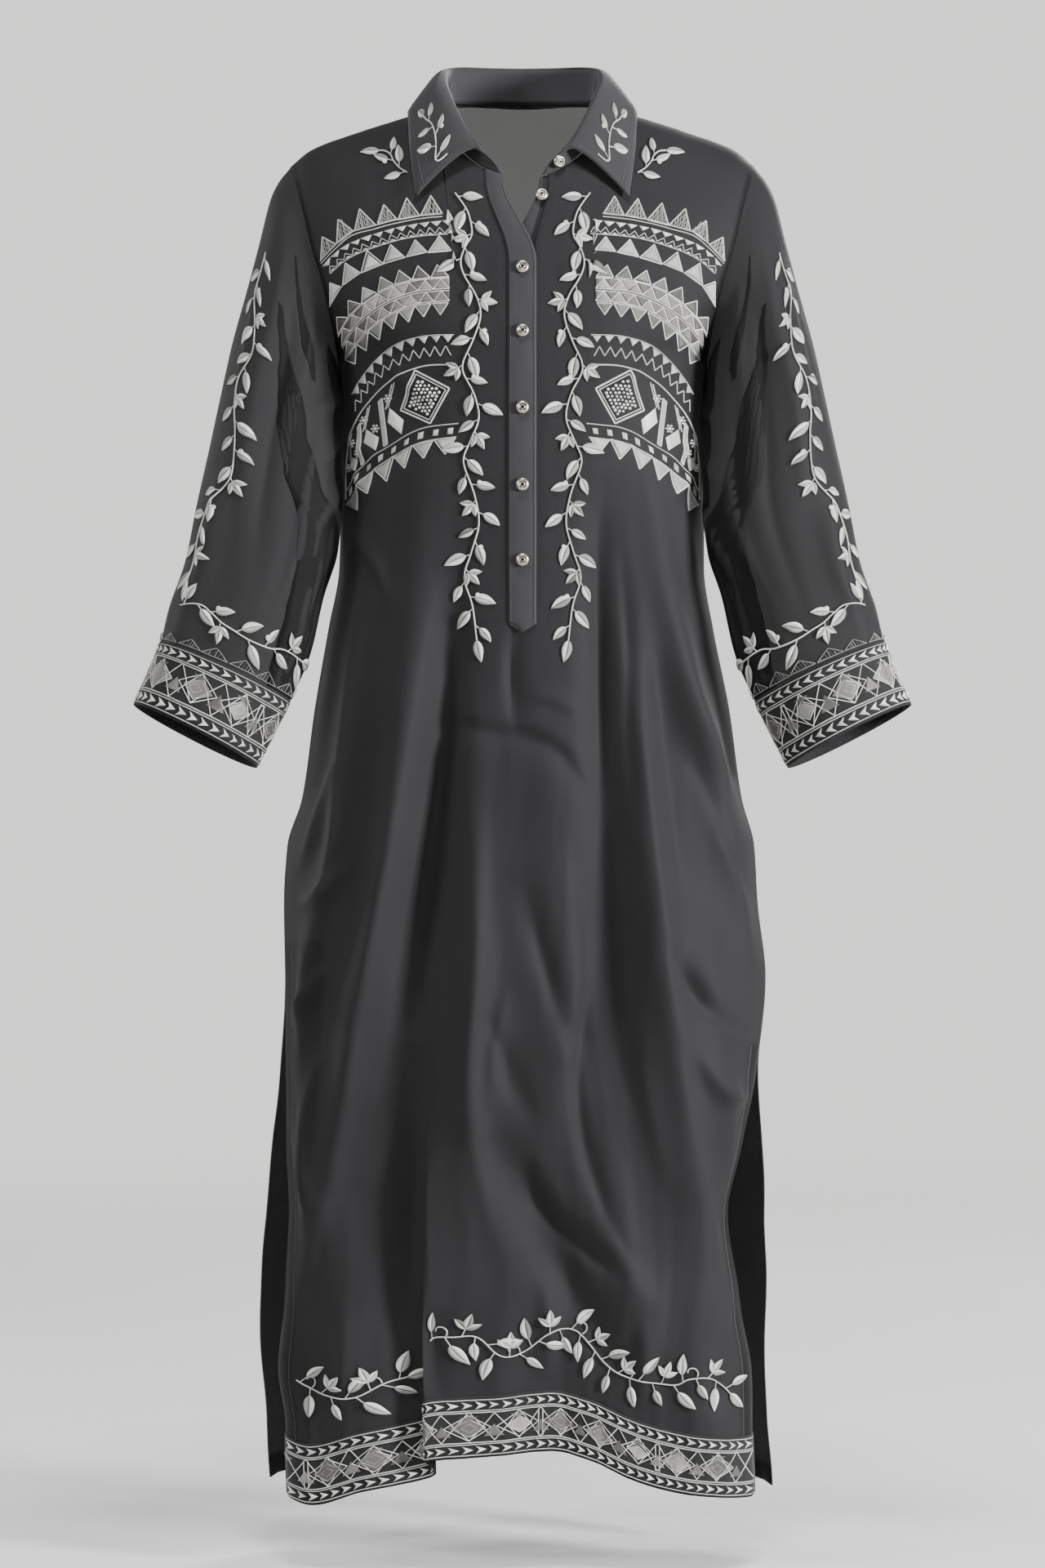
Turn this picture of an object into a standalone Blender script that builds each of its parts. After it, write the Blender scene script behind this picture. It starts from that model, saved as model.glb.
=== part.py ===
"""A long kurta tunic with a shirt collar, a half placket, straight sleeves and side slits, filled out
as if worn. Metres, +Z up, and the front faces -Y.

The origin lies between the shoulders, level with the neck points and on the plane of the side seams,
so the hem is about 1.2 m below it. Right and left are the wearer's: right is -X and left is +X.
Every cloth surface is a function of named sizes: a panel is walked across by "xi", from -1 at its right
edge to +1 at its left edge, and up and down by z. A piece that lies on a panel is made from the panel's
own points, moved out along their normals.
"""

import math
from typing import NamedTuple

import bmesh
import bpy
import numpy as np
from mathutils import Vector

# Cloth and seams
WALL = 0.0010
COLLAR_WALL = 0.0014
SEAM_GAP = 0.0003

# Heights of the body, from the neck points
SHOULDER_Z = -0.046
UNDERARM_Z = -0.2145
PLACKET_END_Z = -0.450
PLACKET_TIP_Z = -0.4573
SPLAY_Z = -0.142

# Neck and armhole
NECK_HALF = 0.070
NECK_SIDE_Z = 0.006
NECK_FRONT_Z = -0.0680
NECK_BACK_Z = 0.016
ARMHOLE_FRONT = 0.070
ARMHOLE_BACK = 0.072
ARMHOLE_ROUND = 0.024
SHOULDER_SEAM_HALF_GAP = 0.0003

# Placket
PLACKET_HALF = 0.0118
SLOT_XI = 0.046
PLACKET_SPLAY = 0.0125
SPLAY_FALL = 2.6
SPLAY_ROUNDS = 6
PLACKET_OUT = {"over": 0.0011, "under": -0.0026}
SLOT_ABOVE_PLACKET_END = 0.012
# How far the open neck moves the right and left edges of each strip.
NECK_SHIFT = {"over": (-0.0200, -0.0278), "under": (0.0262, 0.0180)}

# Bands
HEM_BAND_HEIGHT = 0.053
HEM_BAND_INSET = 0.0010
CUFF_BAND_STATION = 10 / 11

# Buttons
BUTTON_RADIUS = 0.0057
BUTTON_HEIGHT = 0.0034
BUTTON_PROFILE = (
    (0.0, 0.62),
    (0.42, 0.62),
    (0.66, 1.0),
    (0.96, 0.72),
    (1.0, 0.30),
    (0.62, 0.0),
    (0.0, 0.0),
)
BUTTON_SIDES = 12
BUTTON_SEAT = {"fastened": 0.0030, "undone": 0.0006, "stand": 0.0030}

# Vines
STEM_HALF = 0.0010
VINE_LIFT = 0.0012
VINE_HEIGHT = 0.0011
HEM_VINE_EXTRA = 0.0006

# Grids
BODY_ROWS = 20
YOKE_ROWS = 6
SLEEVE_SIDES = 18


def table(columns, *rows):
    """Rows of numbers as a dict of named columns."""
    return dict(zip(columns.split(), np.array(rows, float).T))


# Half widths and depths of the body. Above the underarm the half width is the armhole's.
BODY = table(
    "z       front_right front_left back_right back_left front_depth back_depth slit",
    (-1.210, 0.2035, 0.1990, 0.2220, 0.2190, 0.118, 0.132, 0.032),
    (-1.140, 0.2060, 0.2000, 0.2260, 0.2160, 0.119, 0.133, 0.031),
    (-1.095, 0.2110, 0.1990, 0.2290, 0.2135, 0.120, 0.133, 0.030),
    (-1.040, 0.2080, 0.1900, 0.2320, 0.2150, 0.121, 0.132, 0.028),
    (-0.960, 0.2060, 0.1815, 0.2280, 0.2150, 0.123, 0.131, 0.023),
    (-0.900, 0.2060, 0.1930, 0.2200, 0.2110, 0.124, 0.130, 0.016),
    (-0.840, 0.2070, 0.2040, 0.2130, 0.2060, 0.125, 0.128, 0.007),
    (-0.755, 0.2080, 0.2130, 0.2080, 0.2130, 0.125, 0.125, 0.000),
    (-0.690, 0.2090, 0.2060, 0.2090, 0.2060, 0.124, 0.122, 0.000),
    (-0.640, 0.2060, 0.2030, 0.2060, 0.2030, 0.123, 0.118, 0.000),
    (-0.598, 0.1930, 0.1920, 0.1930, 0.1920, 0.122, 0.114, 0.000),
    (-0.520, 0.1820, 0.1810, 0.1820, 0.1810, 0.120, 0.104, 0.000),
    (-0.450, 0.1700, 0.1670, 0.1700, 0.1670, 0.118, 0.094, 0.000),
    (-0.396, 0.1605, 0.1590, 0.1605, 0.1590, 0.119, 0.089, 0.000),
    (-0.300, 0.1585, 0.1590, 0.1585, 0.1590, 0.122, 0.092, 0.000),
    (-0.2145, 0.1620, 0.1620, 0.1620, 0.1620, 0.121, 0.099, 0.000),
    (-0.165, 0.1700, 0.1700, 0.1700, 0.1700, 0.118, 0.102, 0.000),
    (-0.125, 0.1820, 0.1820, 0.1820, 0.1820, 0.117, 0.102, 0.000),
    (-0.075, 0.1945, 0.1945, 0.1945, 0.1945, 0.117, 0.102, 0.000),
    (-0.046, 0.2030, 0.2030, 0.2030, 0.2030, 0.117, 0.102, 0.000),
)

# How far the slits of each side stay shut below their tops, and how round a panel is across.
SLIT_SHUT = {"right": 0.0, "left": 0.085}
ROUNDNESS = {"front": 2.2, "back": 2.3}

# Height of the shoulder line, carried on over the neck, where the neckline cuts it away.
SHOULDER_LINE = table(
    "x     front  back",
    (0.000, 0.0150, 0.0600),
    (0.035, 0.0130, 0.0400),
    (0.070, 0.0060, 0.0060),
    (0.092, 0.0000, 0.0000),
    (0.143, -0.0160, -0.0160),
    (0.184, -0.0310, -0.0310),
    (0.203, -0.0460, -0.0460),
)

# The hems: height, and how far the edge is blown in. The front one arches up in the middle.
FRONT_HEM = table(
    "xi    z       pushed",
    (-1.00, -1.2020, 0.000),
    (-0.90, -1.2060, 0.004),
    (-0.70, -1.1930, 0.016),
    (-0.45, -1.1780, 0.024),
    (-0.35, -1.1660, 0.026),
    (-0.10, -1.1610, 0.040),
    (0.12, -1.1580, 0.042),
    (0.28, -1.1650, 0.036),
    (0.50, -1.1840, 0.022),
    (0.72, -1.1950, 0.012),
    (1.00, -1.2020, 0.000),
)
BACK_HEM = table(
    "xi    z       pushed",
    (-1.00, -1.1980, 0.000),
    (-0.62, -1.1960, 0.005),
    (-0.30, -1.1740, 0.010),
    (0.00, -1.1520, 0.014),
    (0.28, -1.1580, 0.010),
    (0.62, -1.1920, 0.004),
    (1.00, -1.2050, 0.000),
)

# Hanging folds. Each runs down a panel through three points, and stands out or lies in by its height.
FRONT_FOLDS = table(
    "x_top   z_top   x_mid   z_mid   x_low   z_low   height  width",
    (-0.112, -0.310, -0.138, -0.530, -0.166, -0.780, 0.0100, 0.015),
    (-0.084, -0.290, -0.106, -0.600, -0.188, -1.030, 0.0160, 0.022),
    (-0.058, -0.400, -0.078, -0.580, -0.104, -0.800, -0.0120, 0.016),
    (-0.037, -0.500, -0.041, -0.800, -0.030, -1.040, 0.0080, 0.016),
    (0.020, -0.520, 0.030, -0.700, 0.022, -0.920, 0.0050, 0.020),
    (0.068, -0.320, 0.071, -0.560, 0.084, -0.860, -0.0130, 0.018),
    (0.092, -0.400, 0.114, -0.730, 0.180, -1.100, 0.0140, 0.019),
    (0.104, -0.300, 0.138, -0.490, 0.190, -0.680, 0.0090, 0.014),
    (0.130, -0.330, 0.160, -0.460, 0.176, -0.560, 0.0060, 0.012),
    (0.148, -0.700, 0.166, -0.820, 0.190, -0.940, 0.0100, 0.018),
    (0.040, -0.800, 0.074, -0.930, 0.116, -1.090, 0.0100, 0.019),
    (-0.020, -0.880, 0.028, -0.990, 0.080, -1.090, -0.0110, 0.018),
    (-0.176, -0.640, -0.184, -0.800, -0.178, -0.980, 0.0080, 0.016),
    (-0.152, -0.940, -0.148, -1.080, -0.136, -1.200, 0.0100, 0.024),
    (0.150, -1.010, 0.158, -1.110, 0.168, -1.200, 0.0100, 0.022),
    (-0.010, -1.000, -0.020, -1.110, -0.028, -1.230, 0.0070, 0.024),
)
BACK_FOLDS = table(
    "x_top   z_top   x_mid   z_mid   x_low   z_low   height  width",
    (-0.122, -0.280, -0.142, -0.560, -0.170, -0.900, 0.0120, 0.018),
    (-0.088, -0.330, -0.104, -0.680, -0.142, -1.140, -0.0120, 0.022),
    (-0.050, -0.300, -0.058, -0.640, -0.086, -1.180, 0.0130, 0.022),
    (-0.008, -0.420, -0.014, -0.740, -0.030, -1.220, -0.0110, 0.022),
    (0.036, -0.330, 0.040, -0.700, 0.036, -1.210, 0.0130, 0.022),
    (0.076, -0.380, 0.088, -0.700, 0.102, -1.160, -0.0120, 0.022),
    (0.114, -0.270, 0.134, -0.600, 0.166, -1.080, 0.0130, 0.020),
)
# The deep fold where the front laps over itself: its line, the cloth it takes up and its step forward.
LAP = table(
    "z      x       taken  step",
    (-1.21, -0.078, 0.054, 0.018),
    (-1.05, -0.082, 0.052, 0.017),
    (-0.94, -0.084, 0.042, 0.014),
    (-0.84, -0.074, 0.018, 0.008),
    (-0.72, -0.070, 0.000, 0.000),
)
LAP_HALF = 0.0165
LAP_REACH_ACROSS = 0.055
LAP_REACH_FORWARD = 0.080

# Folds swell in and out down their lines by this power of a half wave, and die out by the side seams.
FOLD_FADE = 0.7
FOLD_EDGE_XI = 0.12

# Right sleeve, seen from the front: its outer and inner edges, its middle depth, half depth, and how far
# the back of a section hangs below its front.
SLEEVE = table(
    "outer_x outer_z inner_x inner_z mid_y   depth  droop",
    (-0.2175, -0.0710, -0.1638, -0.2190, -0.0050, 0.0560, 0.0000),
    (-0.2290, -0.1170, -0.1620, -0.2250, -0.0120, 0.0560, 0.0000),
    (-0.2395, -0.1590, -0.1600, -0.2360, -0.0200, 0.0545, 0.0010),
    (-0.2510, -0.2030, -0.1590, -0.2560, -0.0290, 0.0530, 0.0020),
    (-0.2610, -0.2510, -0.1585, -0.2970, -0.0380, 0.0510, 0.0030),
    (-0.2710, -0.3000, -0.1585, -0.3420, -0.0450, 0.0500, 0.0040),
    (-0.2810, -0.3460, -0.1620, -0.3850, -0.0500, 0.0490, 0.0050),
    (-0.2910, -0.3960, -0.1740, -0.4250, -0.0550, 0.0480, 0.0055),
    (-0.3040, -0.4350, -0.1850, -0.4730, -0.0590, 0.0470, 0.0060),
    (-0.3110, -0.4650, -0.2020, -0.5140, -0.0620, 0.0460, 0.0060),
    (-0.3330, -0.5190, -0.2300, -0.5710, -0.0680, 0.0450, 0.0060),
)
# Lengthwise folds of a sleeve: angle round it from the outer edge over the front, and size.
SLEEVE_FOLDS = table(
    "angle  height  width  twist",
    (1.15, 0.0030, 0.22, -0.35),
    (2.05, -0.0035, 0.24, 0.25),
    (3.05, 0.0030, 0.22, -0.20),
    (4.20, -0.0035, 0.26, 0.30),
    (5.25, 0.0030, 0.24, -0.25),
)

# A sleeve takes the armhole's shape over its first part and stands a little clear of the body there.
ARMHOLE_FADE = 0.22
ARMHOLE_CLEAR = 0.0008
UNDERARM_CLEAR = 0.0012
ARMHOLE_CLEAR_END = 0.10
CUFF_FOLD_LOSS = 0.55

# The top of the collar's stand, from its front end round to the middle of the back, on the left side.
STAND_TOP = table(
    "across  x       y        z",
    (0.00, 0.0379, -0.0920, -0.0449),
    (0.13, 0.0505, -0.0780, -0.0205),
    (0.30, 0.0610, -0.0490, 0.0060),
    (0.46, 0.0665, -0.0160, 0.0270),
    (0.62, 0.0650, 0.0160, 0.0400),
    (0.78, 0.0480, 0.0420, 0.0460),
    (0.90, 0.0240, 0.0530, 0.0475),
    (1.00, 0.0000, 0.0560, 0.0478),
)
STAND_FRONT_X = 0.0165
STAND_END_ROUND = 0.0032
STAND_END_REACH = 0.16
# The stand's button, as (row up it, columns in from its left end).
STAND_BUTTON = (0.80, 0.55)
STAND_SIDE_SHARE = 0.50
# The collar leaf's outer edge at the same stations, and how far it stands off the panels.
LEAF_EDGE = table(
    "across  x       z        clear",
    (0.00, 0.0905, -0.0860, 0.0050),
    (0.13, 0.0940, -0.0610, 0.0045),
    (0.30, 0.0970, -0.0330, 0.0040),
    (0.46, 0.0975, -0.0110, 0.0085),
    (0.62, 0.0930, -0.0050, 0.0085),
    (0.78, 0.0700, 0.0012, 0.0128),
    (0.90, 0.0360, 0.0060, 0.0190),
    (1.00, 0.0000, 0.0072, 0.0200),
)

# Buttons down the placket, and the two undone ones above them.
FASTENED_Z = (-0.1473, -0.2019, -0.2668, -0.3320, -0.3957)
UNDONE_PLACE = (0.0164, -0.0836)

MATERIALS = {
    "georgette": ((0.055, 0.056, 0.059), 0.0, 0.85),
    "border_cloth": ((0.045, 0.046, 0.050), 0.0, 0.80),
    "collar_cloth": ((0.050, 0.051, 0.054), 0.0, 0.80),
    "metal_thread": ((0.66, 0.65, 0.62), 0.85, 0.38),
    "button_metal": ((0.62, 0.59, 0.53), 1.0, 0.30),
}


# ---------------------------------------------------------------------------------------------------
# Curves through tables


def smooth(keys, values, at):
    """Monotone cubic curve through (keys, values), held level past both ends."""
    order = np.argsort(keys)
    x, y = keys[order], values[order]
    step = np.diff(x)
    slope = np.diff(y) / step
    tangent = np.zeros_like(y)
    tangent[0], tangent[-1] = slope[0], slope[-1]
    same = slope[:-1] * slope[1:] > 0
    safe = np.where(same, slope[:-1] * slope[1:], 1.0)
    tangent[1:-1] = np.where(same, 2 * safe / np.where(same, slope[:-1] + slope[1:], 1.0), 0.0)
    at = np.clip(np.asarray(at, float), x[0], x[-1])
    index = np.clip(np.searchsorted(x, at) - 1, 0, len(step) - 1)
    t = (at - x[index]) / step[index]
    low, high = y[index], y[index + 1]
    rise_low, rise_high = tangent[index] * step[index], tangent[index + 1] * step[index]
    return (
        low * (1 + 2 * t) * (1 - t) ** 2
        + rise_low * t * (1 - t) ** 2
        + high * t * t * (3 - 2 * t)
        - rise_high * t * t * (1 - t)
    )


def column(rows, name, at):
    """A named column of a table, read at values of the table's first column."""
    return smooth(rows[next(iter(rows))], rows[name], at)


def blend(low, high, at):
    """Smooth step from 0 at low to 1 at high."""
    t = np.clip((np.asarray(at, float) - low) / (high - low), 0, 1)
    return t * t * (3 - 2 * t)


def through(points, steps):
    """A smooth open curve through points, steps to each span."""
    points = np.asarray(points, float)
    ends = np.vstack([2 * points[0] - points[1], points, 2 * points[-1] - points[-2]])
    curve = []
    for start in range(len(points) - 1):
        a, b, c, d = ends[start : start + 4]
        for t in np.arange(steps) / steps:
            square = (2 * a - 5 * b + 4 * c - d) * t**2
            cube = (3 * b - 3 * c + d - a) * t**3
            curve.append(0.5 * (2 * b + (c - a) * t + square + cube))
    curve.append(points[-1])
    return np.array(curve)


# ---------------------------------------------------------------------------------------------------
# The body's surfaces


def half_width(panel, xi, z):
    """Distance from the middle to the panel's edge at height z, on xi's side."""
    right = column(BODY, f"{panel}_right", z)
    left = column(BODY, f"{panel}_left", z)
    return np.where(xi < 0, right, left)


def shoulder_z(panel, xi):
    """Height where a column of the panel meets the shoulder line."""
    return column(SHOULDER_LINE, panel, np.abs(xi) * BODY["front_right"][-1])


def neckline_z(panel, x):
    """Height of the neckline at x: the front one dips, the back one is shallow."""
    share = np.sqrt(np.clip(1 - (x / NECK_HALF) ** 2, 0, 1))
    middle = NECK_FRONT_Z if panel == "front" else NECK_BACK_Z
    return NECK_SIDE_Z + (middle - NECK_SIDE_Z) * share


def hem_z(panel, xi):
    return column(FRONT_HEM if panel == "front" else BACK_HEM, "z", xi)


def splay(xi, z):
    """How far the open neck pulls the front's columns away from the middle."""
    amount = PLACKET_SPLAY * blend(SPLAY_Z, NECK_FRONT_Z, z)
    return np.sign(xi) * amount * np.clip(1 - (np.abs(xi) - SLOT_XI) * SPLAY_FALL, 0, 1)


def rise(panel, xi, z):
    """Share of the way from the underarm up to the shoulder line."""
    return np.clip((z - UNDERARM_Z) / (shoulder_z(panel, xi) - UNDERARM_Z), 0, 1)


def body_base(panel, xi, z, splayed=True):
    """Points of a panel before its folds. Splayed opens the front's neck."""
    xi, z = np.broadcast_arrays(np.asarray(xi, float), np.asarray(z, float))
    x = xi * half_width(panel, xi, z)
    depth = column(BODY, f"{panel}_depth", z)
    roundness = ROUNDNESS[panel]
    above = blend(UNDERARM_Z, UNDERARM_Z + 0.08, z)
    power = (1 - above) / roundness + above * 0.75
    across = np.clip(1 - np.abs(xi) ** roundness, 0, 1) ** power
    armhole = ARMHOLE_FRONT if panel == "front" else ARMHOLE_BACK
    edge = armhole * (1 - np.exp(-np.clip(z - UNDERARM_Z, 0, 1) / ARMHOLE_ROUND))
    out = edge + (depth - edge) * across
    out = out * np.sqrt(1 - rise(panel, xi, z) ** 2)
    side = np.where(xi < 0, 0.0, SLIT_SHUT["left"])
    out = out + column(BODY, "slit", z + side) * (1 - across)
    hem = FRONT_HEM if panel == "front" else BACK_HEM
    out = out - column(hem, "pushed", xi) * blend(-0.72, -1.20, z)
    out = np.maximum(out, 0) + SHOULDER_SEAM_HALF_GAP
    if panel == "back":
        return np.stack([x, out, z], -1)
    return np.stack([x + splay(xi, z) if splayed else x, -out, z], -1)


def fold_relief(rows, x, z):
    """How far the hanging folds lift a panel at (x, z)."""
    relief = np.zeros_like(x)
    for i in range(len(rows["x_top"])):
        row = {name: values[i] for name, values in rows.items()}
        t = (row["z_top"] - z) / (row["z_top"] - row["z_low"])
        middle = (row["z_top"] - row["z_mid"]) / (row["z_top"] - row["z_low"])
        bend = row["x_mid"] - row["x_top"] - (row["x_low"] - row["x_top"]) * middle
        line = row["x_top"] + (row["x_low"] - row["x_top"]) * t
        line = line + bend * t * (1 - t) / (middle * (1 - middle))
        envelope = np.sin(np.pi * np.clip(t, 0, 1)) ** FOLD_FADE
        relief = relief + row["height"] * envelope * np.exp(-(((x - line) / row["width"]) ** 2))
    return relief


def lap(points):
    """Folds the front over itself along the lap line."""
    z = points[..., 2]
    q = points[..., 0] - column(LAP, "x", z)
    turn = np.tanh(q / LAP_HALF)
    moved = points.copy()
    moved[..., 0] -= 0.5 * column(LAP, "taken", z) * turn * np.exp(-((q / LAP_REACH_ACROSS) ** 2))
    moved[..., 1] -= 0.5 * column(LAP, "step", z) * turn * np.exp(-((q / LAP_REACH_FORWARD) ** 2))
    return moved


def normals(points, outward):
    """Unit normals of a grid of points, on the outward side."""
    across = np.gradient(points, axis=1)
    along = np.gradient(points, axis=0)
    normal = np.cross(across, along)
    length = np.linalg.norm(normal, axis=-1, keepdims=True)
    normal = normal / np.maximum(length, 1e-9)
    middle = normal[normal.shape[0] // 2, normal.shape[1] // 2]
    return normal if middle @ np.asarray(outward, float) > 0 else -normal


class Sheet:
    """A grid of points with normals. Lay() reads it between its rows and columns."""

    def __init__(self, points, outward):
        self.points = points
        self.normals = normals(points, outward)

    def lay(self, row, col, out):
        """The points at fractional rows and columns, moved out."""
        row = np.clip(row, 0, self.points.shape[0] - 1.000001)
        col = np.clip(col, 0, self.points.shape[1] - 1.000001)
        r, c = np.floor(row).astype(int), np.floor(col).astype(int)
        fr, fc = (row - r)[..., None], (col - c)[..., None]
        found = []
        for grid in (self.points, self.normals):
            low = grid[r, c] * (1 - fc) + grid[r, c + 1] * fc
            high = grid[r + 1, c] * (1 - fc) + grid[r + 1, c + 1] * fc
            found.append(low * (1 - fr) + high * fr)
        normal = found[1] / np.linalg.norm(found[1], axis=-1, keepdims=True)
        return found[0] + normal * np.asarray(out, float)[..., None]


class Panel(Sheet):
    """The front or the back, hem to shoulder."""

    def __init__(self, panel, columns, folds, splayed=True):
        self.panel = panel
        self.splayed = splayed and panel == "front"
        self.columns = np.asarray(columns, float)
        rows = np.arange(BODY_ROWS + YOKE_ROWS + 1)
        xi, row = np.meshgrid(self.columns, rows)
        z = self.height(xi, row)
        base = body_base(panel, xi, z, splayed)
        outward = (0, -1, 0) if panel == "front" else (0, 1, 0)
        relief = fold_relief(folds, base[..., 0], z) * np.clip((1 - np.abs(xi)) / FOLD_EDGE_XI, 0, 1)
        points = base + normals(base, outward) * relief[..., None]
        points = lap(points) if panel == "front" else points
        super().__init__(points, outward)

    def top_z(self, xi):
        x = xi * BODY["front_right"][-1]
        if self.splayed:
            x = x + splay(xi, np.full_like(xi, NECK_FRONT_Z))
        at_neck = np.abs(x) < NECK_HALF
        return np.where(at_neck, neckline_z(self.panel, x), shoulder_z(self.panel, xi))

    def height(self, xi, row):
        """Height of a row: even below the underarm, and even in angle over the shoulder."""
        band = hem_z(self.panel, xi) + HEM_BAND_HEIGHT
        above_band = band + (UNDERARM_Z - band) * (row - 1) / (BODY_ROWS - 1)
        body = np.where(row < 1, band + HEM_BAND_HEIGHT * (row - 1), above_band)
        top = np.arcsin(rise(self.panel, xi, self.top_z(xi)))
        angle = top * np.clip((row - BODY_ROWS) / YOKE_ROWS, 0, 1)
        yoke = UNDERARM_Z + (shoulder_z(self.panel, xi) - UNDERARM_Z) * np.sin(angle)
        return np.where(row <= BODY_ROWS, body, yoke)

    def place(self, x, z):
        """Fractional row and column of the point seen at (x, z) from the front or back."""
        x, z = np.asarray(x, float), np.asarray(z, float)
        xi = x / half_width(self.panel, x, z)
        half = half_width(self.panel, x, z)
        for _ in range(SPLAY_ROUNDS if self.splayed else 0):
            xi = xi + (x - xi * half - splay(xi, z)) / half
        band = hem_z(self.panel, xi) + HEM_BAND_HEIGHT
        above_band = 1 + (z - band) / (UNDERARM_Z - band) * (BODY_ROWS - 1)
        body = np.where(z < band, 1 + (z - band) / HEM_BAND_HEIGHT, above_band)
        top = np.arcsin(rise(self.panel, xi, self.top_z(xi)))
        yoke = BODY_ROWS + YOKE_ROWS * np.arcsin(rise(self.panel, xi, z)) / top
        row = np.where(z <= UNDERARM_Z, body, yoke)
        return row, np.interp(xi, self.columns, np.arange(len(self.columns)))

    def on(self, x, z, out):
        row, col = self.place(x, z)
        return self.lay(row, col, np.broadcast_to(out, np.shape(row)))


# ---------------------------------------------------------------------------------------------------
# The sleeves


def armhole_point(angle):
    """Point of the right armhole: 0 is the shoulder point, pi the underarm, the front between."""
    over_front = np.sin(angle) >= 0
    share = (1 - np.cos(angle)) / 2
    z = SHOULDER_Z + (UNDERARM_Z - SHOULDER_Z) * share
    front = body_base("front", np.full_like(z, -1.0), z)
    back = body_base("back", np.full_like(z, -1.0), z)
    return np.where(over_front[..., None], front, back)


def sleeve_sheet(columns, rows):
    """Right sleeve as a grid: rows run down it, columns round it from the outer edge over the front."""
    stations = np.linspace(0, 1, len(SLEEVE["outer_x"]) + 1)
    armhole = armhole_point(np.array([0.0, math.pi]))
    start = {
        "outer_x": armhole[0, 0],
        "outer_z": armhole[0, 2],
        "inner_x": armhole[1, 0],
        "inner_z": armhole[1, 2],
        "mid_y": 0.0,
        "depth": SLEEVE["depth"][0],
        "droop": 0.0,
    }
    angle, t = np.meshgrid(columns, rows)
    read = {name: smooth(stations, np.r_[start[name], SLEEVE[name]], t) for name in SLEEVE}
    half_x = (read["outer_x"] - read["inner_x"]) / 2
    half_z = (read["outer_z"] - read["inner_z"]) / 2
    cos = np.cos(angle)
    sin = np.sin(angle)
    x = read["outer_x"] - half_x + half_x * cos
    y = read["mid_y"] - read["depth"] * sin
    z = read["outer_z"] - half_z + half_z * cos + read["droop"] * sin
    points = np.stack([x, y, z], -1)
    fade = (1 - blend(0.0, ARMHOLE_FADE, t))[..., None]
    points = points + (armhole_point(columns) - points[0])[None] * fade
    clear = ARMHOLE_CLEAR + UNDERARM_CLEAR * np.clip(-cos, 0, 1) ** 2
    points[..., 0] -= clear * (1 - blend(0.0, ARMHOLE_CLEAR_END, t))
    relief = np.zeros_like(t)
    for i in range(len(SLEEVE_FOLDS["angle"])):
        row = {name: values[i] for name, values in SLEEVE_FOLDS.items()}
        away = np.angle(np.exp(1j * (angle - row["angle"] - row["twist"] * t)))
        swell = blend(0.05, 0.40, t) * (1 - CUFF_FOLD_LOSS * blend(0.80, 1.0, t))
        relief += row["height"] * swell * np.exp(-((away / row["width"]) ** 2))
    tilt = np.stack([half_x, 0 * t, half_z], -1)
    tilt = tilt / np.linalg.norm(tilt, axis=-1, keepdims=True)
    out = tilt * cos[..., None] + np.array([0.0, -1.0, 0.0]) * sin[..., None]
    return points + out * relief[..., None]


# ---------------------------------------------------------------------------------------------------
# Making objects


def material_named(name):
    if name in bpy.data.materials:
        return bpy.data.materials[name]
    color, metallic, roughness = MATERIALS[name]
    made = bpy.data.materials.new(name)
    made.use_nodes = True
    shader = made.node_tree.nodes["Principled BSDF"]
    shader.inputs["Base Color"].default_value = (*color, 1)
    shader.inputs["Metallic"].default_value = metallic
    shader.inputs["Roughness"].default_value = roughness
    made.diffuse_color = (*color, 1)
    return made


def add_object(name, mesh, material, collection):
    made = bpy.data.objects.new(name, mesh)
    collection.objects.link(made)
    mesh.materials.append(material_named(material))
    mesh.shade_smooth()
    mesh.set_sharp_from_angle(angle=math.radians(50))
    return made


def cloth(name, points, outward, material, collection, closed=False, skip=None, wall=WALL, inward=True):
    """A cloth wall on a grid of points, with Solidify. Closed joins the last column to the first, and
    skip(row, col) leaves a cell open."""
    rows, cols = points.shape[:2]
    mesh = bpy.data.meshes.new(name)
    faces = []
    for r in range(rows - 1):
        for c in range(cols if closed else cols - 1):
            if skip is None or not skip(r, c):
                after = (c + 1) % cols
                faces.append((r * cols + c, r * cols + after, (r + 1) * cols + after, (r + 1) * cols + c))
    mesh.from_pydata(points.reshape(-1, 3).tolist(), [], faces)
    builder = bmesh.new()
    builder.from_mesh(mesh)
    loose = [v for v in builder.verts if not v.link_faces]
    bmesh.ops.delete(builder, geom=loose, context="VERTS")
    builder.faces.ensure_lookup_table()
    builder.normal_update()
    facing = sum((face.normal * face.calc_area() for face in builder.faces), Vector((0, 0, 0)))
    if closed:
        middle = points.reshape(-1, 3).mean(0)
        face = builder.faces[0]
        flip = np.dot(face.normal, np.array(face.calc_center_median()) - middle) < 0
    else:
        flip = np.dot(facing, outward) < 0
    if flip:
        bmesh.ops.reverse_faces(builder, faces=builder.faces)
    builder.to_mesh(mesh)
    builder.free()
    made = add_object(name, mesh, material, collection)
    shell = made.modifiers.new("Wall", "SOLIDIFY")
    shell.thickness = wall
    shell.offset = -1 if inward else 1
    shell.use_even_offset = False
    return made


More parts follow.
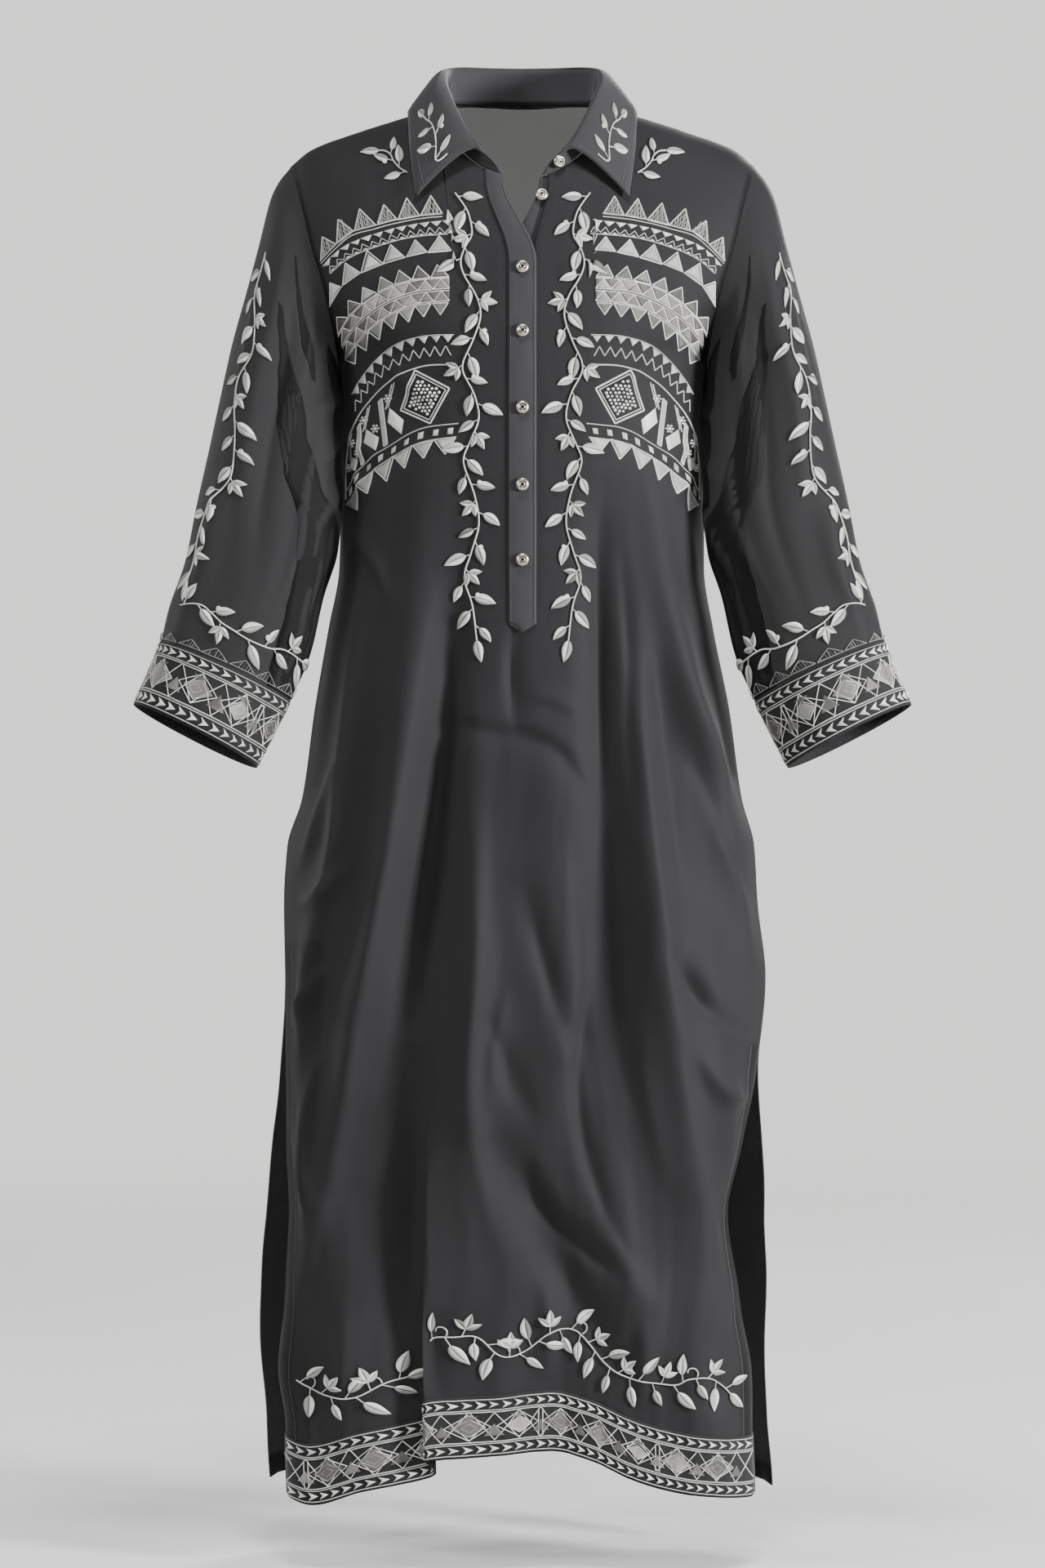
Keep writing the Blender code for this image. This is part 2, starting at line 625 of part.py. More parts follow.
def button(name, centre, normal, collection):
    """A shanked metal button: domed rim round a sunk middle, turned on its own axis."""
    points = [(across * BUTTON_RADIUS, 0, up * BUTTON_HEIGHT) for across, up in BUTTON_PROFILE]
    mesh = bpy.data.meshes.new(name)
    mesh.from_pydata(points, [(i, i + 1) for i in range(len(points) - 1)], [])
    made = add_object(name, mesh, "button_metal", collection)
    turn = made.modifiers.new("Turned", "SCREW")
    turn.steps = BUTTON_SIDES
    turn.render_steps = BUTTON_SIDES
    turn.use_merge_vertices = True
    turn.merge_threshold = 0.0001
    turn.use_smooth_shade = True
    made.location = centre
    made.rotation_mode = "QUATERNION"
    made.rotation_quaternion = Vector((0, 0, 1)).rotation_difference(Vector(np.asarray(normal).tolist()))
    return made


# ---------------------------------------------------------------------------------------------------
# Raised vines: leaves and a stem, joined flat and then laid on a sheet


class Leaf(NamedTuple):
    """A leaf on a stem: where along it, on which side (0 is its end), its lean and its size."""

    at: float
    side: int
    lean: float
    length: float
    width: float


def leaves_along(line, spacing, length, width, start, lean=0.95, side=1):
    """Leaves that alternate down both sides of a stem, uneven by a slow wave, and one at its end."""
    whole = np.linalg.norm(np.diff(line, axis=0), axis=1).sum()
    found = []
    at, count = start, 0
    while at < whole - spacing * 0.45:
        size = 1 + 0.14 * math.sin(1.7 * count)
        swing = 0.12 * math.sin(2.3 * count + 1.0)
        found.append(Leaf(at, side, lean + swing, length * size, width * size))
        at += spacing * (1 + 0.18 * math.sin(2.9 * count))
        side = -side
        count += 1
    found.append(Leaf(whole, 0, 0.0, length * 1.1, width * 1.05))
    return found


class VineShape:
    """A stem with its leaves as one closed shape in the flat: a leaf grows out of a wall of the stem."""

    def __init__(self, line, leaves):
        self.line = line
        self.run = np.r_[0, np.cumsum(np.linalg.norm(np.diff(line, axis=0), axis=1))]
        self.points = []
        self.faces = []
        grown = {}
        stations = [at for at in self.run if all(abs(at - leaf.at) > STEM_HALF * 2.5 for leaf in leaves)]
        for leaf in leaves:
            if leaf.side:
                stations += [leaf.at - STEM_HALF, leaf.at + STEM_HALF]
                grown[round(leaf.at - STEM_HALF, 6), leaf.side] = leaf
        stations = sorted({round(at, 6) for at in stations} | {round(self.run[-1], 6)})
        for at in stations:
            self.ring(at)
        last = len(stations) - 1
        self.faces.append((3, 2, 1, 0))
        for i, at in enumerate(stations[:-1]):
            a, b = 4 * i, 4 * i + 4
            self.faces.append((a, a + 1, b + 1, b))
            self.faces.append((a + 2, a + 3, b + 3, b + 2))
            for side, wall in ((1, (a, b, b + 3, a + 3)), (-1, (a + 1, b + 1, b + 2, a + 2))):
                leaf = grown.get((at, side))
                if leaf is None:
                    self.faces.append(wall)
                else:
                    self.grow(leaf, wall, side)
        end = next(leaf for leaf in leaves if leaf.side == 0)
        self.grow(end, (4 * last, 4 * last + 1, 4 * last + 2, 4 * last + 3), 1)

    def place(self, at):
        return np.array([np.interp(at, self.run, self.line[:, axis]) for axis in (0, 1)])

    def heading(self, at):
        ahead = self.place(min(at + 0.002, self.run[-1])) - self.place(max(at - 0.002, 0.0))
        return math.atan2(ahead[1], ahead[0])

    def ring(self, at):
        turn = self.heading(at)
        away = np.array([-math.sin(turn), math.cos(turn)]) * STEM_HALF
        for sign, height in ((1, 0.0), (-1, 0.0), (-1, 0.8), (1, 0.8)):
            self.points.append((*(self.place(at) + away * sign), VINE_HEIGHT * height))

    def grow(self, leaf, wall, side):
        """Grows a leaf from the four corners of a wall: near low, far low, far high, near high."""
        near_low, far_low, far_high, near_high = wall
        turn = self.heading(leaf.at) + leaf.side * leaf.lean
        forward = np.array([math.cos(turn), math.sin(turn)])
        across = np.array([-forward[1], forward[0]]) * side
        root = np.mean([self.points[i][:2] for i in wall], axis=0)
        rings = []
        for along, half in ((0.40, 0.42), (0.72, 0.32)):
            middle = root + forward * leaf.length * along
            first = len(self.points)
            self.points.append((*(middle + across * leaf.width * half), VINE_HEIGHT * 0.1))
            self.points.append((*(middle - across * leaf.width * half), VINE_HEIGHT * 0.1))
            self.points.append((*middle, VINE_HEIGHT))
            rings.append((first, first + 1, first + 2))
        self.points.append((*(root + forward * leaf.length), VINE_HEIGHT * 0.3))
        (near, far, ridge), (near_on, far_on, ridge_on) = rings
        tip = len(self.points) - 1
        self.faces += [
            (near_low, far_low, far, near),
            (far_low, far_high, far),
            (far_high, ridge, far),
            (far_high, near_high, ridge),
            (near_high, near, ridge),
            (near_high, near_low, near),
            (near, far, far_on, near_on),
            (far, ridge, ridge_on, far_on),
            (ridge, near, near_on, ridge_on),
            (near_on, far_on, tip),
            (far_on, ridge_on, tip),
            (ridge_on, near_on, tip),
        ]


def vine(name, line, leaves, onto, collection):
    """Lays a vine on the cloth."""
    shape = VineShape(line, leaves)
    flat = np.array(shape.points)
    placed = onto(flat[:, 0], flat[:, 1], flat[:, 2] + VINE_LIFT)
    mesh = bpy.data.meshes.new(name)
    mesh.from_pydata(placed.tolist(), [], shape.faces)
    builder = bmesh.new()
    builder.from_mesh(mesh)
    bmesh.ops.triangulate(builder, faces=builder.faces)
    bmesh.ops.recalc_face_normals(builder, faces=builder.faces)
    builder.to_mesh(mesh)
    builder.free()
    return add_object(name, mesh, "metal_thread", collection)


# Stems on the right side, as chosen points. Those of the front are its (x, z), the sleeve's are
# (distance down from the shoulder point, distance round from the outer edge), the collar's are
# (distance along its fold from the front end, distance out from the fold).
CHEST_STEM = (
    (-0.0560, -0.0810),
    (-0.0500, -0.0985),
    (-0.0500, -0.1180),
    (-0.0530, -0.1390),
    (-0.0450, -0.1620),
    (-0.0378, -0.1880),
    (-0.0425, -0.2110),
    (-0.0510, -0.2330),
    (-0.0410, -0.2550),
    (-0.0368, -0.2760),
    (-0.0445, -0.2960),
    (-0.0500, -0.3130),
    (-0.0410, -0.3390),
    (-0.0368, -0.3650),
    (-0.0435, -0.3900),
    (-0.0495, -0.4110),
    (-0.0425, -0.4340),
    (-0.0388, -0.4640),
)
HEM_STEM_RIGHT = (
    (-0.1930, -1.0985),
    (-0.1846, -1.1029),
    (-0.1680, -1.1098),
    (-0.1472, -1.1098),
    (-0.1292, -1.0981),
    (-0.1154, -1.0932),
)
HEM_STEM_LEFT = (
    (-0.0600, -1.0612),
    (-0.0552, -1.0586),
    (-0.0434, -1.0575),
    (-0.0289, -1.0572),
    (-0.0157, -1.0715),
    (-0.0067, -1.0740),
    (0.0051, -1.0690),
    (0.0140, -1.0621),
    (0.0230, -1.0545),
    (0.0348, -1.0517),
    (0.0486, -1.0566),
    (0.0694, -1.0808),
    (0.0853, -1.0912),
    (0.1040, -1.0960),
    (0.1296, -1.0995),
    (0.1407, -1.0945),
    (0.1545, -1.0939),
    (0.1663, -1.0995),
    (0.1745, -1.1090),
)
SLEEVE_STEM = (
    (0.0686, 0.0436),
    (0.0833, 0.0422),
    (0.1039, 0.0412),
    (0.1260, 0.0500),
    (0.1421, 0.0560),
    (0.1598, 0.0580),
    (0.1833, 0.0482),
    (0.2039, 0.0485),
    (0.2304, 0.0560),
    (0.2555, 0.0597),
    (0.2731, 0.0585),
    (0.2922, 0.0478),
    (0.3084, 0.0387),
    (0.3276, 0.0344),
    (0.3460, 0.0380),
    (0.3640, 0.0388),
)
CUFF_STEM = (
    (0.3870, 0.0400),
    (0.3830, 0.0569),
    (0.3875, 0.0682),
    (0.3925, 0.0780),
    (0.3950, 0.0871),
    (0.3980, 0.1010),
    (0.3980, 0.1195),
    (0.3950, 0.1342),
    (0.3970, 0.1540),
)
COLLAR_STEM = (
    (0.0075, 0.0270),
    (0.0078, 0.0330),
    (0.0120, 0.0352),
    (0.0187, 0.0328),
    (0.0300, 0.0301),
    (0.0440, 0.0297),
    (0.0560, 0.0335),
)
SHOULDER_STEM = (
    (-0.0985, -0.0618),
    (-0.1053, -0.0573),
    (-0.1110, -0.0500),
    (-0.1133, -0.0446),
    (-0.1180, -0.0408),
    (-0.1237, -0.0401),
)

# How leaves grow on each stem: the distance between them, their length and width, and where they start.
CHEST_LEAVES = (0.0125, 0.0190, 0.0098, 0.006)
SHOULDER_LEAVES = (0.0085, 0.0170, 0.0088, 0.004)
HEM_LEAVES = (0.0150, 0.0180, 0.0092, 0.004)
SLEEVE_LEAVES = (0.0150, 0.0180, 0.0092, 0.006)
CUFF_LEAVES = (0.0150, 0.0160, 0.0085, 0.008)
COLLAR_LEAVES = (0.0085, 0.0125, 0.0066, 0.009)


def mirrored(points):
    return tuple((-x, z) for x, z in points)


# ---------------------------------------------------------------------------------------------------
# Building


def front_columns():
    """Columns of the front, closer together where the cloth laps and beside the slot."""
    side = np.linspace(-0.95, -0.60, 7)
    lapped = np.linspace(-0.54, -0.25, 10)
    beside_slot = np.linspace(-0.18, -SLOT_XI, 3)
    right = np.r_[-1, side, lapped, beside_slot]
    left = np.r_[np.linspace(SLOT_XI, 0.88, 14), (0.95, 1.0)]
    return np.r_[right, left]


def make_front(panel, collection):
    slot = int(np.argmin(np.abs(panel.columns + SLOT_XI)))
    slot_row = int(np.ceil(panel.place(0.0, PLACKET_END_Z + SLOT_ABOVE_PLACKET_END)[0]))

    def in_slot(row, col):
        return col == slot and row >= slot_row

    return cloth("front", panel.points, (0, -1, 0), "georgette", collection, skip=in_slot)


def make_back(panel, collection):
    return cloth("back", panel.points, (0, 1, 0), "georgette", collection)


def make_hem_band(panel, collection):
    """The border strip on the front hem, on the panel's own columns."""
    row = np.array([HEM_BAND_INSET / HEM_BAND_HEIGHT, 1.0])
    col, row = np.meshgrid(np.arange(float(len(panel.columns))), row)
    points = panel.lay(row, col, np.full(row.shape, SEAM_GAP))
    return cloth("hem_band", points, (0, -1, 0), "border_cloth", collection, inward=False)


def make_sleeve(side, collection):
    """One sleeve with its cuff band. The left one mirrors the right one."""
    columns = np.linspace(0, 2 * math.pi, SLEEVE_SIDES + 1)[:-1]
    rows = np.r_[np.linspace(0, 0.30, 5), np.linspace(0.38, CUFF_BAND_STATION, 7), 1.0]
    points = sleeve_sheet(columns, rows)
    mirror = np.array([1.0 if side == "right" else -1.0, 1, 1])
    cloth(f"sleeve_{side}", points * mirror, None, "georgette", collection, closed=True, inward=False)
    return Sleeve(points, rows, columns, mirror)


class Sleeve:
    """The right sleeve's coarse grid, closed round, for what is laid on it."""

    def __init__(self, points, rows, columns, mirror):
        looped = np.concatenate([points, points[:, :1]], 1)
        self.sheet = Sheet(looped, (0, 0, 1))
        middle = looped.mean(1, keepdims=True)
        if ((looped - middle) * self.sheet.normals).sum() < 0:
            self.sheet.normals = -self.sheet.normals
        closing = (self.sheet.normals[:, 0] + self.sheet.normals[:, -1]) / 2
        self.sheet.normals[:, 0] = self.sheet.normals[:, -1] = closing
        self.mirror = mirror
        self.run = np.r_[0, np.cumsum(np.linalg.norm(np.diff(points[:, 2], axis=0), axis=1))]
        self.round = np.linalg.norm(np.diff(looped, axis=1), axis=2).sum(1)

    def on(self, down, around, out):
        row = np.interp(down, self.run, np.arange(len(self.run)))
        girth = np.interp(down, self.run, self.round)
        col = (around / girth % 1.0) * (self.sheet.points.shape[1] - 1)
        return self.sheet.lay(row, col, out + WALL) * self.mirror


def make_cuff_band(side, sleeve, collection):
    """The border strip round the sleeve's end."""
    rows = sleeve.sheet.points.shape[0]
    row = np.array([rows - 2 + 0.01, rows - 1 - 0.01])
    cols = np.arange(sleeve.sheet.points.shape[1] - 1)
    col, row = np.meshgrid(cols.astype(float), row)
    points = sleeve.sheet.lay(row, col, np.full(row.shape, WALL + SEAM_GAP + 0.0002)) * sleeve.mirror
    return cloth(f"cuff_band_{side}", points, None, "border_cloth", collection, closed=True, inward=False)


def stand_curves(front, back, across):
    """Base and top of the collar's stand at stations from -1, the middle of the back, over 0, its right
    front end. The base follows the panels' necklines."""
    share = np.abs(across)
    side = np.sign(across)
    first = math.asin(STAND_FRONT_X / NECK_HALF)
    forward = share < STAND_SIDE_SHARE
    turn = np.where(
        forward,
        first + (math.pi / 2 - first) * share / STAND_SIDE_SHARE,
        math.pi / 2 * (1 - share) / (1 - STAND_SIDE_SHARE),
    )
    x = NECK_HALF * np.sin(turn) * side
    on_front = front.on(x, neckline_z("front", x), 0.0)
    on_back = back.on(x, neckline_z("back", x), 0.0)
    base = np.where(forward[:, None], on_front, on_back)
    top = np.stack([column(STAND_TOP, axis, share) for axis in "xyz"], -1)
    top[:, 0] *= side
    return base, top


def stand_end_round(across, share):
    """How far the stand's ends bow out past straight, towards the middle of the neck."""
    near = 1 - blend(0.0, STAND_END_REACH, np.abs(across))
    return np.sign(across) * STAND_END_ROUND * near * 4 * share * (1 - share)


def stand_stations(count):
    """Stations round the stand, from its right front end over the back to its left front end."""
    half = np.linspace(0.002, 1, count)
    return np.r_[-half, half[-2::-1]]


def make_stand(front, back, collection):
    base, top = stand_curves(front, back, stand_stations(14))
    share = np.array([0.03, 0.5, 1.0])[:, None, None]
    points = base + (top - base) * share
    points[..., 0] -= stand_end_round(stand_stations(14), share[..., 0])
    cloth("collar_stand", points, (0, 1, 0), "collar_cloth", collection, wall=COLLAR_WALL)
    return points


def leaf_grid(front, back, across, shares):
    """The collar leaf: out of the stand's top, over, and down to its edge near the panels."""
    _, top = stand_curves(front, back, across)
    share = np.abs(across)
    side = np.sign(across)
    x = column(LEAF_EDGE, "x", share) * side
    z = column(LEAF_EDGE, "z", share)
    clear = column(LEAF_EDGE, "clear", share)
    on_front = front.on(x, z, clear + WALL)
    on_back = back.on(x, z, clear + WALL)
    to_back = blend(0.50, 0.66, share)[:, None]
    edge = on_front * (1 - to_back) + on_back * to_back
    edge[:, 2] = np.maximum(edge[:, 2], z - 0.004)
    away = edge - top
    away[:, 2] = 0
    away /= np.linalg.norm(away, axis=1, keepdims=True)
    start = top + away * 0.0022 + np.array([0, 0, 0.0012])
    over = start + away * 0.012 + np.array([0, 0, 0.0015])
    w = np.asarray(shares)[:, None, None]
    return start * (1 - w) ** 2 + over * 2 * w * (1 - w) + edge * w**2


def make_leaf(front, back, collection):
    points = leaf_grid(front, back, stand_stations(16), np.linspace(0, 1, 5))
    cloth("collar_leaf", points, (0, 0, 1), "collar_cloth", collection, wall=COLLAR_WALL)
    return points


def placket_edges(z, over):
    """Right and left edges of a placket strip at height z."""
    open_share = blend(SPLAY_Z, NECK_FRONT_Z, z)
    right, left = NECK_SHIFT["over" if over else "under"]
    return -PLACKET_HALF + right * open_share, PLACKET_HALF + left * open_share


def make_placket(name, front, over, collection):
    """A placket strip on the front. The over one lies outside and ends in a point."""
    z = np.r_[np.linspace(NECK_FRONT_Z - 0.002, SPLAY_Z, 6), np.linspace(-0.165, PLACKET_END_Z, 13)]
    right, left = placket_edges(z, over)
    share = np.linspace(0, 1, 4)[:, None]
    x = right + (left - right) * share
    heights = np.broadcast_to(z, x.shape).copy()
    if over:
        tip = 1 - np.abs(share[:, 0] * 2 - 1)
        heights[:, -1] = PLACKET_END_Z - (PLACKET_END_Z - PLACKET_TIP_Z) * tip
    out = PLACKET_OUT["over" if over else "under"]
    points = front.on(x, heights, np.full(x.shape, out))
    return cloth(name, points, (0, -1, 0), "collar_cloth", collection, inward=not over)


# The step out of a surface by which its normal is read.
UNIT = 0.01


def make_buttons(front, stand, collection):
    """Five fastened down the placket, one undone on the under placket and one on the stand's left end."""
    places = [(0.0, z, BUTTON_SEAT["fastened"]) for z in FASTENED_Z]
    places.append((*UNDONE_PLACE, BUTTON_SEAT["undone"]))
    for number, (x, z, out) in enumerate(places, start=1):
        seat, above = front.on(np.full(2, x), np.full(2, z), np.array([out, out + UNIT]))
        button(f"button_{number}", seat, (above - seat) / UNIT, collection)
    sheet = Sheet(stand, (0, 1, 0))
    row, from_end = STAND_BUTTON
    col = stand.shape[1] - 1 - from_end
    seat, above = sheet.lay(np.full(2, row), np.full(2, col), BUTTON_SEAT["stand"] + np.array([0, UNIT]))
    button(f"button_{len(places) + 1}", seat, (above - seat) / UNIT, collection)


def make_collar_vines(leaf, collection):
    """A vine down the front of each half of the collar leaf."""
    sheet = Sheet(leaf, (0, 0, 1))
    last = leaf.shape[1] - 1
    run = np.r_[0, np.cumsum(np.linalg.norm(np.diff(leaf[-1], axis=0), axis=1))]
    reach = np.linalg.norm(leaf[-1] - leaf[0], axis=1).mean()
    for side in ("right", "left"):
        line = through(COLLAR_STEM, 2)
        leaves = leaves_along(line, *COLLAR_LEAVES, side=-1)

        def onto(along, down, out, side=side):
            col = np.interp(along, run, np.arange(len(run)))
            col = col if side == "right" else last - col
            return sheet.lay(down / reach * (leaf.shape[0] - 1), col, out)

        vine(f"vine_collar_{side}", line, leaves, onto, collection)


def make_body_vines(front, collection):
    """The vines beside the placket, on the shoulders and above the hem border."""

    def above_border(x, z, out):
        return front.on(x, z, out + HEM_VINE_EXTRA)

    for side in ("right", "left"):
        first = -1 if side == "right" else 1
        chest = CHEST_STEM if side == "right" else mirrored(CHEST_STEM)
        line = through(chest, 2)
        vine(f"vine_chest_{side}", line, leaves_along(line, *CHEST_LEAVES, side=first), front.on, collection)
        shoulder = SHOULDER_STEM if side == "right" else mirrored(SHOULDER_STEM)
        line = through(shoulder, 3)
        leaves = leaves_along(line, *SHOULDER_LEAVES, side=first)
        vine(f"vine_shoulder_{side}", line, leaves, front.on, collection)
    for side, stem in (("right", HEM_STEM_RIGHT), ("left", HEM_STEM_LEFT)):
        line = through(stem, 2)
        leaves = leaves_along(line, *HEM_LEAVES)
        vine(f"vine_hem_{side}", line, leaves, above_border, collection)


def clear_scene():
    for item in list(bpy.data.objects):
        bpy.data.objects.remove(item)


def main():
    clear_scene()
    collection = bpy.data.collections.new("kurta_tunic")
    bpy.context.scene.collection.children.link(collection)
    front = Panel("front", front_columns(), FRONT_FOLDS)
    shut_front = Panel("front", front_columns(), FRONT_FOLDS, splayed=False)
    back = Panel("back", np.r_[-1, -0.95, np.linspace(-0.86, 0.86, 21), 0.95, 1], BACK_FOLDS)
    make_front(front, collection)
    make_back(back, collection)
    make_hem_band(front, collection)
    make_placket("placket_over", shut_front, True, collection)
    make_placket("placket_under", shut_front, False, collection)
    stand = make_stand(front, back, collection)
    leaf = make_leaf(front, back, collection)
    make_buttons(front, stand, collection)
    make_collar_vines(leaf, collection)
    make_body_vines(front, collection)
    for side in ("right", "left"):
        sleeve = make_sleeve(side, collection)
        make_cuff_band(side, sleeve, collection)
        line = through(SLEEVE_STEM, 2)
        leaves = leaves_along(line, *SLEEVE_LEAVES)
        vine(f"vine_sleeve_{side}", line, leaves, sleeve.on, collection)
        line = through(CUFF_STEM, 2)
        leaves = leaves_along(line, *CUFF_LEAVES)
        vine(f"vine_cuff_{side}", line, leaves, sleeve.on, collection)


main()
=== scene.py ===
"""The looks of a long kurta tunic: sheer georgette, silver metal-thread embroidery and antiqued buttons.

Every soft piece repeats the form of its construction solid from the same named sizes, on a finer grid
and with its smaller creases, and replaces that solid. Embroidery is drawn flat, in metres, and then laid
on the cloth along its normals. Right and left are the wearer's: right is -X and the front faces -Y.
"""

import logging
import math
from collections.abc import Callable, Sequence
from dataclasses import dataclass, field
from enum import Enum
from typing import NamedTuple

import bmesh
import bpy
import numpy as np
from mathutils import Matrix, Vector

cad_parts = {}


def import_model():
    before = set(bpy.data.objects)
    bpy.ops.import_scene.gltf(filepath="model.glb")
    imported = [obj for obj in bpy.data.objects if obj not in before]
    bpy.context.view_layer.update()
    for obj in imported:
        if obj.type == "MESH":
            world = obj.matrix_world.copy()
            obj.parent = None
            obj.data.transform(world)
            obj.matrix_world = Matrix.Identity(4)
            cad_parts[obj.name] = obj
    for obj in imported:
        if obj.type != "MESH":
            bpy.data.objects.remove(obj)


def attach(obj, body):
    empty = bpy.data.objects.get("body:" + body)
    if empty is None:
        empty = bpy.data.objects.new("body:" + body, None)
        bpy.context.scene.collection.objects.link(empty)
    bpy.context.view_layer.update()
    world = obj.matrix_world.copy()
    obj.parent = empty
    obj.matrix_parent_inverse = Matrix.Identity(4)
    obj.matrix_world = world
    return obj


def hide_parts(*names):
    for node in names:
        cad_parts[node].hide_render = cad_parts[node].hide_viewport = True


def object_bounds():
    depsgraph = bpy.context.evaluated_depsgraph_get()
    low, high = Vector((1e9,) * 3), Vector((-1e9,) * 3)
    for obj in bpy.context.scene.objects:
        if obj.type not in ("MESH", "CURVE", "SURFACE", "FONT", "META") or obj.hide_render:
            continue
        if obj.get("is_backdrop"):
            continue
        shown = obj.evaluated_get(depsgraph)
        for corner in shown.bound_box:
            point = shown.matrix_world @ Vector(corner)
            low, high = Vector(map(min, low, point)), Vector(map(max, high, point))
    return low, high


LOG = logging.getLogger("kurta")
Array = np.ndarray
Object = bpy.types.Object
Material = bpy.types.Material
Socket = bpy.types.NodeSocket
Points = Array | Sequence[Sequence[float]]
Lay = Callable[[Array, Array, Array], Array]

# ---------------------------------------------------------------------------------------------------
# Sizes, in metres

CLOTH = 0.0005
COLLAR_CLOTH = 0.0014

SHOULDER_Z = -0.046
UNDERARM_Z = -0.2145
PLACKET_END_Z = -0.450
PLACKET_TIP_Z = -0.4573
SPLAY_Z = -0.142

NECK_HALF = 0.070
NECK_SIDE_Z = 0.006
NECK_MIDDLE_Z = {"front": -0.0680, "back": 0.016}
ARMHOLE = {"front": 0.070, "back": 0.072}
ARMHOLE_ROUND = 0.024
SEAM_HALF_GAP = 0.0001
SLIT_TOP_Z = -0.725
# Half of a panel's flat width on the charts of its border and stitches, and the height of a row there.
CHART_HALF = 0.2
CHART_ROW = 0.0049
SKIRT_ROW = 0.00485

PLACKET_HALF = 0.0118
OVER_OUT = 0.0008
UNDER_OUT = -0.0026
SLOT_XI = 0.046
PLACKET_SPLAY = 0.0125
SPLAY_FADE = 2.6
HEM_BAND_HEIGHT = 0.053
CUFF_BAND_STATION = 10 / 11
SLEEVE_FACE = 0.0010
SLEEVE_RADIUS = 0.052
SLEEVE_RUN = 0.53
BUTTON_RADIUS = 0.0057


class Side(Enum):
    """A side of the garment, as the wearer's."""

    RIGHT = "right"
    LEFT = "left"

    @property
    def sign(self) -> float:
        return -1.0 if self is Side.RIGHT else 1.0


def path(*numbers: float) -> Array:
    """Points from pairs of numbers in millimetres."""
    return np.array(numbers, float).reshape(-1, 2) / 1000


def table(columns: str, *rows: Sequence[float]) -> dict[str, Array]:
    """Rows of numbers as a dict of named columns."""
    return dict(zip(columns.split(), np.array(rows, float).T))


class Crease(NamedTuple):
    """A small fold: its height, its width on either side, and its line down the cloth."""

    height: float
    before: float
    after: float
    line: Array


def crease(height: float, before: float, after: float, *line: float) -> Crease:
    """A crease from its sizes in millimetres."""
    return Crease(height / 1000, before / 1000, after / 1000, path(*line))


# Half widths and depths of the body. Above the underarm the half width is the armhole's.
BODY = table(
    "z       front_right front_left back_right back_left front_depth back_depth slit",
    (-1.210, 0.2035, 0.1990, 0.2220, 0.2190, 0.118, 0.132, 0.032),
    (-1.140, 0.2060, 0.2000, 0.2260, 0.2160, 0.119, 0.133, 0.031),
    (-1.095, 0.2110, 0.1990, 0.2290, 0.2135, 0.120, 0.133, 0.030),
    (-1.040, 0.2080, 0.1900, 0.2320, 0.2150, 0.121, 0.132, 0.028),
    (-0.960, 0.2060, 0.1815, 0.2280, 0.2150, 0.123, 0.131, 0.023),
    (-0.900, 0.2060, 0.1930, 0.2200, 0.2110, 0.124, 0.130, 0.016),
    (-0.840, 0.2070, 0.2040, 0.2130, 0.2060, 0.125, 0.128, 0.007),
    (-0.755, 0.2080, 0.2130, 0.2080, 0.2130, 0.125, 0.125, 0.000),
    (-0.690, 0.2090, 0.2060, 0.2090, 0.2060, 0.124, 0.122, 0.000),
    (-0.640, 0.2060, 0.2030, 0.2060, 0.2030, 0.123, 0.118, 0.000),
    (-0.598, 0.1930, 0.1920, 0.1930, 0.1920, 0.122, 0.114, 0.000),
    (-0.520, 0.1820, 0.1810, 0.1820, 0.1810, 0.120, 0.104, 0.000),
    (-0.450, 0.1700, 0.1670, 0.1700, 0.1670, 0.118, 0.094, 0.000),
    (-0.396, 0.1605, 0.1590, 0.1605, 0.1590, 0.119, 0.089, 0.000),
    (-0.300, 0.1585, 0.1590, 0.1585, 0.1590, 0.122, 0.092, 0.000),
    (-0.2145, 0.1620, 0.1620, 0.1620, 0.1620, 0.121, 0.099, 0.000),
    (-0.165, 0.1700, 0.1700, 0.1700, 0.1700, 0.118, 0.102, 0.000),
    (-0.125, 0.1820, 0.1820, 0.1820, 0.1820, 0.117, 0.102, 0.000),
    (-0.075, 0.1945, 0.1945, 0.1945, 0.1945, 0.117, 0.102, 0.000),
    (-0.046, 0.2030, 0.2030, 0.2030, 0.2030, 0.117, 0.102, 0.000),
)

# How far the slits of each side stay shut below their tops, and how round a panel is across.
SLIT_SHUT = {"right": 0.0, "left": 0.085}
ROUNDNESS = {"front": 2.2, "back": 2.3}
# Above the underarm the panel turns flatter across, by this power, within this height.
YOKE_POWER = 0.75
YOKE_BLEND = 0.08
# From and to these heights the hem's push sets in.
PUSHED_Z = (-0.72, -1.20)

# Height of the shoulder line, carried on over the neck, where the neckline cuts it away.
SHOULDER_LINE = table(
    "x     front  back",
    (0.000, 0.0150, 0.0600),
    (0.035, 0.0130, 0.0400),
    (0.070, 0.0060, 0.0060),
    (0.092, 0.0000, 0.0000),
    (0.143, -0.0160, -0.0160),
    (0.184, -0.0310, -0.0310),
    (0.203, -0.0460, -0.0460),
)

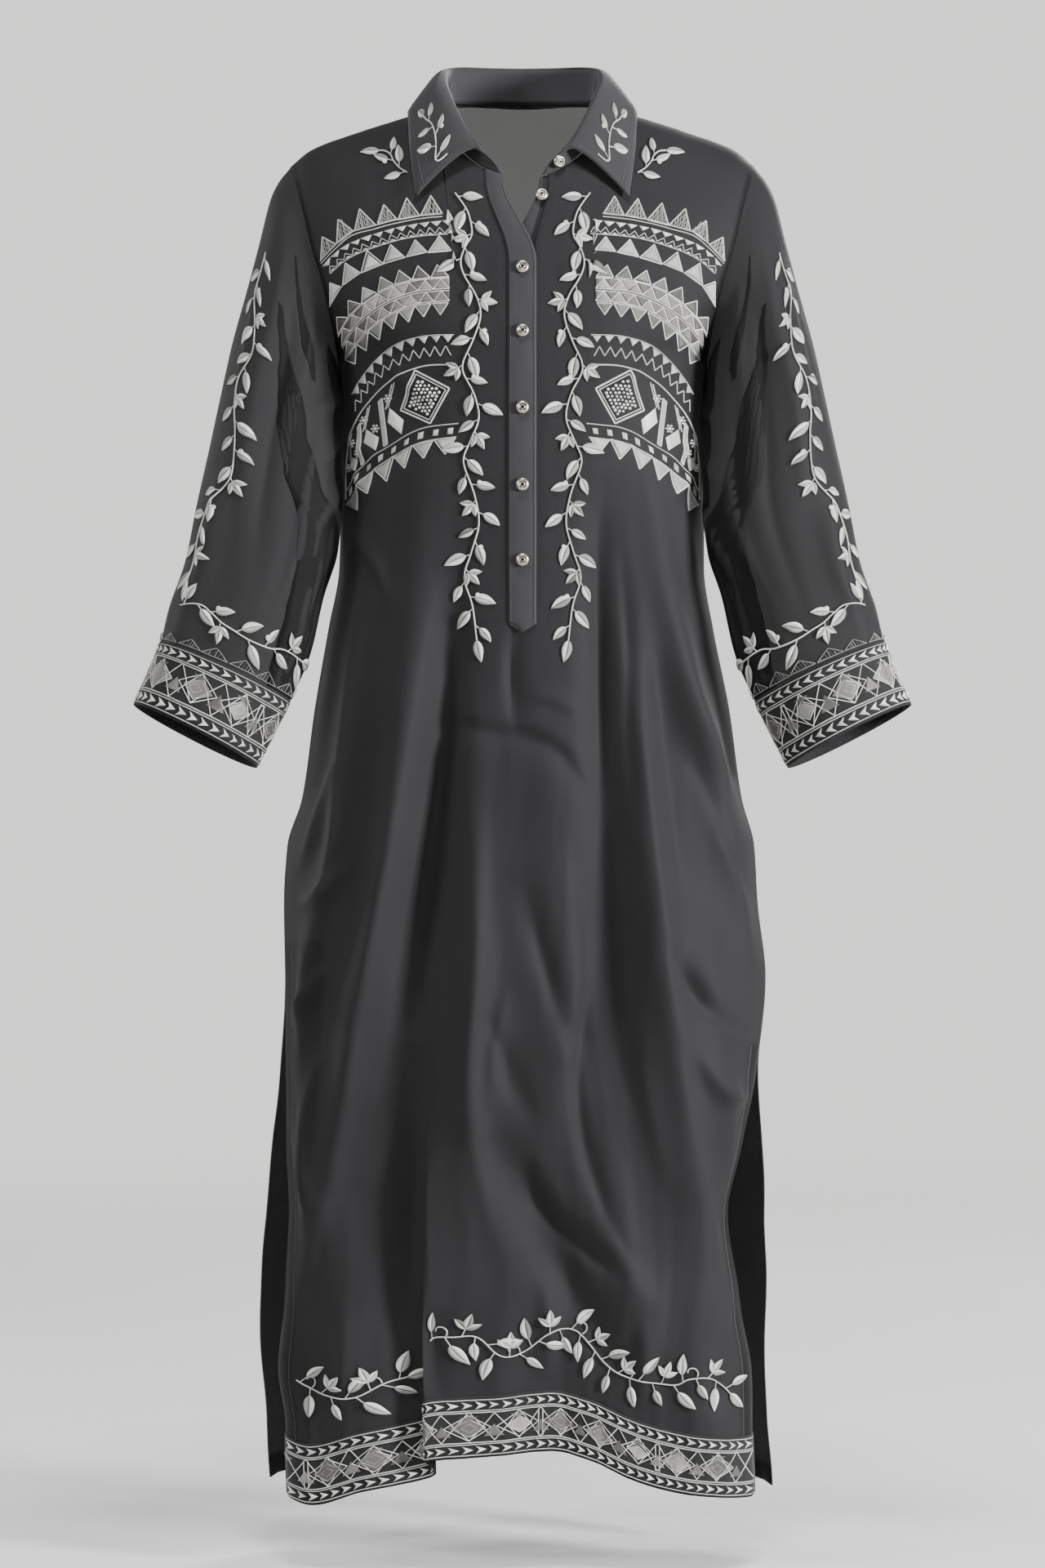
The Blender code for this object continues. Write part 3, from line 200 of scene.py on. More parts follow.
# The hems: height, and how far the edge is blown in. The front one arches up in the middle.
FRONT_HEM = table(
    "xi    z       pushed",
    (-1.00, -1.2020, 0.000),
    (-0.90, -1.2060, 0.004),
    (-0.70, -1.1930, 0.016),
    (-0.45, -1.1780, 0.024),
    (-0.35, -1.1660, 0.026),
    (-0.10, -1.1610, 0.040),
    (0.12, -1.1580, 0.042),
    (0.28, -1.1650, 0.036),
    (0.50, -1.1840, 0.022),
    (0.72, -1.1950, 0.012),
    (1.00, -1.2020, 0.000),
)
BACK_HEM = table(
    "xi    z       pushed",
    (-1.00, -1.1980, 0.000),
    (-0.62, -1.1960, 0.005),
    (-0.30, -1.1740, 0.010),
    (0.00, -1.1520, 0.014),
    (0.28, -1.1580, 0.010),
    (0.62, -1.1920, 0.004),
    (1.00, -1.2050, 0.000),
)

# Hanging folds. Each runs down a panel through three points, and stands out or lies in by its height.
FRONT_FOLDS = table(
    "x_top   z_top   x_mid   z_mid   x_low   z_low   height  width",
    (-0.112, -0.310, -0.138, -0.530, -0.166, -0.780, 0.0100, 0.015),
    (-0.084, -0.290, -0.106, -0.600, -0.188, -1.030, 0.0160, 0.022),
    (-0.058, -0.400, -0.078, -0.580, -0.104, -0.800, -0.0120, 0.016),
    (-0.037, -0.500, -0.041, -0.800, -0.030, -1.040, 0.0080, 0.016),
    (0.020, -0.520, 0.030, -0.700, 0.022, -0.920, 0.0050, 0.020),
    (0.068, -0.320, 0.071, -0.560, 0.084, -0.860, -0.0130, 0.018),
    (0.092, -0.400, 0.114, -0.730, 0.180, -1.100, 0.0140, 0.019),
    (0.104, -0.300, 0.138, -0.490, 0.190, -0.680, 0.0090, 0.014),
    (0.130, -0.330, 0.160, -0.460, 0.176, -0.560, 0.0060, 0.012),
    (0.148, -0.700, 0.166, -0.820, 0.190, -0.940, 0.0100, 0.018),
    (0.040, -0.800, 0.074, -0.930, 0.116, -1.090, 0.0100, 0.019),
    (-0.020, -0.880, 0.028, -0.990, 0.080, -1.090, -0.0110, 0.018),
    (-0.176, -0.640, -0.184, -0.800, -0.178, -0.980, 0.0080, 0.016),
    (-0.152, -0.940, -0.148, -1.080, -0.136, -1.200, 0.0100, 0.024),
    (0.150, -1.010, 0.158, -1.110, 0.168, -1.200, 0.0100, 0.022),
    (-0.010, -1.000, -0.020, -1.110, -0.028, -1.230, 0.0070, 0.024),
)
BACK_FOLDS = table(
    "x_top   z_top   x_mid   z_mid   x_low   z_low   height  width",
    (-0.122, -0.280, -0.142, -0.560, -0.170, -0.900, 0.0120, 0.018),
    (-0.088, -0.330, -0.104, -0.680, -0.142, -1.140, -0.0120, 0.022),
    (-0.050, -0.300, -0.058, -0.640, -0.086, -1.180, 0.0130, 0.022),
    (-0.008, -0.420, -0.014, -0.740, -0.030, -1.220, -0.0110, 0.022),
    (0.036, -0.330, 0.040, -0.700, 0.036, -1.210, 0.0130, 0.022),
    (0.076, -0.380, 0.088, -0.700, 0.102, -1.160, -0.0120, 0.022),
    (0.114, -0.270, 0.134, -0.600, 0.166, -1.080, 0.0130, 0.020),
)
# The deep fold where the front laps over itself: its line, the cloth it takes up and its step forward.
LAP = table(
    "z      x       taken  step",
    (-1.21, -0.078, 0.054, 0.018),
    (-1.05, -0.082, 0.052, 0.017),
    (-0.94, -0.084, 0.042, 0.014),
    (-0.84, -0.074, 0.018, 0.008),
    (-0.72, -0.070, 0.000, 0.000),
)
LAP_HALF = 0.0165
LAP_SPREAD = {"taken": 0.055, "step": 0.080}
# Powers that shape the ends of folds and creases and a crease's sides, and how far out a crease is felt.
FOLD_ENDS = 0.7
CREASE_ENDS = 0.8
CREASE_SIDES = 1.6
CREASE_REACH = 0.05

# Right sleeve, seen from the front: its outer and inner edges, its middle depth, half depth, and how far
# the back of a section hangs below its front.
SLEEVE = table(
    "outer_x outer_z inner_x inner_z mid_y   depth  droop",
    (-0.2175, -0.0710, -0.1638, -0.2190, -0.0050, 0.0560, 0.0000),
    (-0.2290, -0.1170, -0.1620, -0.2250, -0.0120, 0.0560, 0.0000),
    (-0.2395, -0.1590, -0.1600, -0.2360, -0.0200, 0.0545, 0.0010),
    (-0.2510, -0.2030, -0.1590, -0.2560, -0.0290, 0.0530, 0.0020),
    (-0.2610, -0.2510, -0.1585, -0.2970, -0.0380, 0.0510, 0.0030),
    (-0.2710, -0.3000, -0.1585, -0.3420, -0.0450, 0.0500, 0.0040),
    (-0.2810, -0.3460, -0.1620, -0.3850, -0.0500, 0.0490, 0.0050),
    (-0.2910, -0.3960, -0.1740, -0.4250, -0.0550, 0.0480, 0.0055),
    (-0.3040, -0.4350, -0.1850, -0.4730, -0.0590, 0.0470, 0.0060),
    (-0.3110, -0.4650, -0.2020, -0.5140, -0.0620, 0.0460, 0.0060),
    (-0.3330, -0.5190, -0.2300, -0.5710, -0.0680, 0.0450, 0.0060),
)
# At the armhole itself: its middle depth, half depth and droop.
SLEEVE_START = (0.0, 0.056, 0.0)
# Lengthwise folds of a sleeve: angle round it from the outer edge over the front, and size.
SLEEVE_FOLDS = table(
    "angle  height  width  twist",
    (1.15, 0.0030, 0.22, -0.35),
    (2.05, -0.0035, 0.24, 0.25),
    (3.05, 0.0030, 0.22, -0.20),
    (4.20, -0.0035, 0.26, 0.30),
    (5.25, 0.0030, 0.24, -0.25),
)

# The top of the collar's stand, from its front end round to the middle of the back, on the left side.
STAND_TOP = table(
    "across  x       y        z",
    (0.00, 0.0379, -0.0920, -0.0449),
    (0.13, 0.0505, -0.0780, -0.0205),
    (0.30, 0.0610, -0.0490, 0.0060),
    (0.46, 0.0665, -0.0160, 0.0270),
    (0.62, 0.0650, 0.0160, 0.0400),
    (0.78, 0.0480, 0.0420, 0.0460),
    (0.90, 0.0240, 0.0530, 0.0475),
    (1.00, 0.0000, 0.0560, 0.0478),
)
STAND_FRONT_X = 0.0165
STAND_END_ROUND = 0.0032
STAND_SIDE_SHARE = 0.50
STAND_BOW = 0.0006
LEAF_ROLL_ROWS = 2
# The collar leaf's outer edge at the same stations, and how far it stands off the panels.
LEAF_EDGE = table(
    "across  x       z        clear",
    (0.00, 0.0905, -0.0860, 0.0050),
    (0.13, 0.0940, -0.0610, 0.0045),
    (0.30, 0.0970, -0.0330, 0.0040),
    (0.46, 0.0975, -0.0110, 0.0085),
    (0.62, 0.0930, -0.0050, 0.0085),
    (0.78, 0.0700, 0.0012, 0.0128),
    (0.90, 0.0360, 0.0060, 0.0190),
    (1.00, 0.0000, 0.0072, 0.0200),
)

# Buttons down the placket, and the undone one on the under placket.
FASTENED_Z = (-0.1473, -0.2019, -0.2668, -0.3320, -0.3957)
UNDONE_PLACE = (0.0164, -0.0836)
# How far off the forms the fastened, the undone and the stand's buttons sit, and the length of their axis.
BUTTON_OUT = 0.0022
UNDONE_OUT = 0.0006
STAND_OUT = 0.0028
BUTTON_AXIS = 0.010

# Rows of thread work on the right breast, each band between a low and a high line, as x, z in millimetres.
SAW_LOW = path(-174, -136, -150.6, -115, -131.3, -109.2, -111.2, -104.4, -91.1, -100.9, -68.3, -99.2)
SAW_HIGH = path(-179, -124, -157.6, -100, -138.2, -93, -117.4, -88.5, -96.7, -84.5, -68.3, -83)
TEETH_LOW = path(-165, -147.5, -148.6, -135.5, -123, -126.2, -94.6, -119.6, -57.9, -117.2)
TEETH_HIGH = path(-172, -141, -156, -126.5, -130, -116.5, -96, -108.5, -58.6, -105)
PEAKS_LOW = path(
    -166, -175, -159, -164, -148.6, -154.2, -129.9, -145.2, -109.1, -139, -84.9, -133.4, -60.7, -131.4
)
PEAKS_HIGH = path(
    -170, -164, -162, -148, -150, -138.5, -131, -130.5, -110, -125, -85.2, -120.5, -60.7, -118.5
)
LATTICE_HIGH = path(-159, -199, -145.8, -182.6, -120.2, -165, -93, -156.8, -62.1, -154.9)
LATTICE_MIDDLE = path(-155.5, -208.5, -141.3, -192.3, -117, -176.4, -91.8, -167.8, -62.1, -165.7)
LATTICE_LOW = path(-153, -219, -137.1, -203, -115, -187.2, -90, -178.4, -62.1, -176.4)
LATTICE_PEAKS = path(-164, -192, -151, -173, -124, -154.5, -95, -145.8, -64, -143.6)
LATTICE_POINTS = path(-149, -229, -132, -212.5, -111, -198.5, -88, -189.5, -62.5, -187.2)
FRINGE_HIGH = path(-147, -250, -139.9, -239.3, -125, -223, -109.1, -211.6, -85, -205.4, -57.9, -204.7)
FRINGE_LOW = path(-143, -254.5, -134.5, -244, -120.5, -229.5, -106, -219, -84, -212.6, -57.9, -212.2)
ZIGZAG_HIGH = path(-146.5, -259, -138, -247, -123.5, -232, -107.7, -221.7, -85, -215.2, -60.7, -214)
ZIGZAG_LOW = path(-144, -265, -133, -251, -119, -237, -104, -228.6, -84, -223.2, -60.7, -222.2)
PATCH_ARC = path(
    -153, -339.6, -152, -305, -145.1, -276, -128, -254.5, -108.9, -239.2, -85, -230.6, -57.9, -230
)
SQUARES_HIGH = path(-152, -332, -135.7, -311.7, -111, -295.7, -86.3, -283.6, -54, -280)
SQUARES_LOW = path(-152, -344.5, -135.7, -324, -113, -308.5, -87, -295.8, -56, -291.6)
SQUARES_POINTS = path(-147, -358, -131.3, -338, -108, -322.5, -83, -309, -56, -304.5)


# Small creases: height, widths on either side, then the line as x, z, all in millimetres.
FRONT_CREASES = (
    crease(
        9.6, 22, 5.5, -74.5, -406.1, -84.9, -503, -98.1, -592.9, -112.6, -676, -129.9, -765.9, -144.4, -849,
        -161.7, -932, -185.2, -1001.2, -197, -1049.6
    ),
    crease(-12.9, 9, 30, -63.5, -440.7, -73.1, -572.2, -88.4, -676, -103.6, -765.9, -116, -849),
    crease(
        9.1, 12, 7, -132.7, -406.1, -143.7, -523.7, -154.8, -627.5, -166.6, -689.8, -178.3, -752.1, -186.6,
        -807.4, -190.1, -862.8
    ),
    crease(-9.1, 12, 9, -111.9, -503, -120.2, -592.9, -132.7, -689.8, -149.3, -772.8),
    crease(
        7.7, 9, 10, -39.9, -599.8, -37.9, -676, -37.2, -752.1, -39.2, -835.1, -28.9, -918.2, -12.2, -987.4,
        -5.3, -1028.9
    ),
    crease(
        9.6, 26, 9, 81.2, -433.8, 95.7, -544.5, 106.8, -641.4, 117.2, -710.6, 125.5, -793.6, 139.3, -890.5,
        156.6, -973.5, 178.1, -1049.6
    ),
    crease(-9.1, 7, 18, 109.5, -468.4, 123.4, -558.3, 133.1, -641.4, 140, -689.8),
    crease(9.7, 10, 13, 109.5, -392.2, 130.3, -489.1, 155.9, -551.4, 180.1, -599.8, 196, -641.4),
    crease(-8.3, 10, 6, 138.6, -537.6, 159.4, -599.8, 178.7, -648.3, 192.6, -682.9),
    crease(9.1, 8, 10, 145.5, -572.2, 166.3, -627.5, 183.6, -676, 194.7, -724.4, 202.3, -752.1),
    crease(9.1, 6, 10, 128.2, -779.8, 145.5, -817.8, 166.3, -849, 187, -857.3, 202.3, -842),
    crease(6.4, 8, 8, 176.7, -862.8, 174.6, -918.2, 177.4, -987.4, 183.6, -1049.6),
    crease(-10.1, 8, 8, 117.8, -717.5, 138.6, -755.5, 166.3, -788.1, 191.2, -801.9),
    crease(
        -14.1, 8, 28, 45.2, -634.4, 54.2, -696.7, 58.3, -752.1, 50, -807.4, 47.3, -849, 58.3, -911.2, 84.6,
        -973.5, 124.8, -1025.4
    ),
    crease(-9.1, 8, 10, -1.2, -904.3, 21, -952.8, 55.6, -983.9, 90.2, -1008.1),
    crease(-7.3, 7, 12, -1.2, -669, 10.6, -710.6, 22.4, -752.1, 41.7, -814.4),
    crease(-6.6, 11, 5, -72.5, -530.6, -30.9, -540.3, 7.1, -545.9, 34.8, -561.8, 57, -596.4),
    crease(-6.6, 6, 7, -7.4, -447.6, -9.5, -496, -5.3, -545.9),
    crease(4.1, 4, 8, 3.7, -511.3, 22.4, -514, 50, -523.7),
    crease(8.3, 6, 7, -153.4, -565.2, -175.6, -620.6, -193.6, -662.1),
    crease(6.4, 5, 7, -143.7, -655.2, -170, -681.5, -192.2, -689.8),
    crease(6.4, 5, 7, -160.3, -738.2, -181.1, -772.8, -197.7, -793.6),
    crease(7.3, 8, 6, -165.9, -807.4, -179.7, -883.6, -178.3, -959.7),
    crease(5.5, 6, 6, -200.5, -862.8, -188, -911.2, -178.3, -952.8),
    crease(-12.9, 20, 22, -95.3, -807.4, -105, -890.5, -113.3, -987.4, -117.4, -1056.6),
    crease(5.5, 6, 8, -13.6, -759, -20.6, -814.4, -23.3, -869.7),
    crease(-5.5, 6, 9, -26.1, -779.8, -6.7, -842, 14, -876.6),
    crease(5.5, 7, 10, 93.6, -752.1, 104, -849, 124.8, -938.9),
    crease(5.5, 7, 9, 21, -1008.1, 22.4, -1056.6, 21, -1098.1),
    crease(-6.6, 8, 10, -55.2, -1028.9, -56.5, -1070.4, -55.2, -1111.9),
    crease(5.5, 8, 8, 104, -1042.7, 104, -1084.2, 101.2, -1118.8),
    crease(5.5, 8, 8, -152, -1028.9, -154.8, -1077.3, -156.2, -1118.8),
    crease(-5.5, 8, 8, 166.3, -1056.6, 163.5, -1098.1, 160.8, -1125.8),
    crease(4.1, 4, 6, -149, -309, -138, -330, -123, -341),
    crease(4.1, 4, 6, -153, -281, -138, -299, -117, -306),
    crease(4.1, 4, 6, 151, -309, 137, -330, 121, -341),
    crease(3.6, 4, 6, 154, -281, 139, -298, 119, -306),
    crease(4.8, 4, 7, -152, -364, -134, -381, -117, -406, -108, -448),
    crease(4.8, 4, 8, -145, -364, -159, -434, -172, -510, -183, -586),
    crease(-5.5, 5, 6, 86, -380, 90, -475, 89, -544, 94, -621),
    crease(-5.5, 6, 8, 66, -350, 67, -430, 69, -520, 71, -600),
    crease(3.6, 4, 6, -117, -226, -97, -247, -69, -261),
    crease(3.2, 4, 6, 111, -219, 90, -243, 69, -258),
    crease(4.1, 4, 7, -170, -198, -166, -233, -158, -268),
    crease(4.1, 4, 7, 169, -198, 165, -233, 157, -268),
)

BACK_CREASES = (
    crease(3.6, 6, 11, -130, -300, -142, -470, -158, -700, -180, -960),
    crease(3, 5, 9, -96, -420, -104, -600, -112, -820, -128, -1080),
    crease(-3.4, 8, 8, -70, -360, -78, -640, -92, -980),
    crease(3.2, 5, 10, -28, -480, -30, -720, -44, -1040),
    crease(-3, 7, 7, 16, -400, 18, -640, 12, -980),
    crease(3.4, 10, 5, 56, -460, 64, -700, 70, -1060),
    crease(3, 5, 9, 96, -360, 112, -560, 134, -860),
    crease(3.6, 6, 12, 134, -330, 154, -560, 182, -900),
    crease(2.2, 4, 7, -150, -286, -128, -304, -100, -310),
    crease(2.2, 4, 7, 150, -290, 124, -310, 96, -318),
    crease(2.2, 4, 7, -152, -352, -130, -372, -104, -384),
    crease(2, 4, 6, 150, -360, 130, -384, 112, -392),
    crease(1.8, 5, 8, -120, -90, -70, -106, -10, -108, 60, -100, 116, -88),
    crease(2, 4, 7, -166, -196, -150, -236, -128, -262),
    crease(2, 4, 7, 166, -198, 152, -240, 132, -268),
)
# On a sleeve the line is the distance round it from its outer edge over the front, and minus that down it.
SLEEVE_CREASES = {
    Side.RIGHT: (
        crease(5.4, 5, 9, 58, -60, 64, -150, 60, -260, 68, -370),
        crease(4.8, 5, 8, 96, -60, 104, -130, 100, -220),
        crease(-4.5, 6, 6, 80, -100, 84, -180, 78, -300, 86, -400),
        crease(4.8, 4, 8, 120, -240, 110, -300, 112, -380, 106, -430),
        crease(4.5, 4, 8, 156, -170, 132, -205, 104, -222),
        crease(4.2, 4, 7, 158, -210, 136, -250, 116, -262),
        crease(3.8, 4, 7, 160, -260, 142, -290, 122, -330),
        crease(3.8, 4, 6, 30, -120, 44, -180, 40, -240),
        crease(4.2, 5, 8, 36, -300, 46, -360, 40, -430),
        crease(4.2, 4, 8, 132, -46, 120, -90, 118, -140),
        crease(4.8, 6, 9, 200, -80, 210, -200, 204, -360),
        crease(-4.2, 6, 7, 236, -60, 240, -200, 232, -380),
        crease(4.5, 5, 9, 270, -100, 266, -240, 276, -400),
        crease(3.8, 4, 7, 180, -220, 206, -246, 232, -240),
    ),
    Side.LEFT: (
        crease(5.1, 5, 9, 54, -70, 62, -160, 58, -240, 66, -340),
        crease(4.8, 5, 9, 90, -50, 98, -130, 106, -240),
        crease(-4.5, 6, 6, 76, -120, 80, -200, 88, -320, 82, -420),
        crease(5.1, 4, 8, 116, -220, 118, -300, 108, -400),
        crease(4.2, 4, 8, 158, -190, 138, -214, 112, -220),
        crease(4.5, 4, 7, 160, -232, 140, -262, 118, -290),
        crease(3.5, 4, 7, 156, -290, 140, -330, 126, -380),
        crease(3.8, 4, 6, 28, -100, 40, -170, 36, -260),
        crease(4.2, 5, 8, 40, -320, 50, -380, 46, -440),
        crease(3.8, 4, 8, 136, -50, 128, -100, 132, -150),
        crease(4.8, 6, 9, 206, -70, 200, -210, 210, -350),
        crease(-4.2, 6, 7, 240, -80, 230, -210, 236, -390),
        crease(4.5, 5, 9, 274, -90, 280, -250, 270, -410),
        crease(3.8, 4, 7, 184, -240, 210, -262, 230, -250),
    ),
}


# ---------------------------------------------------------------------------------------------------
# Curves


def smooth(keys: Array, values: Array, at: Array | float) -> Array:
    """Monotone cubic curve through (keys, values), held level past both ends."""
    order = np.argsort(keys)
    x, y = keys[order], values[order]
    step = np.diff(x)
    slope = np.diff(y) / step
    tangent = np.zeros_like(y)
    tangent[0], tangent[-1] = slope[0], slope[-1]
    product = slope[:-1] * slope[1:]
    same = product > 0
    total = np.where(same, slope[:-1] + slope[1:], 1.0)
    tangent[1:-1] = np.where(same, 2 * product / total, 0.0)
    at = np.clip(np.asarray(at, float), x[0], x[-1])
    index = np.clip(np.searchsorted(x, at) - 1, 0, len(step) - 1)
    t = (at - x[index]) / step[index]
    start, end = tangent[index] * step[index], tangent[index + 1] * step[index]
    return (
        y[index] * (1 + 2 * t) * (1 - t) ** 2
        + start * t * (1 - t) ** 2
        + y[index + 1] * t * t * (3 - 2 * t)
        - end * t * t * (1 - t)
    )


def column(rows: dict[str, Array], name: str, at: Array | float) -> Array:
    """A named column of a table, read at values of the table's first column."""
    return smooth(rows[next(iter(rows))], rows[name], at)


def blend(low: float, high: float, at: Array | float) -> Array:
    """Smooth step from 0 at low to 1 at high."""
    t = np.clip((np.asarray(at, float) - low) / (high - low), 0, 1)
    return t * t * (3 - 2 * t)


def through(points: Points, steps: int) -> Array:
    """A smooth open curve through points, with steps to each span."""
    points = np.asarray(points, float)
    ends = np.vstack([2 * points[0] - points[1], points, 2 * points[-1] - points[-2]])
    curve = []
    for i in range(len(points) - 1):
        a, b, c, d = ends[i : i + 4]
        for t in np.arange(steps) / steps:
            square, cube = 2 * a - 5 * b + 4 * c - d, 3 * b - 3 * c + d - a
            curve.append(0.5 * (2 * b + (c - a) * t + square * t**2 + cube * t**3))
    curve.append(points[-1])
    return np.array(curve)


def run_of(line: Array) -> Array:
    """Distance along a line at each of its points."""
    return np.r_[0, np.cumsum(np.linalg.norm(np.diff(line, axis=0), axis=1))]


def resample(line: Array, step: float) -> Array:
    """The line again, with points about a step apart and its corners kept within that."""
    run = run_of(line)
    count = max(1, int(np.ceil(run[-1] / step)))
    at = np.linspace(0, run[-1], count + 1)
    return np.stack([np.interp(at, run, line[:, axis]) for axis in range(line.shape[1])], -1)


def wander(values: Array, seed: float) -> Array:
    """A slow uneven wave between about -1 and 1."""
    return (
        0.5 * np.sin(values + seed * 1.7)
        + 0.3 * np.sin(2.17 * values + seed * 4.1)
        + 0.2 * np.sin(4.63 * values + seed * 2.3)
    )


# ---------------------------------------------------------------------------------------------------
# The form of the body


def half_width(panel: str, xi: Array, z: Array) -> Array:
    """Distance from the middle to the panel's edge at height z, on xi's side."""
    return np.where(xi < 0, column(BODY, f"{panel}_right", z), column(BODY, f"{panel}_left", z))


def shoulder_z(panel: str, xi: Array) -> Array:
    """Height where a column of the panel meets the shoulder line."""
    return column(SHOULDER_LINE, panel, np.abs(xi) * BODY["front_right"][-1])


def neckline_z(panel: str, x: Array) -> Array:
    """Height of the neckline at x."""
    share = np.sqrt(np.clip(1 - (x / NECK_HALF) ** 2, 0, 1))
    return NECK_SIDE_Z + (NECK_MIDDLE_Z[panel] - NECK_SIDE_Z) * share


def hem_z(panel: str, xi: Array) -> Array:
    return column(FRONT_HEM if panel == "front" else BACK_HEM, "z", xi)


def splay(xi: Array, z: Array) -> Array:
    """How far the open neck pulls the front's columns away from the middle."""
    amount = PLACKET_SPLAY * blend(SPLAY_Z, NECK_MIDDLE_Z["front"], z)
    return np.sign(xi) * amount * np.clip(1 - (np.abs(xi) - SLOT_XI) * SPLAY_FADE, 0, 1)


def rise(panel: str, xi: Array, z: Array) -> Array:
    """Share of the way from the underarm up to the shoulder line."""
    return np.clip((z - UNDERARM_Z) / (shoulder_z(panel, xi) - UNDERARM_Z), 0, 1)


def body_base(panel: str, xi: Array, z: Array, splayed: bool = True) -> Array:
    """Points of a panel before its folds. Splayed opens the front's neck."""
    xi, z = np.broadcast_arrays(np.asarray(xi, float), np.asarray(z, float))
    x = xi * half_width(panel, xi, z)
    depth = column(BODY, f"{panel}_depth", z)
    roundness = ROUNDNESS[panel]
    above = blend(UNDERARM_Z, UNDERARM_Z + YOKE_BLEND, z)
    power = (1 - above) / roundness + above * YOKE_POWER
    across = np.clip(1 - np.abs(xi) ** roundness, 0, 1) ** power
    edge = ARMHOLE[panel] * (1 - np.exp(-np.clip(z - UNDERARM_Z, 0, 1) / ARMHOLE_ROUND))
    out = (edge + (depth - edge) * across) * np.sqrt(1 - rise(panel, xi, z) ** 2)
    side = np.where(xi < 0, SLIT_SHUT["right"], SLIT_SHUT["left"])
    out = out + column(BODY, "slit", z + side) * (1 - across)
    hem = FRONT_HEM if panel == "front" else BACK_HEM
    out = out - column(hem, "pushed", xi) * blend(*PUSHED_Z, z)
    out = np.maximum(out, 0) + SEAM_HALF_GAP
    if panel == "back":
        return np.stack([x, out, z], -1)
    return np.stack([x + splay(xi, z) if splayed else x, -out, z], -1)


def fold_relief(rows: dict[str, Array], x: Array, z: Array) -> Array:
    """How far the large hanging folds lift a panel at (x, z)."""
    relief = np.zeros_like(x)
    for i in range(len(rows["x_top"])):
        row = {name: values[i] for name, values in rows.items()}
        reach = row["z_top"] - row["z_low"]
        t = (row["z_top"] - z) / reach
        middle = (row["z_top"] - row["z_mid"]) / reach
        bend = row["x_mid"] - row["x_top"] - (row["x_low"] - row["x_top"]) * middle
        line = row["x_top"] + (row["x_low"] - row["x_top"]) * t
        line = line + bend * t * (1 - t) / (middle * (1 - middle))
        envelope = np.sin(np.pi * np.clip(t, 0, 1)) ** FOLD_ENDS
        relief += row["height"] * envelope * np.exp(-(((x - line) / row["width"]) ** 2))
    return relief


def crease_relief(creases: Sequence[Crease], x: Array, z: Array) -> Array:
    """How far the small creases lift the cloth at (x, z). Each one's two sides differ in width."""
    relief = np.zeros_like(x)
    for fold in creases:
        line = through(fold.line, 6)
        low, high = line.min(0) - CREASE_REACH, line.max(0) + CREASE_REACH
        near = (x > low[0]) & (x < high[0]) & (z > low[1]) & (z < high[1])
        if not near.any():
            continue
        spot = np.stack([x[near], z[near]], -1)
        run = run_of(line)
        best = np.full(len(spot), np.inf)
        signed, share = np.zeros(len(spot)), np.zeros(len(spot))
        for i in range(len(line) - 1):
            step = line[i + 1] - line[i]
            length = np.linalg.norm(step)
            along = np.clip(((spot - line[i]) @ step) / length**2, 0, 1)
            away = spot - (line[i] + along[:, None] * step)
            far = np.linalg.norm(away, axis=1)
            closer = far < best
            best = np.where(closer, far, best)
            turn = np.sign(step[0] * away[:, 1] - step[1] * away[:, 0])
            signed = np.where(closer, turn * far, signed)
            share = np.where(closer, (run[i] + along * length) / run[-1], share)
        envelope = np.clip(np.sin(np.pi * np.clip(share, 0, 1)), 0, 1) ** CREASE_ENDS
        width = np.where(signed < 0, fold.before, fold.after)
        relief[near] += fold.height * envelope * np.exp(-((np.abs(signed) / width) ** CREASE_SIDES))
    return relief


def lap(points: Array) -> Array:
    """Folds the front over itself along the lap line."""
    z = points[..., 2]
    q = points[..., 0] - column(LAP, "x", z)
    turn = np.tanh(q / LAP_HALF)
    moved = points.copy()
    for axis, (name, spread) in enumerate(LAP_SPREAD.items()):
        moved[..., axis] -= 0.5 * column(LAP, name, z) * turn * np.exp(-((q / spread) ** 2))
    return moved


def normals(points: Array, outward: Sequence[float]) -> Array:
    """Unit normals of a grid of points, on the outward side."""
    normal = np.cross(np.gradient(points, axis=1), np.gradient(points, axis=0))
    normal /= np.maximum(np.linalg.norm(normal, axis=-1, keepdims=True), 1e-12)
    middle = normal[normal.shape[0] // 2, normal.shape[1] // 2]
    return normal if middle @ np.asarray(outward, float) > 0 else -normal


class Surface:
    """A grid of points with normals, read between its rows and columns."""

    def __init__(self, points: Array, outward: Sequence[float]) -> None:
        self.points = points
        self.normals = normals(points, outward)

    def lay(self, row: Array, col: Array, out: Array | float) -> Array:
        """The points at fractional rows and columns, moved out along the normals.

        Args:
            row: Fractional rows.
            col: Fractional columns.
            out: Distance out of the surface, for each point or for all.

        Returns:
            One point for each pair.
        """
        row = np.clip(row, 0, self.points.shape[0] - 1.000001)
        col = np.clip(col, 0, self.points.shape[1] - 1.000001)
        r, c = np.floor(row).astype(int), np.floor(col).astype(int)
        fr, fc = (row - r)[..., None], (col - c)[..., None]
        found = []
        for grid in (self.points, self.normals):
            low = grid[r, c] * (1 - fc) + grid[r, c + 1] * fc
            high = grid[r + 1, c] * (1 - fc) + grid[r + 1, c + 1] * fc
            found.append(low * (1 - fr) + high * fr)
        normal = found[1] / np.linalg.norm(found[1], axis=-1, keepdims=True)
        return found[0] + normal * np.broadcast_to(out, row.shape)[..., None]


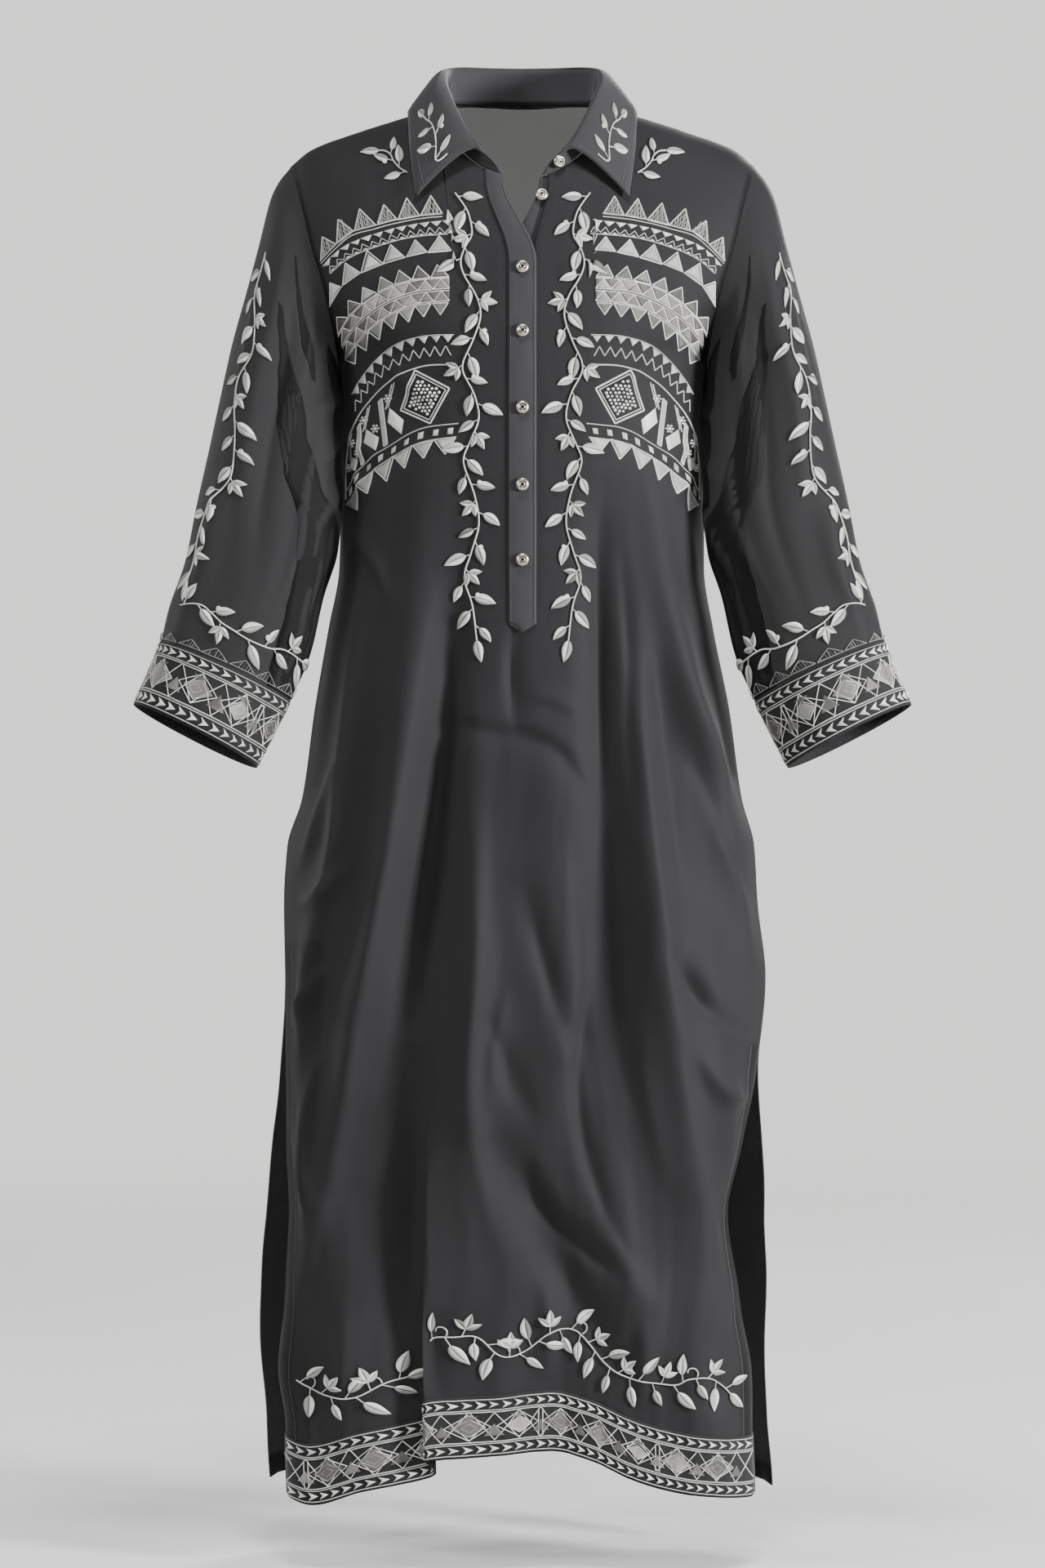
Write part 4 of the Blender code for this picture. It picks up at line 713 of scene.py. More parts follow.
class PanelForm(Surface):
    """The front or the back, hem to shoulder, walked across by xi from -1 to 1 and up by rows."""

    band_rows = 12
    body_rows = 190
    yoke_rows = 46

    def __init__(
        self,
        panel: str,
        columns: Array,
        folds: dict[str, Array],
        creases: Sequence[Crease],
        splayed: bool = True,
    ) -> None:
        self.panel = panel
        self.splayed = splayed and panel == "front"
        self.columns = columns
        self.above = self.band_rows + self.body_rows
        self.rows = self.above + self.yoke_rows + 1
        xi, row = np.meshgrid(columns, np.arange(float(self.rows)))
        z = self.height(xi, row)
        base = body_base(panel, xi, z, splayed)
        outward = (0, -1, 0) if panel == "front" else (0, 1, 0)
        x = base[..., 0]
        relief = fold_relief(folds, x, z) + crease_relief(creases, x, z)
        relief += self.ripple(x, z)
        relief *= np.clip((1 - np.abs(xi)) / 0.12, 0, 1)
        points = base + normals(base, outward) * relief[..., None]
        points[..., 0] += self.edge_wave(xi, z)
        super().__init__(lap(points) if panel == "front" else points, outward)

    def ripple(self, x: Array, z: Array) -> Array:
        """Slight unevenness everywhere, a little more down the skirt."""
        seed = 1.0 if self.panel == "front" else 6.0
        swell = 0.0004 + 0.0009 * blend(-0.45, -0.95, z)
        drift = 0.012 * wander(z * 9, seed)
        broad = wander((x + drift) * 95, seed) * (0.8 + 0.4 * wander(z * 14, seed + 2))
        fine = wander((x + drift * 2 + 0.15 * z) * 260, seed + 5) * wander(z * 30 + x * 20, seed)
        return swell * (broad + 0.35 * fine)

    def edge_wave(self, xi: Array, z: Array) -> Array:
        """The slit edges aren't ruler-straight."""
        near = np.clip((np.abs(xi) - 0.80) / 0.20, 0, 1) ** 2
        return near * blend(-0.78, -0.95, z) * 0.0026 * wander(z * 15, 3.0 + xi)

    def top_z(self, xi: Array) -> Array:
        x = xi * BODY["front_right"][-1]
        if self.splayed:
            x = x + splay(xi, np.full_like(xi, NECK_MIDDLE_Z["front"]))
        at_neck = np.abs(x) < NECK_HALF
        return np.where(at_neck, neckline_z(self.panel, x), shoulder_z(self.panel, xi))

    def height(self, xi: Array, row: Array) -> Array:
        """Height of a row: even below the underarm, and even in angle over the shoulder."""
        hem = hem_z(self.panel, xi)
        band = hem + HEM_BAND_HEIGHT * row / self.band_rows
        top = hem + HEM_BAND_HEIGHT
        body = top + (UNDERARM_Z - top) * (row - self.band_rows) / self.body_rows
        reach = np.arcsin(rise(self.panel, xi, self.top_z(xi)))
        angle = reach * np.clip((row - self.above) / self.yoke_rows, 0, 1)
        yoke = UNDERARM_Z + (shoulder_z(self.panel, xi) - UNDERARM_Z) * np.sin(angle)
        return np.where(row < self.band_rows, band, np.where(row <= self.above, body, yoke))

    def place(self, x: Array, z: Array) -> tuple[Array, Array]:
        """Fractional row and column of the points that stand at (x, z)."""
        x, z = np.asarray(x, float), np.asarray(z, float)
        xi = x / half_width(self.panel, x, z)
        for _ in range(6 if self.splayed else 0):
            half = half_width(self.panel, x, z)
            xi = xi + (x - xi * half - splay(xi, z)) / half
        hem = hem_z(self.panel, xi)
        top = hem + HEM_BAND_HEIGHT
        band = (z - hem) / HEM_BAND_HEIGHT * self.band_rows
        body = self.band_rows + (z - top) / (UNDERARM_Z - top) * self.body_rows
        reach = np.arcsin(rise(self.panel, xi, self.top_z(xi)))
        yoke = self.above + self.yoke_rows * np.arcsin(rise(self.panel, xi, z)) / reach
        row = np.where(z < top, band, np.where(z <= UNDERARM_Z, body, yoke))
        return row, self.column_at(xi)

    def column_at(self, xi: Array) -> Array:
        """Fractional column at a share of the way across."""
        return np.interp(xi, self.columns, np.arange(len(self.columns)))

    def slit_row(self, side: Side) -> float:
        """The row where a side's slit starts."""
        return float(self.place(side.sign * CHART_HALF, SLIT_TOP_Z - SLIT_SHUT[side.value])[0])

    def on(self, x: Array, z: Array, out: Array | float) -> Array:
        """Points on the panel at (x, z), moved out."""
        row, col = self.place(x, z)
        return self.lay(row, col, out)


def armhole_point(angle: Array) -> Array:
    """Point of the right armhole: 0 is the shoulder point, pi the underarm, the front between."""
    share = (1 - np.cos(angle)) / 2
    z = SHOULDER_Z + (UNDERARM_Z - SHOULDER_Z) * share
    front = body_base("front", np.full_like(z, -1.0), z)
    back = body_base("back", np.full_like(z, -1.0), z)
    return np.where((np.sin(angle) >= 0)[..., None], front, back)


class SleeveForm(Surface):
    """The right sleeve: rows run down it, columns round it from the outer edge over the front.

    The left one is the same form mirrored.
    """

    def __init__(self, side: Side, rows: int, cols: int, creases: Sequence[Crease]) -> None:
        self.mirror = np.array([-side.sign, 1.0, 1.0])
        seed = 1.0 if side is Side.RIGHT else 4.0
        angle, t = np.meshgrid(np.linspace(0, 2 * math.pi, cols + 1), np.linspace(0, 1, rows + 1))
        super().__init__(self.shape(angle, t, creases, seed), (0, 0, 1))
        middle = self.points.mean(1, keepdims=True)
        if ((self.points - middle) * self.normals).sum() < 0:
            self.normals = -self.normals
        closing = self.normals[:, 0] + self.normals[:, -1]
        closing /= np.linalg.norm(closing, axis=-1, keepdims=True)
        self.normals[:, 0] = self.normals[:, -1] = closing
        self.run = run_of(self.points[:, cols // 9])
        self.girth = np.linalg.norm(np.diff(self.points, axis=1), axis=2).sum(1)

    def shape(self, angle: Array, t: Array, creases: Sequence[Crease], seed: float) -> Array:
        stations = np.linspace(0, 1, len(SLEEVE["outer_x"]) + 1)
        armhole = armhole_point(np.array([0.0, math.pi]))
        start = (*armhole[:, ::2].ravel(), *SLEEVE_START)
        read = {name: smooth(stations, np.r_[first, SLEEVE[name]], t) for name, first in zip(SLEEVE, start)}
        cos, sin = np.cos(angle), np.sin(angle)
        outer, inner = (np.stack([read[f"{edge}_x"], read[f"{edge}_z"]], -1) for edge in ("outer", "inner"))
        x, z = np.moveaxis((outer + inner) / 2 + (outer - inner) / 2 * cos[..., None], -1, 0)
        points = np.stack([x, read["mid_y"] - read["depth"] * sin, z + read["droop"] * sin], -1)
        fade = (1 - blend(0.0, 0.22, t))[..., None]
        points = points + (armhole_point(angle[0]) - points[0])[None] * fade
        under = np.clip(-cos, 0, 1) ** 2
        points[..., 0] += (0.0014 + 0.0010 * under) * (1 - blend(0.0, 0.05, t))
        points[..., 0] += 0.0024 * under * (1 - blend(0.05, 0.35, t))
        relief = np.zeros_like(t)
        for i in range(len(SLEEVE_FOLDS["angle"])):
            row = {name: values[i] for name, values in SLEEVE_FOLDS.items()}
            away = np.angle(np.exp(1j * (angle - row["angle"] - row["twist"] * t)))
            swell = blend(0.05, 0.40, t) * (1 - 0.55 * blend(0.80, 1.0, t))
            relief += row["height"] * swell * np.exp(-((away / row["width"]) ** 2))
        relief += crease_relief(creases, angle * SLEEVE_RADIUS, -t * SLEEVE_RUN)
        calm = blend(0.02, 0.12, t) * (1 - 0.7 * blend(0.86, 0.93, t))
        ripple = wander(angle * 5 + 4 * t, seed) * (0.6 + 0.4 * wander(t * 9, seed))
        relief += 0.0009 * calm * ripple
        across = outer - inner
        tilt = np.stack([across[..., 0], 0 * t, across[..., 1]], -1)
        tilt /= np.linalg.norm(tilt, axis=-1, keepdims=True)
        out = tilt * cos[..., None] + np.array([0.0, -1.0, 0.0]) * sin[..., None]
        return points + out * relief[..., None]

    def on(self, down: Array, around: Array, out: Array | float) -> Array:
        """Points at distances down the sleeve and round it from its outer edge, moved out."""
        row = np.interp(down, self.run, np.arange(len(self.run)))
        col = around / np.interp(down, self.run, self.girth) % 1.0 * (self.points.shape[1] - 1)
        return self.lay(row, col, out + SLEEVE_FACE) * self.mirror


class CollarForm:
    """The collar: a stand round the neck and a leaf that turns down over it."""

    def __init__(self, front: PanelForm, back: PanelForm) -> None:
        self.front = front
        self.back = back
        half = np.linspace(0.002, 1, 72)
        self.across = np.r_[-half, half[-2::-1]]
        base, top = self.stand_curves()
        share = np.linspace(0.03, 1, 9)[:, None, None]
        bow = np.sin(np.pi * share) * STAND_BOW
        lean = (top + base) / 2 * np.array([1, 1, 0])
        lean /= np.linalg.norm(lean, axis=1, keepdims=True)
        points = base + (top - base) * share + lean * bow
        near = 1 - blend(0.0, 0.16, np.abs(self.across))
        points[..., 0] -= np.sign(self.across) * STAND_END_ROUND * near * 4 * (share * (1 - share))[..., 0]
        self.stand = Surface(points, (0, 1, 0))
        self.leaf = Surface(self.leaf_points(top), (0, 0, 1))
        edge = self.leaf.points[-1]
        self.leaf_run = run_of(edge)
        self.leaf_reach = np.linalg.norm(edge - self.leaf.points[LEAF_ROLL_ROWS], axis=1).mean()

    def stand_curves(self) -> tuple[Array, Array]:
        """Base and top of the stand, from its right front end round the back to its left."""
        share = np.abs(self.across)
        side = np.sign(self.across)
        first = math.asin(STAND_FRONT_X / NECK_HALF)
        forward = share < STAND_SIDE_SHARE
        turn = np.where(
            forward,
            first + (math.pi / 2 - first) * share / STAND_SIDE_SHARE,
            math.pi / 2 * (1 - share) / (1 - STAND_SIDE_SHARE),
        )
        x = NECK_HALF * np.sin(turn) * side
        on_front = self.front.on(x, neckline_z("front", x), 0.0)
        on_back = self.back.on(x, neckline_z("back", x), 0.0)
        base = np.where(forward[:, None], on_front, on_back)
        top = np.stack([column(STAND_TOP, axis, share) for axis in "xyz"], -1)
        top[:, 0] *= side
        return base, top

    def leaf_points(self, top: Array) -> Array:
        """Rows of the leaf, from inside the roll at the stand's top down to its edge."""
        share = np.abs(self.across)
        x = column(LEAF_EDGE, "x", share) * np.sign(self.across)
        z = column(LEAF_EDGE, "z", share)
        clear = column(LEAF_EDGE, "clear", share) + 0.0005
        to_back = blend(0.50, 0.66, share)[:, None]
        edge = self.front.on(x, z, clear) * (1 - to_back) + self.back.on(x, z, clear) * to_back
        edge[:, 2] = np.maximum(edge[:, 2], z - 0.004)
        away = (edge - top) * np.array([1, 1, 0])
        away /= np.linalg.norm(away, axis=1, keepdims=True)
        up = np.array([0, 0, 1.0])
        start = top + away * 0.0026 + up * 0.0022
        over = start + away * 0.012 + up * 0.0010
        rows = [top - away * 0.0010 + up * 0.0003, top + away * 0.0004 + up * 0.0018]
        for w in np.linspace(0, 1, 17):
            rows.append(start * (1 - w) ** 2 + over * 2 * w * (1 - w) + edge * w**2)
        return np.array(rows)

    def on_leaf(self, along: Array, down: Array, out: Array, side: Side = Side.RIGHT) -> Array:
        """Points at distances along the leaf's edge from a side's front end and out over it."""
        rows, cols = self.leaf.points.shape[:2]
        col = np.interp(along, self.leaf_run, np.arange(cols))
        row = LEAF_ROLL_ROWS + down / self.leaf_reach * (rows - 1 - LEAF_ROLL_ROWS)
        return self.leaf.lay(row, col if side is Side.RIGHT else cols - 1 - col, out)


@dataclass(frozen=True)
class Forms:
    """The garment's forms, which its cloth and thread share.

    Attributes:
        front: The front.
        shut_front: The front as if the neck were closed, which the placket keeps to.
        back: The back.
        sleeves: Both sleeves.
        collar: The collar.
    """

    front: PanelForm
    shut_front: PanelForm
    back: PanelForm
    sleeves: dict[Side, SleeveForm]
    collar: CollarForm


# ---------------------------------------------------------------------------------------------------
# Materials


def linear(code: str) -> tuple[float, float, float, float]:
    """An sRGB hex colour as linear RGBA."""
    channels = [int(code[i : i + 2], 16) / 255 for i in (1, 3, 5)]
    red, green, blue = (c / 12.92 if c <= 0.04045 else ((c + 0.055) / 1.055) ** 2.4 for c in channels)
    return red, green, blue, 1.0


class Shading:
    """A material with its Principled shader, and the one way nodes are added to it."""

    def __init__(self, name: str) -> None:
        self.material = bpy.data.materials.new(name)
        self.material.use_nodes = True
        self.tree = self.material.node_tree
        self.shader = self.tree.nodes["Principled BSDF"]

    def add(self, kind: str, inputs: dict[str | int, object], **settings: object) -> bpy.types.Node:
        """Adds a node.

        Args:
            kind: The node's type name.
            inputs: Input name or index to a value, or to the output socket that feeds it.
            settings: Properties of the node itself.

        Returns:
            The node.
        """
        node = self.tree.nodes.new(kind)
        for name, value in settings.items():
            setattr(node, name, value)
        for key, value in inputs.items():
            self.feed(node.inputs[key], value)
        return node

    def feed(self, socket: Socket, value: object) -> None:
        if isinstance(value, Socket):
            self.tree.links.new(value, socket)
        else:
            socket.default_value = value

    def surface(self, **inputs: object) -> None:
        """Sets or feeds inputs of the Principled shader, its name's spaces written as underscores."""
        for name, value in inputs.items():
            self.feed(self.shader.inputs[name.replace("_", " ")], value)

    def attribute(self, name: str) -> Socket:
        return self.add("ShaderNodeAttribute", {}, attribute_name=name).outputs["Fac"]

    def noise(self, scale: float, detail: float, rough: float = 0.5) -> Socket:
        """Noise in object space. Scale is in waves to the metre."""
        place = self.add("ShaderNodeTexCoord", {}).outputs["Object"]
        inputs = {"Vector": place, "Scale": scale, "Detail": detail, "Roughness": rough}
        return self.add("ShaderNodeTexNoise", inputs).outputs["Fac"]

    def span(self, value: object, low: float, high: float) -> Socket:
        """A 0 to 1 value spread from low to high."""
        inputs = {"Value": value, "To Min": low, "To Max": high}
        return self.add("ShaderNodeMapRange", inputs).outputs["Result"]

    def mix(self, share: object, first: object, second: object) -> Socket:
        """Mixes two colours."""
        node = self.add("ShaderNodeMix", {0: share, 6: first, 7: second}, data_type="RGBA")
        return node.outputs[2]

    def bump(self, height: object, distance: float, under: object = None) -> Socket:
        """Bump of a real depth in metres, over another bump if one is given."""
        inputs = {"Height": height, "Distance": distance, "Strength": 1.0}
        if under is not None:
            inputs["Normal"] = under
        return self.add("ShaderNodeBump", inputs).outputs["Normal"]

    def stripes(self, pitch: float, direction: str) -> Socket:
        """Threads side by side across a direction of the UV map, which is in metres."""
        uv = self.add("ShaderNodeTexCoord", {}).outputs["UV"]
        turns = math.pi / 10
        inputs = {"Vector": uv, "Scale": turns / pitch, "Distortion": 0.0}
        node = self.add("ShaderNodeTexWave", inputs, bands_direction=direction)
        return node.outputs["Fac"]


@dataclass(frozen=True)
class ClothFinish:
    """A dyed georgette: its two tones, a darker colour for doubled cloth that also paints shade beside the
    armpits, and how sheer and crinkled it is.
    """

    name: str
    dark: str
    light: str
    doubled_and_shade: str
    alpha: float
    roughness: float
    sheen: float
    crinkle: float

    def material(self) -> Material:
        """Crepe-twisted polyester georgette, piece dyed: a dry matte face with a faint pale bloom."""
        look = Shading(self.name)
        cloud = look.noise(16.0, 3.0, 0.55)
        speck = look.noise(950.0, 2.0, 0.6)
        tone = look.mix(look.span(cloud, 0.1, 0.9), linear(self.dark), linear(self.light))
        grain = look.mix(look.span(speck, 0.0, 0.06), tone, linear("#707072"))
        # Doubled cloth takes the darker colour, and so does the painted shade beside the armpits.
        color = look.mix(look.attribute("ply_and_shade"), grain, linear(self.doubled_and_shade))
        warp = look.stripes(0.00055, "X")
        weft = look.stripes(0.00060, "Y")
        weave = look.add("ShaderNodeMath", {0: warp, 1: weft}, operation="MULTIPLY").outputs[0]
        threads = look.bump(weave, 0.000008)
        crepe = look.bump(look.noise(520.0, 4.0, 0.65), self.crinkle, threads)
        soft = look.bump(look.noise(90.0, 3.0, 0.5), self.crinkle * 4, crepe)
        look.surface(
            Base_Color=color,
            Roughness=look.span(speck, self.roughness - 0.06, self.roughness + 0.06),
            Normal=soft,
        )
        look.surface(
            Specular_IOR_Level=0.14,
            Sheen_Weight=self.sheen,
            Sheen_Roughness=0.42,
            Sheen_Tint=linear("#D9DADD"),
            Alpha=self.alpha,
        )
        return look.material


@dataclass(frozen=True)
class ThreadFinish:
    """Embroidery thread: its dull and bright tones, its metal share and the pitch of its stitches."""

    name: str
    dull: str
    bright: str
    metallic: float
    roughness: float
    pitch: float

    def material(self) -> Material:
        """Flat silver-plated strip wound on a cotton core, laid in satin stitches side by side."""
        look = Shading(self.name)
        patchy = look.noise(240.0, 3.0, 0.6)
        tone = look.mix(look.attribute("tone"), linear(self.dull), linear(self.bright))
        worn = look.mix(look.span(patchy, 0.0, 0.40), tone, linear(self.dull))
        thread = look.stripes(self.pitch, "X")
        color = look.mix(look.span(thread, 0.30, 0.0), worn, linear("#6E6C68"))
        raised = look.bump(thread, 0.00012)
        fuzz = look.bump(look.noise(1500.0, 2.0), 0.00005, raised)
        look.surface(
            Base_Color=color,
            Roughness=look.span(patchy, self.roughness - 0.08, self.roughness + 0.14),
            Normal=fuzz,
        )
        look.surface(Metallic=self.metallic, Specular_IOR_Level=0.5)
        return look.material


@dataclass(frozen=True)
class ButtonFinish:
    """Cast and plated button metal, darkened where a polish doesn't reach."""

    name: str
    bright: str
    patina: str

    def material(self) -> Material:
        """Nickel-silver casting, antiqued black and then buffed on its high places."""
        look = Shading(self.name)
        pits = look.noise(1800.0, 3.0, 0.6)
        hollow = look.attribute("hollow")
        color = look.mix(hollow, linear(self.bright), linear(self.patina))
        look.surface(
            Base_Color=color,
            Roughness=look.span(pits, 0.22, 0.42),
            Normal=look.bump(pits, 0.00004),
        )
        look.surface(Metallic=1.0)
        return look.material


@dataclass(frozen=True)
class StudioFinish:
    """The studio floor: two close tones, and how far out it fades into the air."""

    name: str
    dark: str
    light: str
    fade: tuple[float, float]

    def material(self) -> Material:
        """Pale matte studio paint, rolled on."""
        look = Shading(self.name)
        color = look.mix(look.noise(1.3, 3.0), linear(self.dark), linear(self.light))
        place = look.add("ShaderNodeTexCoord", {}).outputs["Object"]
        away = look.add("ShaderNodeVectorMath", {0: place}, operation="LENGTH").outputs["Value"]
        near, far = self.fade
        inputs = {"Value": away, "From Min": near, "From Max": far, "To Min": 1.0, "To Max": 0.0}
        shown = look.add("ShaderNodeMapRange", inputs, interpolation_type="SMOOTHSTEP").outputs["Result"]
        look.surface(Base_Color=color, Alpha=shown)
        look.surface(Roughness=0.9, Specular_IOR_Level=0.1)
        return look.material


class Palette:
    """The materials, each made once."""

    def __init__(self) -> None:
        # The third colour of each is for doubled cloth and for the painted shade beside the armpits.
        georgette = ("#1A1A1C", "#242426", "#0F0F10")
        plain = (0.70, 0.05, 0.000025)
        self.body = ClothFinish("georgette_body", *georgette, 0.80, *plain).material()
        self.back = ClothFinish("georgette_back", *georgette, 0.69, *plain).material()
        self.sleeve = ClothFinish("georgette_sleeve", *georgette, 0.67, *plain).material()
        border = ("#19191A", "#212122", "#101011", 1.0, 0.75, 0.12, 0.00005)
        self.border = ClothFinish("georgette_border", *border).material()
        collar = ("#2A2A2C", "#343436", "#19191A", 1.0, 0.72, 0.18, 0.00005)
        self.collar = ClothFinish("georgette_collar", *collar).material()
        self.silver = ThreadFinish("silver_thread", "#4A4845", "#FFFEFA", 0.20, 0.30, 0.00042).material()
        fine = ("#504E4B", "#FFFDF8", 0.22, 0.34, 0.00040)
        self.fine_silver = ThreadFinish("fine_silver_thread", *fine).material()
        self.sewing = ThreadFinish("sewing_thread", "#2B2B2E", "#55555A", 0.0, 0.70, 0.00030).material()
        self.button = ButtonFinish("button_metal", "#C9C4B8", "#2A2622").material()
        self.studio = StudioFinish("studio_paint", "#D2D2D1", "#DEDEDD", (1.0, 4.5)).material()


# ---------------------------------------------------------------------------------------------------
# Making meshes


@dataclass
class Patchwork:
    """Points and faces gathered for one mesh, with a UV map in metres and one named attribute."""

    attribute: str
    points: list[Array] = field(default_factory=list)
    faces: list[tuple[int, ...]] = field(default_factory=list)
    uv: list[Array] = field(default_factory=list)
    values: list[Array] = field(default_factory=list)
    count: int = 0

    def add(self, points: Array, faces: Sequence[Sequence[int]], uv: Array, value: Array | float) -> None:
        """Adds one patch.

        Args:
            points: Its points.
            faces: Its faces, as indices into its own points.
            uv: Two numbers for each point.
            value: The attribute, for each point or for all.
        """
        self.points.append(points)
        self.faces += [tuple(int(i) + self.count for i in face) for face in faces]
        self.uv.append(uv)
        self.values.append(np.broadcast_to(value, len(points)))
        self.count += len(points)

    def grid(
        self, points: Array, uv: Array, value: Array | float, facing: Array, skip: Array | None = None
    ) -> None:
        """Adds a grid of points as quads.

        Args:
            points: Rows and columns of points.
            uv: Two numbers for each point.
            value: The attribute, for each point or for all.
            facing: For each point, a direction out of the face.
            skip: Marks the cells that stay open.
        """
        rows, cols = points.shape[:2]
        r, c = np.meshgrid(np.arange(rows - 1), np.arange(cols - 1), indexing="ij")
        first = r * cols + c
        quads = np.stack([first, first + 1, first + cols + 1, first + cols], -1)
        quads = quads.reshape(-1, 4) if skip is None else quads[~skip]
        row, col = (rows - 1) // 2, (cols - 1) // 2
        spot = points[row, col]
        turned = np.cross(points[row, col + 1] - spot, points[row + 1, col] - spot)
        if turned @ facing[row, col] < 0:
            quads = quads[:, ::-1]
        values = np.broadcast_to(value, points.shape[:2]).reshape(-1)
        self.add(points.reshape(-1, points.shape[-1]), quads.tolist(), uv.reshape(-1, 2), values)

    def build(self, name: str, material: Material, laid: Array | None = None) -> Object:
        """Makes the mesh object.

        Args:
            name: The piece's name.
            material: Its material.
            laid: The points' places, where the gathered ones are flat.

        Returns:
            The object, at the origin.
        """
        points = np.concatenate(self.points) if laid is None else laid
        mesh = bpy.data.meshes.new(name)
        mesh.from_pydata(points.tolist(), [], self.faces)
        corner = np.empty(len(mesh.loops), np.int32)
        mesh.loops.foreach_get("vertex_index", corner)
        uv = np.concatenate(self.uv)[corner].astype(np.float32)
        mesh.uv_layers.new(name="UVMap").uv.foreach_set("vector", uv.ravel())
        values = np.concatenate(self.values).astype(np.float32)
        mesh.attributes.new(self.attribute, "FLOAT", "POINT").data.foreach_set("value", values)
        mesh.materials.append(material)
        made = bpy.data.objects.new(name, mesh)
        bpy.context.scene.collection.objects.link(made)
        return made


def finish_cloth(
    work: Patchwork,
    name: str,
    material: Material,
    thickness: float = CLOTH,
    inward: bool = True,
) -> Object:
    """Makes gathered grids into cloth with a wall, closed along a tube's seam and smooth but for cut edges.

    Args:
        work: The grids.
        name: The piece's name.
        material: Its material.
        thickness: The wall's thickness.
        inward: Whether the wall grows in from the grids.

    Returns:
        The piece.
    """
    made = work.build(name, material)
    builder = bmesh.new()
    builder.from_mesh(made.data)
    loose = [v for v in builder.verts if not v.link_faces]
    bmesh.ops.delete(builder, geom=loose, context="VERTS")
    bmesh.ops.remove_doubles(builder, verts=builder.verts, dist=1e-6)
    builder.to_mesh(made.data)
    builder.free()
    made.data.shade_smooth()
    shell = made.modifiers.new("Cloth", "SOLIDIFY")
    shell.thickness = thickness
    shell.offset = -1 if inward else 1
    shell.use_even_offset = False
    made.data.set_sharp_from_angle(angle=math.radians(60))
    return made


def join_to_frame(made: Object, nodes: Sequence[str] = ()) -> Object:
    """Every piece rides on the one body, and may stand for construction nodes."""
    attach(made, "root")
    if nodes:
        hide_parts(*nodes)
    return made


# ---------------------------------------------------------------------------------------------------
# Embroidery


LEAF_ALONG = np.array([0.0, 0.05, 0.14, 0.26, 0.40, 0.56, 0.72, 0.87, 1.0])
LEAF_OUTLINE = LEAF_ALONG**0.72 * (1 - LEAF_ALONG) ** 1.08 / 0.2978
LEAF_ACROSS = np.array([-1.0, -0.86, -0.50, -0.13, 0.0, 0.13, 0.50, 0.86, 1.0])
LEAF_RISE = np.array([0.0, 0.62, 1.0, 0.72, 0.14, 0.72, 1.0, 0.62, 0.0])
# Painted light and shade: one half of each leaf lighter, the other darker, and the vein darkest, as light
# falls on them.
LEAF_PAINTED_LIGHT = 0.32 * np.sign(LEAF_ACROSS) - (LEAF_ACROSS == 0)
STITCH_SLANT = 0.8
UPWARD = np.array([0.0, 0.0, 1.0])


